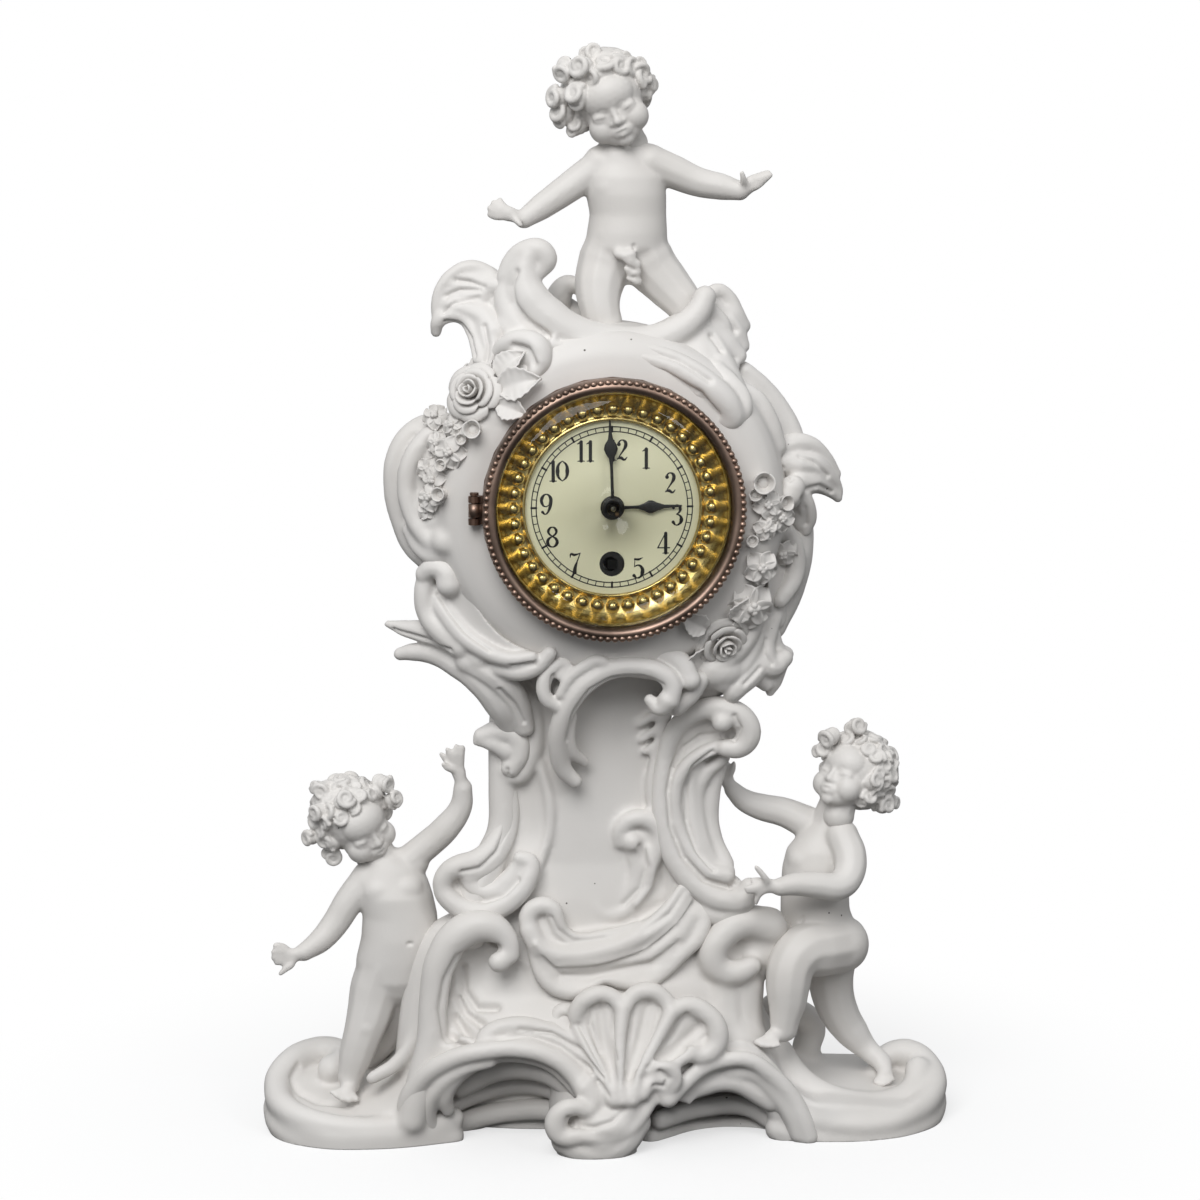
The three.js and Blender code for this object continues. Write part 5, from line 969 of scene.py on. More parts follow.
# Leaf behind the right end
coil(clay, [
    (31, -10, 271.5, 3), (33.6, -9, 274.6, 2.4), (37.6, -8, 272, 2.8), (40.2, -8, 266.9, 3),
    (42.9, -7, 263, 2.4)])
coil(clay, [(32.1, -11, 267.8, 4), (36.1, -10, 264.5, 4.4), (40.1, -9, 260.6, 3.6), (42.4, -9, 256.8, 2.4)])
coil(clay, [(32, -12, 262.2, 4), (36.5, -12, 257.7, 4), (40.4, -12, 253.8, 3)])
pellet(clay, (36.1, -16, 250.7), 2.1)
pellet(clay, (39.1, -15, 250.9), 1.8)
# Leaf roll over the left rose
coil(clay, [
    (-36.4, -20, 256.4, 2.8), (-33.4, -23, 259.4, 3), (-28.5, -25, 260.5, 3.6), (-24.6, -26.5, 258.4, 4.2),
    (-23.7, -27.5, 253.8, 4), (-25.6, -28, 250.1, 2.6)])
coil(clay, [(-29.6, -22, 256.5, 5), (-25.9, -23, 253.4, 4.6)])
coil(clay, [(-33.6, -16, 264.2, 4), (-28.1, -18, 259.3, 4.4), (-21.5, -19, 256.8, 4)])
web(clay, [
    (-20.5, -18, 266.1), (-12.1, -19, 261.1), (-1.1, -19, 258.8), (10.9, -19, 258.8), (20.5, -18, 262.1),
    (27.6, -17, 267), (32.8, -16, 261.2), (38, -16, 252.3)
], [
    (-18.3, -22, 258.9), (-7.7, -23, 256.7), (4.2, -24, 255.5), (14.7, -25.5, 253), (23.4, -26.5, 248.6),
    (30.9, -27.5, 243.3), (35.3, -27.5, 238.9), (38.7, -26.5, 235)
], 6, 1.0)
web(clay, [
    (-26, -16, 286.1), (-27.6, -16, 279.8), (-26.1, -17, 273), (-20.5, -18, 266.8)
], [
    (-30.8, -13, 284), (-32.4, -13, 276.8), (-31.6, -14, 269.7), (-25.5, -18, 261.8)
], 5, 0.6)
crest = fuse("crest_body", clay, grain=0.6, soften=24)
score(crest, [
    [(-30.6, 281.3), (-32.2, 277), (-31.6, 272), (-27.6, 266.3), (-20.7, 261.3)],
    [(-16.9, 260.6), (-4.3, 257.4), (9.9, 256.7), (21, 253.4), (30.5, 247)],
    [(32.3, 272.2), (36.1, 268.4), (38.7, 262.7)],
    [(34.3, 256.5), (31.1, 260.9)],
    [(-31.3, 258.2), (-27, 256.9), (-25.1, 252.5)],
    [(-13.1, 253.7), (2, 251.7, 0.8), (15.9, 249), (27.4, 242.6), (32.5, 236.2)],
], width=1.1, depth=1.4)
fire(crest, "crest")

# Crest shell: a ribbed porcelain fan at the upper left, open upwards, with a curled lower lip. It is
# luted to the back of the tall volute.
clay = bmesh.new()
coil(clay, [
    (-55, -9, 265, 1.6), (-55.2, -9, 270.7, 1.8), (-53.3, -9, 276.4, 2), (-49.5, -9, 280.4, 2.2),
    (-44.4, -9, 282.3, 2.4), (-39.4, -9, 280.7, 2.6), (-35.7, -10, 277.6, 3)])
for route in (
        [(-54, -9, 266.3, 2), (-51.5, -9, 270.7, 2.8), (-46.4, -9, 272.6, 3.4), (-40.8, -10, 273.2, 4)],
        [(-53.3, -9, 270.7, 2.2), (-49.5, -9, 274.5, 3), (-44.5, -9, 275.1, 3.6), (-39.5, -10, 274.5, 4)],
        [(-50.2, -9, 277, 2.4), (-46.4, -9, 278.2, 3), (-42, -9.5, 277, 3.6), (-38.2, -10, 275.1, 4)],
        [(-45.7, -9, 280.1, 2.4), (-41.9, -9, 279.5, 3), (-38.2, -10, 277, 3.4)]):
    coil(clay, route)
coil(clay, [
    (-38.3, -11, 276.4, 3.4), (-34, -12.5, 275.9, 3.6), (-32.1, -13, 273.7, 3), (-35.3, -13, 270.9, 3)])
coil(clay, [
    (-50.2, -10, 270.1, 3.4), (-45.3, -11, 268.9, 4), (-40.3, -13, 266.5, 4.4), (-37.4, -16, 262.3, 4.4)])
coil(clay, [
    (-55.3, -9, 261.9, 1.8), (-54.7, -10, 265.1, 2.4), (-50.9, -11, 267.4, 2.6), (-46.6, -12, 266.5, 2.6),
    (-43.9, -14, 262.8, 2.6), (-42.5, -17, 258, 2.6), (-42, -19, 253.8, 2.4)])
coil(clay, [(-40.3, -13, 266.5, 4), (-38.6, -16, 261.1, 4.4), (-38.1, -18, 256.2, 4), (-39.5, -20, 252, 3)])
coil(clay, [(-35.2, -12, 269.5, 3.6), (-33.5, -14, 264, 3.6), (-34.3, -17, 258.6, 3.4)])
web(clay, [
    (-54.9, -8, 265), (-54.9, -8, 270.6), (-53, -8, 275.7), (-49.1, -8, 279.4), (-44.4, -8, 281.3),
    (-39.7, -8, 279.7), (-36, -9, 276.9)
], [
    (-44, -10, 265), (-42.1, -10, 268.2), (-40.1, -10, 270.7), (-38.9, -10, 272.3), (-37.6, -10, 273.2),
    (-36.3, -10, 273.8), (-35.1, -10, 274.4)
], 4, 0.4)
shell = fuse("crest_shell_body", clay, grain=0.5, soften=14)
score(shell, [
    [(-53.2, 269), (-49.4, 272.1), (-42.5, 273.3, 0.6)],
    [(-52.5, 274), (-48.2, 275.8), (-41.9, 275.8, 0.6)],
    [(-49.4, 278.9), (-45, 278.3), (-40.7, 276.7, 0.6)],
    [(-52.6, 265.9), (-48.2, 265.2), (-45.1, 260.8), (-43.9, 255.2)],
    [(-40.7, 264.5), (-39.5, 258.9), (-40.1, 253.9)],
], width=0.8, depth=1.1)
fire(shell, "crest_shell")

# Bezel: a spun band of copper-bronze with a ring of beads on its front edge. It swings open on a hinge
# at the left and takes the glass with it.


def metal(name, colour, roughness, scale, dark):
    """A metal with a cloudy patina that goes down to a dark share of its colour."""
    material = clouded(name, roughness, scale, 4, ([value * dark for value in colour], colour), (0.38, 0.62))
    material.node_tree.nodes["Principled BSDF"].inputs["Metallic"].default_value = 1
    return material


def model(name, clay):
    """A piece straight from its clay, with no pressing."""
    mesh = bpy.data.meshes.new(name)
    clay.to_mesh(mesh)
    clay.free()
    piece = bpy.data.objects.new(name, mesh)
    bpy.context.scene.collection.objects.link(piece)
    return piece


def bead_row(clay, count, reach, y, radius, detail=2):
    """A ring of round beads about the dial's axis."""
    for number in range(count):
        angle = math.tau * number / count
        centre = Vector((dial_x + reach * math.sin(angle), y, dial_z + reach * math.cos(angle))) * MM
        bmesh.ops.create_icosphere(clay, subdivisions=detail, radius=radius * MM,
                                   matrix=Matrix.Translation(centre))


clay = bmesh.new()
turned(clay, [
    (37.1, -31.7), (40.9, -31.7), (41.2, -32.6), (41.2, -36.4), (40.7, -38.6), (39.5, -39.7), (38.7, -39.9),
    (37.9, -39.6), (37.2, -38.6), (37.1, -36)], dial_x, dial_z, 128)
bead_row(clay, 112, 40.2, -38.9, 1.12)
hinge = Matrix.Translation(Vector((-44.7, -32.25, dial_z)) * MM)
knuckle_radius = 1.85 * MM
bmesh.ops.create_cone(clay, cap_ends=True, segments=24, radius1=knuckle_radius, radius2=knuckle_radius,
                      depth=4.2 * MM, matrix=hinge)
tab_place = Matrix.Translation(Vector((-43.4, -32.4, dial_z)) * MM)
tab_size = Matrix.Diagonal((2.6 * MM, 1.2 * MM, 4 * MM, 1))
bmesh.ops.create_cube(clay, size=1, matrix=tab_place @ tab_size)
bezel = model("bezel_band", clay)
dress(bezel, metal("copper_bronze", (0.37, 0.26, 0.205), 0.42, 60, 0.5), "bronze", "door", "bezel_hoop")

# Bezel glass: thick clear glass with a domed middle and a ground bevel round its edge, held in the
# band by its rim.
clay = bmesh.new()
turned(clay, [
    (0.02, -41.3), (12, -41.1), (24, -40.5), (32, -39.9), (33.2, -39.6), (37.6, -37.9), (37.6, -37.3),
    (24, -38.9), (12, -39.5), (0.02, -39.7)], dial_x, dial_z, 128)
glass_piece = model("bezel_glass_pane", clay)
clear = bpy.data.materials.new("clear_glass")
clear.use_nodes = True
nodes, links = clear.node_tree.nodes, clear.node_tree.links
nodes.remove(nodes["Principled BSDF"])
through = nodes.new("ShaderNodeBsdfTransparent")
through.inputs["Color"].default_value = (0.985, 0.99, 0.985, 1)
shine = nodes.new("ShaderNodeBsdfGlossy")
shine.inputs["Roughness"].default_value = 0.02
edge = nodes.new("ShaderNodeFresnel")
edge.inputs["IOR"].default_value = 1.33
cover = nodes.new("ShaderNodeMixShader")
links.new(edge.outputs[0], cover.inputs[0])
links.new(through.outputs[0], cover.inputs[1])
links.new(shine.outputs[0], cover.inputs[2])
links.new(cover.outputs[0], nodes["Material Output"].inputs["Surface"])
dress(glass_piece, clear, "glass", "door", "bezel_glass")

# Sight ring: a dish of thin gilt brass, polished, with forty round beads pressed into it. It lies
# between the dial and the bezel.
gilt = metal("polished_gilt", (0.78, 0.60, 0.24), 0.27, 45, 0.9)
clay = bmesh.new()
turned(clay, [
    (27.5, -28.2), (27.5, -29.6), (28.1, -29.9), (28.6, -29.2), (29.4, -29), (31.2, -29.5), (33.2, -30.1),
    (34.8, -31.2), (36.1, -33), (36.8, -34.7), (37, -34.7), (37, -31.4), (35.2, -30), (33, -28.6),
    (29, -28.2)], dial_x, dial_z, 128)
bead_row(clay, 40, 31.2, -30.0, 2.2, 3)
sight = model("sight_ring_gilt", clay)
dress(sight, gilt, "gilt", "clock_body", "sight_ring")

# Dial: a cream enamelled disc with plain numerals and a minute track painted on in black, and a black
# tube of painted shade lining the winding hole, where the hole's depth falls in shadow. The disc itself
# is the frame's own piece.


def painted(clay, route, y, thick=0.12):
    """A flat painted stroke that faces the front: points of x, z and half width in millimetres."""
    stroke = bmesh.new()
    coil(stroke, [(x, 0, z, radius) for x, z, radius in route])
    widest = max(radius for _, _, radius in route)
    bmesh.ops.scale(stroke, vec=(1, thick / widest, 1), verts=stroke.verts)
    bmesh.ops.translate(stroke, vec=(0, y * MM, 0), verts=stroke.verts)
    join(clay, stroke)


numerals = {
    "0": [[(.3, .98, .02), (.12, .8, .06), (.07, .5, .1), (.12, .2, .06), (.3, .02, .02)],
          [(.3, .98, .02), (.48, .8, .06), (.53, .5, .1), (.48, .2, .06), (.3, .02, .02)]],
    "1": [[(.3, .03, .08), (.3, .94, .08)], [(.3, .97, .03), (.2, .88, .04), (.12, .84, .02)],
          [(.14, .02, .02), (.3, .03, .04), (.46, .02, .02)]],
    "2": [[(.14, .78, .09), (.16, .9, .04), (.3, .98, .03), (.45, .88, .08), (.46, .7, .09), (.36, .5, .05),
           (.2, .26, .03), (.08, .06, .02)], [(.08, .1, .03), (.24, .13, .08), (.4, .04, .05),
           (.53, .16, .02)]],
    "3": [[(.12, .84, .07), (.2, .96, .03), (.34, .96, .05), (.44, .82, .08), (.4, .64, .05),
           (.26, .54, .02)],
          [(.26, .54, .02), (.44, .46, .05), (.5, .26, .1), (.4, .07, .05), (.24, .02, .03),
           (.11, .16, .08)]],
    "4": [[(.42, .03, .08), (.42, .97, .08)], [(.4, .97, .02), (.06, .32, .03)],
          [(.04, .28, .03), (.6, .28, .03)], [(.28, .02, .02), (.42, .03, .04), (.56, .02, .02)]],
    "5": [[(.14, .93, .05), (.32, .92, .06), (.5, .99, .02)], [(.14, .94, .02), (.12, .58, .02)],
          [(.12, .56, .02), (.3, .64, .04), (.48, .5, .08), (.5, .28, .1), (.4, .07, .05), (.24, .02, .03),
           (.1, .14, .08)]],
    "7": [[(.06, .78, .02), (.1, .94, .05), (.24, .9, .07), (.4, .93, .04), (.54, .98, .02)],
          [(.53, .97, .02), (.4, .6, .03), (.3, .3, .08), (.27, .06, .1)]],
    "8": [[(.3, .53, .03), (.14, .66, .05), (.12, .83, .07), (.3, .97, .03), (.48, .83, .07), (.46, .66, .05),
           (.3, .53, .03)],
          [(.3, .53, .03), (.11, .38, .07), (.08, .2, .08), (.3, .02, .03), (.52, .2, .08), (.49, .38, .07),
           (.3, .53, .03)]],
    "9": [[(.44, .46, .02), (.26, .38, .03), (.1, .54, .07), (.1, .8, .08), (.3, .97, .03), (.5, .8, .08),
           (.5, .5, .09), (.42, .2, .06), (.26, .02, .03), (.12, .12, .07)]],
}
clay = bmesh.new()
paint_y = -28.05
height, step = 6.6, 2.9
hours = {"12": (0.3, 226), "1": (9.5, 223.4), "2": (17.1, 215.5), "3": (19.3, 205.3), "4": (14.9, 196.4),
         "5": (7, 188.6), "7": (-12.9, 190.4), "8": (-20.1, 198.8), "9": (-22, 209.2), "10": (-18.5, 219.6),
         "11": (-9.7, 225.8)}
for text, (x, z) in hours.items():
    for number, digit in enumerate(text):
        start = x - (1.9 if len(text) == 1 else 3.2) + number * step
        for stroke in numerals[digit]:
            route = [(start + u * height, z + (v - 0.5) * height, r * height) for u, v, r in stroke]
            painted(clay, route, paint_y)
track, half_line = (23.9, 25.4), 0.16
for reach in track:
    inner, outer = reach - half_line, reach + half_line
    turned(clay, [(inner, -28), (inner, -28.12), (outer, -28.12), (outer, -28)], dial_x, dial_z)
for minute in range(60):
    angle = math.tau * minute / 60
    wide = 0.34 if minute % 5 == 0 else 0.14
    ray = Vector((math.sin(angle), math.cos(angle)))
    painted(clay, [(dial_x + ray.x * reach, dial_z + ray.y * reach, wide) for reach in track], paint_y, 0.1)
hole_x, hole_z = -1.8, 190
# Painted shade: a black tube inside the winding hole that darkens it as if its depth were in shadow
turned(clay, [(2.3, -27.95), (4.05, -27.95), (4.05, -25), (2.3, -25)], hole_x, hole_z, 48)
figures = model("dial_figures_and_hole_shade", clay)
# One black for the painted numerals, track and hands, and also for the painted shade in the winding hole
black_paint_and_hole_shade = metal("black_paint_and_hole_shade", (0.016, 0.015, 0.014), 0.4, 80, 0.8)
black_paint_and_hole_shade.node_tree.nodes["Principled BSDF"].inputs["Metallic"].default_value = 0
figures.data.materials.append(black_paint_and_hole_shade)
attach(figures, "clock_body")
enamel = clouded("cream_enamel", 0.35, 30, 2, ((0.85, 0.82, 0.57), (0.92, 0.89, 0.65)), (0.3, 0.7))

# Hands: two black spade hands cut from steel sheet, each on its pipe, held by a small domed nut with a
# bright pin in its middle.


def spade_hand(name, tip, blade, y, pipe):
    """A hand from the dial's middle to its tip: the blade's half width along its length, and its pipe."""
    clay = bmesh.new()
    run_x, run_z = tip[0] - dial_x, tip[1] - dial_z
    painted(clay, [(dial_x + run_x * share, dial_z + run_z * share, half) for share, half in blade], y, 0.3)
    turned(clay, pipe, dial_x, dial_z, 48)
    return model(name, clay)


minute_blade = (
    (0.1, 0.55), (0.3, 0.5), (0.5, 0.5), (0.57, 0.8), (0.63, 1.8), (0.68, 2.3), (0.73, 2), (0.79, 0.9),
    (0.86, 0.55), (1, 0.3))
minute_pipe = [(1.2, -31.7), (3.2, -31.7), (3.4, -31.5), (3.4, -31.1), (1.2, -31.0)]
minute_hand = spade_hand("minute_spade_hand", (-2.2, 235.5), minute_blade, -31.3, minute_pipe)
dress(minute_hand, black_paint_and_hole_shade, "black", "minute_group", "minute_hand")
hour_blade = (
    (0.12, 0.6), (0.28, 0.5), (0.38, 0.6), (0.46, 1.2), (0.53, 2.1), (0.58, 2.1), (0.66, 1.3), (0.76, 0.6),
    (0.88, 0.5), (1, 0.35))
hour_pipe = [(1.9, -30.0), (3.6, -30.0), (3.8, -29.7), (3.6, -29.4), (1.9, -29.4)]
hour_hand = spade_hand("hour_spade_hand", (20.4, 208.4), hour_blade, -29.7, hour_pipe)
dress(hour_hand, black_paint_and_hole_shade, "black", "hour_group", "hour_hand")
clay = bmesh.new()
turned(clay, [(0.02, -32.9), (1.2, -32.8), (1.9, -32.4), (2.1, -31.9), (0.02, -31.8)], dial_x, dial_z, 40)
nut = model("hand_nut_domed", clay)
steel = metal("steel", (0.50, 0.49, 0.47), 0.28, 120, 0.8)
dark_steel = metal("dark_steel", (0.07, 0.065, 0.06), 0.35, 120, 0.7)
dress(nut, dark_steel, "steel", "minute_group", "hand_nut")
clay = bmesh.new()
turned(clay, [(0.02, -33.4), (0.5, -33.3), (0.8, -33), (0.8, -32.7), (0.02, -32.7)], dial_x, dial_z, 24)
dress(model("centre_pin", clay), steel, "steel", "minute_group")

# Movement and the metal round it: brass plates and wheels, steel arbors and springs, a thin drum and a
# rear cover, screwed and pinned together. The frame has these pieces; here they get their metals.
brass = metal("brass", (0.72, 0.52, 0.22), 0.3, 90, 0.75)
bronze_dark = metal("bronze_dark", (0.25, 0.16, 0.12), 0.44, 70, 0.6)
black_steel = metal("black_steel", (0.03, 0.03, 0.028), 0.4, 120, 0.7)
looks = {
    "dial": enamel, "winding_arbor": black_steel, "mounting_ring": bronze_dark, "hinge_pin": bronze_dark,
    "mainspring": steel, "ratchet_wheel": steel, "click": steel, "hairspring": steel, "pallet_lever": steel,
    "balance_bridge": steel, "cover_screw_1": steel, "cover_screw_2": steel, "cannon_pinion": steel}
for name in (
        "hour_wheel", "minute_wheel", "third_wheel", "fourth_wheel", "escape_wheel", "barrel", "barrel_cap",
        "centre_wheel", "setting_knob", "balance_wheel", "regulator", "front_plate", "back_plate", "pillar_1",
        "pillar_2", "pillar_3", "pillar_4", "movement_can", "rear_cover"):
    looks[name] = brass
for name, look in looks.items():
    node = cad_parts[name]
    node.data.materials.clear()
    node.data.materials.append(look)

# Flowers: roses, leaves and small blossoms of porcelain. Each petal is pressed thin by hand, and the
# flowers are luted to the case one by one.
case_skin = skin_of(case)


def patch(clay, wide, long, place):
    """A thin sheet of clay: place gives a point in millimetres for u from -1 to 1 and v from 0 to 1."""
    sheet = bmesh.new()
    bmesh.ops.create_grid(sheet, x_segments=wide, y_segments=long, size=1)
    for vert in sheet.verts:
        vert.co = Vector(place(vert.co.x, (vert.co.y + 1) / 2)) * MM
    join(clay, sheet)


def facing(normal, spin=0.0):
    """A turn that takes Z to the given direction, after a spin about Z in degrees."""
    return Vector(normal).to_track_quat("Z", "Y").to_matrix() @ Matrix.Rotation(math.radians(spin), 3, "Z")


def wrapped(clay, centre, turn, angle, span, low, high, height, roll, seed):
    """One rose petal: a patch that wraps round the flower's axis and rolls out at its lip."""
    noise = random.Random(seed)
    wave = noise.uniform(-0.25, 0.25)

    def place(u, v):
        width = span / 2 * (0.55 + 0.45 * math.sin(math.pi * min(v * 0.75 + 0.1, 0.5))) * (1 - 0.32 * v ** 8)
        around = math.radians(angle + u * width)
        lip = max(0.0, v - 0.72) / 0.28
        reach = low + (high - low) * math.sin(v * math.pi / 2) + roll * lip ** 2 * (1 - 0.3 * abs(u))
        rise = height * (v ** 0.9) - roll * 0.7 * lip ** 3 + wave * u * v
        rise -= 0.14 * height * abs(u) ** 3
        return Vector(centre) + turn @ Vector((reach * math.cos(around), reach * math.sin(around), rise))

    patch(clay, 9, 9, place)


def rose(clay, centre, normal, size, seed):
    """A rose in full bloom: a tight spiral heart and four rings of petals."""
    turn = facing(normal, seed * 31)
    noise = random.Random(seed)
    unit = size / 8
    for ring, (count, span, low, high, height, roll) in enumerate((
            (2, 230, 0.3, 0.9, 6.2, 0.1), (3, 150, 0.7, 2.3, 6.0, 0.5), (3, 135, 1.1, 3.9, 5.2, 1.0),
            (4, 112, 1.5, 5.6, 3.8, 1.7), (5, 92, 2.0, 7.2, 2.2, 2.2))):
        for number in range(count):
            angle = 360 * number / count + ring * 47 + noise.uniform(-9, 9)
            wrapped(clay, centre, turn, angle, span, low * unit, high * unit, height * unit, roll * unit,
                    seed * 40 + ring * 7 + number)


def leaf(clay, centre, normal, spin, long, wide):
    """A serrated leaf that starts at a point and lies along the surface, with a sunk midrib."""
    turn = facing(normal, spin)
    teeth, cup, droop = 0.16, 0.25, 0.25

    def place(u, v):
        saw = 1 - teeth * abs(math.sin(v * math.pi * 6))
        half = wide / 2 * math.sin(math.pi * (0.06 + 0.94 * v) ** 0.75) * saw
        rise = cup * wide * u * u * 0.6 - 0.35 * math.exp(-(u * 4) ** 2)
        rise += droop * long * math.sin(v * math.pi) * 0.5
        return Vector(centre) + turn @ Vector((u * half, v * long, rise + 0.5))

    patch(clay, 11, 21, place)


def blossom(clay, centre, normal, size, petals, seed):
    """A small open flower: rounded petals round a button."""
    noise = random.Random(seed)
    turn = facing(normal, noise.uniform(0, 360))
    for number in range(petals):
        angle = math.tau * number / petals + noise.uniform(-0.15, 0.15)
        lean = 0.5 + noise.uniform(-0.12, 0.12)
        spin = Matrix.Rotation(angle, 3, "Z") @ Matrix.Rotation(-lean, 3, "X")

        def place(u, v):
            half = size * 0.54 * math.sin(math.pi * (0.1 + 0.84 * v) ** 0.85)
            rise = size * (0.28 * u * u * v + 0.18 * math.sin(v * math.pi))
            petal = spin @ Vector((u * half, v * size, rise)) + Vector((0, 0, 0.3 * size))
            return Vector(centre) + turn @ petal

        patch(clay, 7, 8, place)
    heart = Vector(centre) + turn @ Vector((0, 0, 0.4 * size))
    pellet(clay, heart, 0.2 * size)
    for number in range(4):
        angle = math.tau * number / 4
        stamen = turn @ Vector((math.cos(angle), math.sin(angle), 0.7)) * 0.14 * size
        pellet(clay, heart + stamen, 0.11 * size)


def bud(clay, centre, normal, size, seed):
    """A closed bud: three petals wrapped tight over a core."""
    turn = facing(normal, seed * 53)
    pellet(clay, centre, size * 0.5)
    for number in range(3):
        low, high, height, roll = 0.25 * size, 0.62 * size, 1.15 * size, 0.12 * size
        wrapped(clay, centre, turn, 120 * number, 170, low, high, height, roll, seed + number)


def thin(name, clay, thick):
    """Thin petals get their thickness and soft edges."""
    piece = model(name, clay)
    wall = piece.modifiers.new("wall", "SOLIDIFY")
    wall.thickness = thick * MM
    wall.offset = 0
    soft = piece.modifiers.new("soft", "SUBSURF")
    soft.levels = soft.render_levels = 1
    bake(piece)
    return piece


def spot(x, z, lift):
    """A place on the case and its outward direction, with the place lifted by millimetres."""
    place, normal = seen(case_skin, x, z)
    return place / MM + normal * lift, normal


toward_front = Vector((-0.15, -1, 0.05))


def rose_spray(side, heart_x, heart_z, size, seed, leaves):
    """A rose on one side of the case, with its leaves: x, z, spin, length and width of each."""
    clay = bmesh.new()
    centre, normal = spot(heart_x, heart_z, 1.5)
    rose(clay, centre, (normal + toward_front).normalized(), size, seed)
    for x, z, spin, long, wide in leaves:
        place, normal = spot(x, z, 0.4)
        leaf(clay, place, (normal + toward_front * 0.5).normalized(), spin, long, wide)
    fire(thin(f"rose_{side}_petals", clay, 0.7), f"rose_{side}")


def garland(side, seed, blossoms, buds):
    """Small flowers down one side of the case: x, z and size of each, and the petals of a blossom."""
    clay = bmesh.new()
    for number, (x, z, size, petals) in enumerate(blossoms):
        place, normal = spot(x, z, 0.8)
        blossom(clay, place, (normal + toward_front).normalized(), size, petals, seed + number)
    for number, (x, z, size) in enumerate(buds):
        place, normal = spot(x, z, 0.8)
        bud(clay, place, (normal + toward_front).normalized(), size, seed + 40 + number)
    fire(thin(f"garland_{side}_flowers", clay, 0.55), f"garland_{side}")


rose_spray("left", -42.7, 242.6, 8.6, 1, (
    (-35.8, 244.4, -75, 14, 12), (-36.4, 248.2, -45, 12, 10), (-43.9, 249.5, 0, 11, 11),
    (-48.3, 247.7, 35, 10, 9), (-40.2, 249.5, -20, 11, 10), (-36.4, 240, -110, 10, 9)))
garland("left", 20, (
    (-55.6, 235.2, 4.8, 5), (-49.7, 233.2, 3.8, 5), (-50.7, 224.7, 5.6, 5), (-54.7, 227.6, 4.2, 5),
    (-57.9, 219.7, 4, 5), (-55.5, 216.2, 4.8, 5), (-56.8, 210.5, 5, 5), (-58.7, 206.1, 3.4, 4)
), ((-43.7, 231.9, 4.2), (-53.6, 211.7, 3.2), (-47.2, 228.8, 2.6), (-52.9, 220.6, 2.8)))
rose_spray("right", 33.8, 164.8, 8.4, 2, (
    (29.7, 161.9, 125, 13, 11), (34.2, 159.3, 172, 13, 11), (39.3, 161.8, -125, 12, 11),
    (29.6, 167.8, 60, 10, 9), (37.3, 170.9, -30, 9, 9)))
garland("right", 80, (
    (42.8, 175.7, 8.4, 5), (46.5, 187.5, 6, 5), (54.2, 192.9, 5.4, 4), (48.6, 207.4, 5, 5),
    (52.2, 203.2, 5.2, 5), (48, 199.7, 4.2, 5), (49.5, 179.8, 4.4, 4)
), ((47, 214.5, 5), (53.1, 208, 3.6), (44.8, 210.7, 3), (43.9, 195.9, 2.8)))

# Cherubs: three small figures cast in porcelain, joined by hand from body, arms and head, the curls
# rolled one by one. Two stand on the wings of the base and one kneels on the crest.
curl_count = 96
golden_angle = 2.39996
tallest_curl = 344.8


def torso(clay, sections):
    """A rounded trunk through sections: middle x, y and z, half width and half depth."""
    loft(clay, [(z, x, y, wide, deep) for x, y, z, wide, deep in sections])


def hand(clay, wrist, palm, size, fingers):
    """A hand: an egg for the palm and a coil for each finger, through places of x, y and z."""
    coil(clay, [(*wrist, 2.7), (*palm, 1.9)])
    pellet(clay, palm, size)
    for root, middle, tip in fingers:
        coil(clay, [(*palm, 1.3), (*root, 1.35), (*middle, 1.2), (*tip, 1.0)])


def foot(clay, heel, sole, toes):
    """A foot: two eggs from heel to ball, and a pellet for each toe, the first the largest."""
    coil(clay, [(*heel, 3.3), (*sole, 2.7)])
    for number, toe in enumerate(toes):
        coil(clay, [(*sole, 1.6), (*toe, 1.35 - 0.1 * number)])


def curl(clay, centre, outward, size, spin):
    """A curl: a coil rolled inwards to a sunk eye."""
    turn = facing(outward, spin)
    way = 1 if int(spin) % 2 else -1
    route = []
    for step in range(13):
        share = step / 12
        angle = way * math.radians(560) * share
        reach = size * (1 - 0.72 * share)
        rise = size * (0.1 + 0.5 * math.sin(share * math.pi) - 0.25 * share)
        place = Vector(centre) + turn @ Vector((reach * math.cos(angle), reach * math.sin(angle), rise))
        route.append((*place, size * (0.38 - 0.12 * share)))
    lump = bmesh.new()
    coil(lump, route)
    pellet(lump, Vector(centre) - turn @ Vector((0, 0, 0.45 * size)), 1.05 * size)
    join(clay, lump)


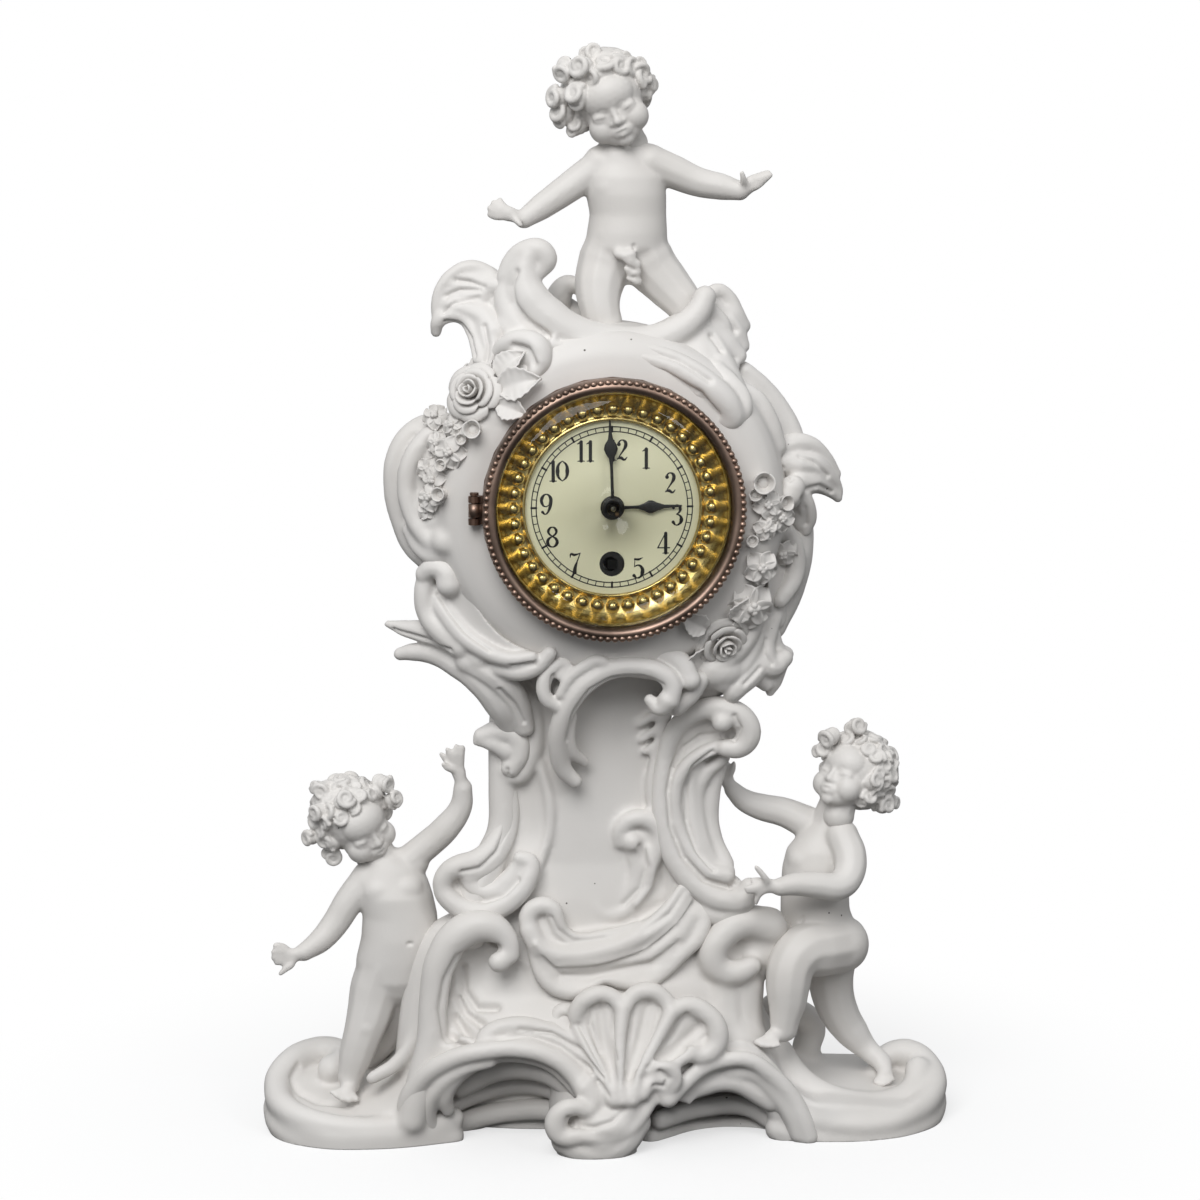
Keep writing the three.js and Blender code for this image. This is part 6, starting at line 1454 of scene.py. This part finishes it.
def head(name, centre, turn, size, locks, seed):
    """A child's head of plain proportions, lids lowered, that faces -Y before it turns, and its curls."""
    spin = Euler([math.radians(a) for a in turn]).to_matrix()
    clay = bmesh.new()

    def at(x, y, z):
        return Vector(centre) + spin @ Vector((x, y, z)) * size

    def egg(place, *radius):
        pellet(clay, at(*place), [r * size for r in radius], turn)

    def rope(route):
        coil(clay, [(*at(x, y, z), r * size) for x, y, z, r in route])

    egg((0, 1.5, 2.0), 9.9, 10.8, 10.0)
    egg((0, -3.4, -3.2), 8.2, 6.6, 7.8)
    egg((0, -4.6, 3.2), 7.6, 5.8, 6.2)
    egg((0, -5.6, -7.0), 5.8, 4.2, 4.0)
    egg((0, -8.0, -9.0), 2.5, 2.0, 2.1)
    egg((0, -9.1, -6.2), 3.2, 1.5, 2.4)
    rope([(0, -8.9, 1.4, 1.0), (0, -9.6, -1.2, 1.1), (0, -10.4, -3.1, 1.35)])
    for side in (-1, 1):
        egg((4.5 * side, -5.6, -4.6), 4.1, 4.2, 4.3)
        egg((3.7 * side, -7.5, -0.9), 2.7, 2.2, 2.1)
        egg((9.4 * side, 1.4, -1.8), 1.3, 2.2, 3.0)
        egg((1.2 * side, -10.0, -3.6), 1.0, 0.9, 0.8)
    rope([
        (-2.2, -9.7, -6.0, 0.45), (-0.9, -10.3, -5.7, 0.7), (0.9, -10.3, -5.7, 0.7), (2.2, -9.7, -6.0, 0.45)])
    rope([(-1.6, -9.9, -6.8, 0.45), (0, -10.2, -7.1, 0.8), (1.6, -9.9, -6.8, 0.45)])
    rope([(0, -1, -6, 5), (0, 0, -13, 5)])
    piece = fuse(name, clay, grain=0.34, soften=10)
    skin = skin_of(piece)

    def line(*points):
        return [(skin.find_nearest(at(x, y, z) * MM)[0], strength) for x, y, z, strength in points]

    creases = [line((-2.0, -12, -6.5, 0.7), (0, -12, -6.45, 1), (2.0, -12, -6.5, 0.7))]
    for side in (-1, 1):
        creases += [
            line((1.8 * side, -11, -1.2, 0.6), (3.7 * side, -12, -2.1, 1), (5.8 * side, -9.5, -1.0, 0.7)),
            line((2.2 * side, -11, 0.5, 0.3), (3.8 * side, -12, 0.9, 0.5), (5.4 * side, -9.5, 0.5, 0.3)),
            line((1.9 * side, -11, -3.8, 0.8), (2.0 * side, -11, -4.5, 0.4))]
    etch(piece, creases, 0.4, 0.34)
    clay = bmesh.new()
    clay.from_mesh(piece.data)
    bpy.data.objects.remove(piece)
    noise = random.Random(seed)
    egg((0, 3.6, 4.6), 11.2, 10.6, 10.0)
    egg((0, 5.5, -1.0), 10.4, 8.4, 8.6)
    for number in range(curl_count):
        height = 1 - 2 * (number + 0.5) / curl_count
        ring = math.sqrt(1 - height * height)
        angle = number * golden_angle
        x, y = ring * math.cos(angle), ring * math.sin(angle)
        if height < -0.6 or y < -0.4 - max(0.0, height - 0.3):
            continue
        out = Vector((x, y, height))
        place = at(*(Vector((0, 2.6, 2.6)) + Vector((x * 10.9, y * 11.2, height * 10.8))))
        place.z = min(place.z, tallest_curl)
        jitter = Vector([noise.uniform(-0.5, 0.5) for _ in range(3)])
        curl(clay, place, spin @ (out + jitter), noise.uniform(1.9, 2.9) * size, noise.uniform(0, 360))
    for x, y, z, reach, lean in locks:
        for step in range(2):
            swing = x * 7 + step * 2.6
            root = (x + 1.1 * math.cos(swing), y + step, z + 1.1 * math.sin(swing))
            outward = (lean + 0.5 * math.cos(swing), -1, 0.5 * math.sin(swing))
            curl(clay, root, outward, reach * (0.92 - 0.2 * step), swing * 9)
    fire(fuse(name, clay, grain=0.32, soften=2))


# Top cherub: kneels astride the crest with both arms spread, the head bent to the left
clay = bmesh.new()
torso(clay, [
    (5.4, -1, 276.1, 5, 4), (5.4, -1, 279.3, 10, 7.4), (5.3, -2, 283.8, 12.6, 9.6),
    (5.5, -3, 288.3, 13.2, 10.8), (5.8, -3, 292.7, 12.8, 10.8), (6.1, -3, 298.4, 12.2, 9.8),
    (5.5, -3, 304.7, 12.8, 9.8), (4.8, -3, 310.4, 12.6, 8.8), (3.9, -3, 314.5, 9.5, 7),
    (2.6, -3, 318.6, 6.2, 6)])
pellet(clay, (0.7, -6, 306.8), (6.6, 5.6, 5.6))
pellet(clay, (9, -6, 307), (6.6, 5.6, 5.6))
pellet(clay, (-0.2, 5, 282.8), 8.4)
pellet(clay, (12.7, 5, 282.7), 8.4)
coil(clay, [(-2.8, -3, 314.8, 5.4), (4.9, -2, 316.7, 5.8), (12.4, -3, 315.4, 5.4)])
coil(clay, [(4.3, -2, 315.4, 5.8), (2.3, -3, 321.1, 5.4)])
coil(clay, [
    (-2.2, -3, 314.2, 5.6), (-8.5, -3, 309.8, 5.3), (-15.6, -4, 304.9, 4.8), (-21.7, -5, 300.8, 4.3),
    (-27.2, -7, 297.2, 3.2)])
hand(clay, (-27.2, -7, 297.2), (-32.1, -9, 298.9), (3, 1.8, 2.6), [
    ((-33.3, -9, 300.7), (-34.2, -8.5, 302), (-34.8, -8, 303.5)),
    ((-34.6, -9, 300.1), (-35.8, -8.5, 301.3), (-37, -8, 302.6)),
    ((-34.9, -9, 299.2), (-36.8, -8.5, 299.8), (-38.3, -8, 300.7)),
    ((-34.9, -9, 297.9), (-36.5, -8.5, 297.9), (-38.3, -8, 298.5)),
    ((-30.2, -10, 297.3), (-29.4, -11, 296.4), (-28.5, -11.5, 295.5))])
coil(clay, [
    (13.1, -3, 314.8, 5.8), (20.7, -3, 311.6, 5.6), (28.3, -4, 308.5, 4.9), (35.7, -6, 307, 4.4),
    (41.2, -8, 305.8, 3.2)])
hand(clay, (41.2, -8, 305.8), (43.6, -9, 307.4), (2.4, 1.9, 3), [
    ((44.2, -9.5, 309.3), (46.6, -10, 310.5), (49.8, -10.5, 311.8)),
    ((44.8, -10, 308.6), (47.2, -11, 309.9), (50.6, -11.5, 310.9)),
    ((45.4, -10, 308), (47.5, -11, 308.7), (49.6, -11.5, 309.9)),
    ((45.1, -10, 306.8), (46.5, -11, 307.4), (48.1, -11, 308.4)),
    ((42.1, -11, 308.7), (41.6, -12, 310.3), (41.2, -12.5, 311.6))])
coil(clay, [
    (1.5, -4.5, 291.6, 8), (-0.9, -3.5, 283.9, 9), (-3.4, -6, 275.9, 8), (-3.3, -8, 269.1, 6.6),
    (-2, -8, 264.6, 6)])
coil(clay, [(-2.2, -3, 264.2, 5.6), (-9.1, 6, 264.9, 4.8), (-14, 9, 268.5, 4)])
coil(clay, [
    (-16.3, 4, 265.7, 4), (-15.4, 3, 272.2, 4.4), (-12.6, 2, 275.7, 3.6), (-9.8, 1, 275.1, 2.6),
    (-8.6, 1, 273.2, 1.8)])
coil(clay, [
    (9.2, -4.5, 291.5, 8), (12.1, -3.5, 283.9, 9), (18.4, -5, 276.3, 7.6), (24.3, -7, 269.4, 6.2),
    (26.2, -7, 266.3, 5.6)])
coil(clay, [(26.3, -1, 264.5, 5.2), (31.1, 7, 264.5, 4.2)])
sprig = [
    (2.3, -13.5, 286.4), (4.1, -14.5, 285.8), (6, -14.5, 286.4), (5.7, -14.5, 284.2), (7.6, -14, 283.3),
    (5.4, -13.5, 282), (7.7, -13.5, 280.7), (6.1, -13, 279.1), (8.1, -12.5, 277.8)]
for leaflet in sprig:
    pellet(clay, leaflet, (2.0, 1.5, 1.7))
body = fuse("top_cherub_body", clay, grain=0.42, soften=38)
score(body, [
    [(6.4, 289.2), (6.7, 288.3)],
    [(2, 284.9, 0.6), (3.9, 283), (6.4, 281.8, 0.6)],
    [(3.9, 279.9, 0.6), (6.4, 279.3)],
], width=0.7, depth=0.8)
fire(body, "top_putto")
head("top_cherub_head", (0.6, -4, 333.6), (14, -24, -8), 1.15, [
    (-6.2, -6, 348.6, 2.9, -0.2), (-8.6, -12, 344.2, 3.6, -0.3), (-10.5, -12, 335, 3.6, -0.8),
    (-15.7, -6, 335.2, 3.4, -1), (-15, -5, 329.3, 3.4, -1), (-10.6, -5, 325.5, 2.8, -1),
    (-14.6, -8, 344.2, 3.2, -0.8), (3.2, -6, 347.6, 3.0, 0.2), (8.8, -7, 344.2, 3.2, 0.5),
    (12.2, -5, 339.2, 3.2, 0.9)], 3)

# Left cherub: stands on the left wing and looks down, one hand up against the scroll
clay = bmesh.new()
torso(clay, [
    (-70.4, -1, 41.9, 6, 5), (-70.4, -2, 45.5, 10, 7.6), (-70, -3, 50.5, 12.6, 9.2),
    (-69.3, -3, 57.2, 13.4, 10), (-68.3, -3, 64.6, 12.6, 10.4), (-68.2, -3, 71.9, 12.2, 9.8),
    (-69.8, -3, 78.6, 12.4, 9.4), (-71.3, -2, 83.8, 12.2, 8.2), (-71.3, -2, 87.8, 9.2, 6.6),
    (-72.5, -1, 91.6, 5.8, 5.6)])
pellet(clay, (-74.7, -6, 80.5), (6.2, 5.2, 5.4))
pellet(clay, (-66.3, -6, 81), (6, 5.2, 5.4))
pellet(clay, (-73.4, 6, 50.2), 8)
pellet(clay, (-64.2, 6, 51.3), 8)
coil(clay, [(-78.4, -2, 84.6, 5.2), (-71.9, -1, 87.6, 5.6), (-63.4, -1, 88.7, 5)])
coil(clay, [(-71.9, -1, 86.9, 5.4), (-75.1, -1, 93, 5.2)])
coil(clay, [
    (-79.1, -2, 83.3, 5.4), (-84.4, -3, 77, 5), (-89.7, -4, 69, 4.6), (-94.3, -6, 64.3, 4.1),
    (-99.5, -8, 61.2, 3.1)])
hand(clay, (-99.5, -8, 61.2), (-103.7, -9, 60.3), (3, 1.8, 2.6), [
    ((-105.6, -9, 63), (-107.5, -9.5, 64.1), (-108.8, -10, 64.3)),
    ((-106, -9.5, 61.8), (-107.9, -10, 62.3), (-109.5, -10, 62)),
    ((-106, -9.5, 60.1), (-107.9, -10, 60.3), (-109.5, -10, 60)),
    ((-105.7, -9.5, 58.8), (-107.3, -10, 58.6), (-108.6, -10, 58.3)),
    ((-103.4, -10, 57.9), (-105.4, -10.5, 56.4), (-107.3, -10.5, 54.8))])
coil(clay, [
    (-66, -1, 88.8, 5), (-59.5, -1, 94, 4.9), (-53, -2, 100.1, 4.7), (-48.1, -3, 107.5, 3.9),
    (-47.5, -4, 113.7, 3.2)])
hand(clay, (-47.5, -4, 113.7), (-48.8, -5, 118.9), (2.5, 1.9, 3), [
    ((-50.7, -5, 121.5), (-52.9, -5, 123.2), (-54.5, -5, 125.2)),
    ((-50.1, -5.5, 122.6), (-51.4, -6, 125), (-52.6, -6, 127)),
    ((-49.1, -5.5, 122.9), (-49.4, -6, 125.3), (-49.7, -6, 128)),
    ((-48.1, -5.5, 122.6), (-47.8, -6, 125.3), (-47.5, -6, 127.6)),
    ((-50.7, -6, 120.1), (-52.7, -7, 121), (-54, -7.5, 122.4))])
coil(clay, [
    (-69.9, -4.5, 65, 8), (-72.9, -3.5, 56.1, 9), (-76.3, -3, 47.3, 8.6), (-78.6, -4, 38.9, 7.5),
    (-81, -5, 31.8, 6.4), (-83.1, -5, 25.1, 5.8), (-85.1, -5, 18.4, 4.2)])
pellet(clay, (-79.7, -7, 35.7), 4.6)
foot(clay, (-84.8, -5, 15.6), (-86.2, -9, 14.5), [
    (-83.3, -11, 12.4), (-85.6, -12, 12.4), (-87.9, -12, 12.8), (-89.8, -12, 13.9), (-91.4, -11, 15)])
coil(clay, [
    (-67, -4, 64.1, 8), (-65.4, -2, 54.8, 8.8), (-67.7, 2, 43, 7.8), (-69.6, 4, 34.3, 5.8),
    (-73.6, 8, 26.5, 5), (-77.5, 11, 19.5, 3.6)])
coil(clay, [(-67.9, -9, 50.4, 1.4), (-65.3, -9.5, 52.2, 1.8), (-62, -8, 53.7, 1.6), (-59.3, -6, 55.8, 1.2)])
coil(clay, [(-67.9, -9, 51.4, 1.4), (-67.3, -8, 48.4, 1.4)])
body = fuse("left_cherub_body", clay, grain=0.42, soften=38)
score(body, [
    [(-65.9, 66.3), (-65.2, 66.3)],
], width=0.7, depth=0.8)
fire(body, "left_putto")
head("left_cherub_head", (-81.8, -1, 101.7), (12, -28, 26), 1.04, [
    (-86, -11, 111.3, 3, -0.1), (-93.8, -8, 107.5, 2.8, -0.6), (-92.6, -5, 98.2, 2.8, -0.9),
    (-96.4, -3, 98.5, 2.6, -1), (-90.7, -2, 91.5, 2.6, -0.6), (-94.3, -4, 113.9, 2.8, -0.7),
    (-73.6, -3, 115.3, 2.8, 0.5), (-69.8, -3, 109.2, 2.6, 0.8)], 5)

# Right cherub: climbs the right wing in profile, one knee raised, both hands to the scroll
clay = bmesh.new()
torso(clay, [
    (71.1, -5, 51.8, 5, 4), (71.1, -5, 55.1, 9.6, 7), (70.4, -5, 59.2, 12.2, 9.4),
    (69.3, -5, 64.7, 12.4, 10.4), (67.9, -5, 71.5, 11.4, 10), (67.8, -5, 78.9, 11.2, 9.8),
    (68.4, -5, 85.6, 11.4, 9.8), (69.4, -5, 91.6, 11, 8.8), (70.7, -5, 96.3, 8.4, 6.8),
    (72.3, -5, 100.9, 5.6, 5.6)])
pellet(clay, (63.5, -7, 88.2), (5.6, 6, 5.6))
pellet(clay, (64.8, -6, 68.4), (7.4, 7.6, 8))
pellet(clay, (78.5, -2, 60.3), 7.2)
pellet(clay, (77.1, 4, 56.7), 7.6)
coil(clay, [(71.3, -5, 95.6, 6), (72.6, -5, 102.3, 5.4), (74.3, -6, 107.8, 5.2)])
coil(clay, [
    (75.6, -11, 96.9, 5.6), (77.7, -15, 91.1, 5.6), (76.5, -19, 85.4, 5.2), (72.8, -22, 82.9, 4.8),
    (65.3, -24, 83.9, 4.5), (58.6, -25, 84.6, 4), (53.3, -26, 84, 3.1)])
hand(clay, (53.3, -26, 84), (49.6, -26.5, 84.5), (3.2, 1.8, 2.6), [
    ((47.3, -27, 85), (44.7, -27.5, 84.5), (42.1, -27.5, 84.2)),
    ((47.3, -27, 84), (45, -27.5, 83.5), (42.7, -27.5, 82.9)),
    ((47.6, -27, 83), (46, -27, 81.4), (45.5, -26.5, 79)),
    ((47.4, -26.5, 85.9), (46.1, -26, 86.4), (44.2, -26, 86.5)),
    ((48.5, -28, 86.9), (47.1, -28.5, 89), (45.1, -28.5, 91.3))])
coil(clay, [
    (65.3, -1, 99.5, 5.6), (58.4, 2, 102.3, 5), (51.3, 4, 103.7, 4.6), (45.5, 5, 106, 3.9),
    (41.8, 5, 109.4, 3)])
hand(clay, (41.8, 5, 109.4), (39.8, 5, 112.8), (2.4, 2, 3), [
    ((38.8, 5, 114.8), (38.1, 5, 116.5), (38.1, 5, 118.2)),
    ((39.8, 5, 115.1), (39.8, 5, 116.8), (39.8, 5, 118.8)),
    ((38.1, 4.5, 113.9), (36.8, 4.5, 115.3), (36.1, 4.5, 117)),
    ((40.7, 4, 115), (41.6, 3.5, 116.8), (41.8, 3, 118.9))])
coil(clay, [
    (75.9, -8, 59.9, 9.6), (67.8, -13, 60, 9.6), (61.3, -17, 59.6, 8.6), (58.1, -19, 55.8, 8),
    (57, -20, 50.1, 7.6), (56.7, -20.5, 44.2, 6.6), (56, -21, 39, 5.2), (55.7, -21, 35.6, 4.6)])
foot(clay, (56.4, -21, 34.6), (51.4, -24, 33.6), [
    (46.2, -26, 32.6), (47.7, -27, 31.9), (49.6, -27.5, 31.6), (51.5, -28, 31.7), (53.1, -28, 32)])
coil(clay, [
    (74.3, -1, 56.1, 9), (74.4, 1, 44.6, 7.6), (77.2, 3, 34.4, 6.8), (82.2, 4, 26.4, 5.8),
    (87.5, 3, 20.4, 3.9), (91, 0, 17.7, 3.4)])
foot(clay, (91.7, 0, 17), (92.1, -4, 14.7), [
    (88.8, -6, 12), (89.9, -7, 11.6), (91.2, -7.5, 11.7), (92.9, -7, 12.2), (94.5, -6, 12.9)])
body = fuse("right_cherub_body", clay, grain=0.42, soften=38)
score(body, [
    [(60.8, 70.7, 0.8), (61.7, 72, 0.8)],
], width=0.7, depth=0.8)
fire(body, "right_putto")
head("right_cherub_head", (79, -7, 115.9), (-22, 4, -48), 1.03, [
    (71.5, -10, 130, 3, -0.6), (69.2, -8, 124.3, 2.6, -0.9), (80, -8, 132.1, 2.8, 0),
    (89.7, -8, 121.9, 3, 0.8), (84.5, -16, 115.1, 2.9, 0.3), (82.7, -15, 109.6, 2.7, 0.2),
    (88.9, -10, 106.4, 3, 0.5), (92.9, -6, 106.8, 2.6, 0.8)], 9)

# Table and light: a pale floor, a white surround and two soft lamps, the stronger one at the upper
# left. They are the stage for the picture and no part of the clock.
paper = bpy.data.materials.new("paper")
paper.use_nodes = True
nodes, links = paper.node_tree.nodes, paper.node_tree.links
nodes["Principled BSDF"].inputs["Roughness"].default_value = 0.9
nodes["Principled BSDF"].inputs["Specular IOR Level"].default_value = 0
# The paper fades to plain white away from the clock, so that it has no far edge
place = nodes.new("ShaderNodeTexCoord")
reach = nodes.new("ShaderNodeVectorMath")
reach.operation = "LENGTH"
fade = nodes.new("ShaderNodeMapRange")
fade.interpolation_type = "SMOOTHSTEP"
fade.inputs["From Min"].default_value = 0.05
fade.inputs["From Max"].default_value = 0.24
fade.inputs["To Min"].default_value = 0.55
path = nodes.new("ShaderNodeLightPath")
tone = nodes.new("ShaderNodeMix")
tone.data_type = "RGBA"
tone.inputs[6].default_value = (0.07, 0.07, 0.07, 1)
tone.inputs[7].default_value = (0.95, 0.95, 0.95, 1)
both = nodes.new("ShaderNodeMath")
both.operation = "MULTIPLY"
bright = nodes.new("ShaderNodeEmission")
bright.inputs["Strength"].default_value = 1.0
choose = nodes.new("ShaderNodeMixShader")
links.new(path.outputs["Is Camera Ray"], tone.inputs[0])
links.new(tone.outputs[2], nodes["Principled BSDF"].inputs["Base Color"])
links.new(place.outputs["Object"], reach.inputs[0])
links.new(reach.outputs["Value"], fade.inputs["Value"])
links.new(fade.outputs["Result"], both.inputs[0])
links.new(path.outputs["Is Camera Ray"], both.inputs[1])
links.new(both.outputs[0], choose.inputs[0])
links.new(nodes["Principled BSDF"].outputs[0], choose.inputs[1])
links.new(bright.outputs[0], choose.inputs[2])
links.new(choose.outputs[0], nodes["Material Output"].inputs["Surface"])
bpy.ops.mesh.primitive_circle_add(vertices=96, radius=1.6, fill_type="NGON")
floor = bpy.context.object
floor.name = "floor"
floor.data.materials.append(paper)
world = bpy.data.worlds.new("surround")
bpy.context.scene.world = world
world.use_nodes = True
nodes, links = world.node_tree.nodes, world.node_tree.links
soft = nodes["Background"]
soft.inputs["Color"].default_value = (0.96, 0.98, 1.0, 1)
soft.inputs["Strength"].default_value = 0.44
white = nodes.new("ShaderNodeBackground")
white.inputs["Color"].default_value = (1, 1, 1, 1)
path = nodes.new("ShaderNodeLightPath")
either = nodes.new("ShaderNodeMath")
either.operation = "MAXIMUM"
choose = nodes.new("ShaderNodeMixShader")
links.new(path.outputs["Is Camera Ray"], either.inputs[0])
links.new(path.outputs["Is Transmission Ray"], either.inputs[1])
links.new(either.outputs[0], choose.inputs[0])
links.new(soft.outputs[0], choose.inputs[1])
links.new(white.outputs[0], choose.inputs[2])
links.new(choose.outputs[0], nodes["World Output"].inputs["Surface"])


def lamp(name, place, size, power):
    """A square lamp that faces the middle of the clock."""
    light = bpy.data.lights.new(name, "AREA")
    light.size = size
    light.energy = power
    holder = bpy.data.objects.new(name, light)
    holder.location = place
    holder.rotation_mode = "QUATERNION"
    holder.rotation_quaternion = (Vector(place) - Vector((0, 0, 0.17))).to_track_quat("Z", "Y")
    bpy.context.scene.collection.objects.link(holder)


lamp("key", (-0.62, -1.55, 1.65), 1.4, 41)
lamp("side", (0.95, -1.45, 1.12), 0.4, 4)
bpy.context.scene.view_settings.view_transform = "Standard"
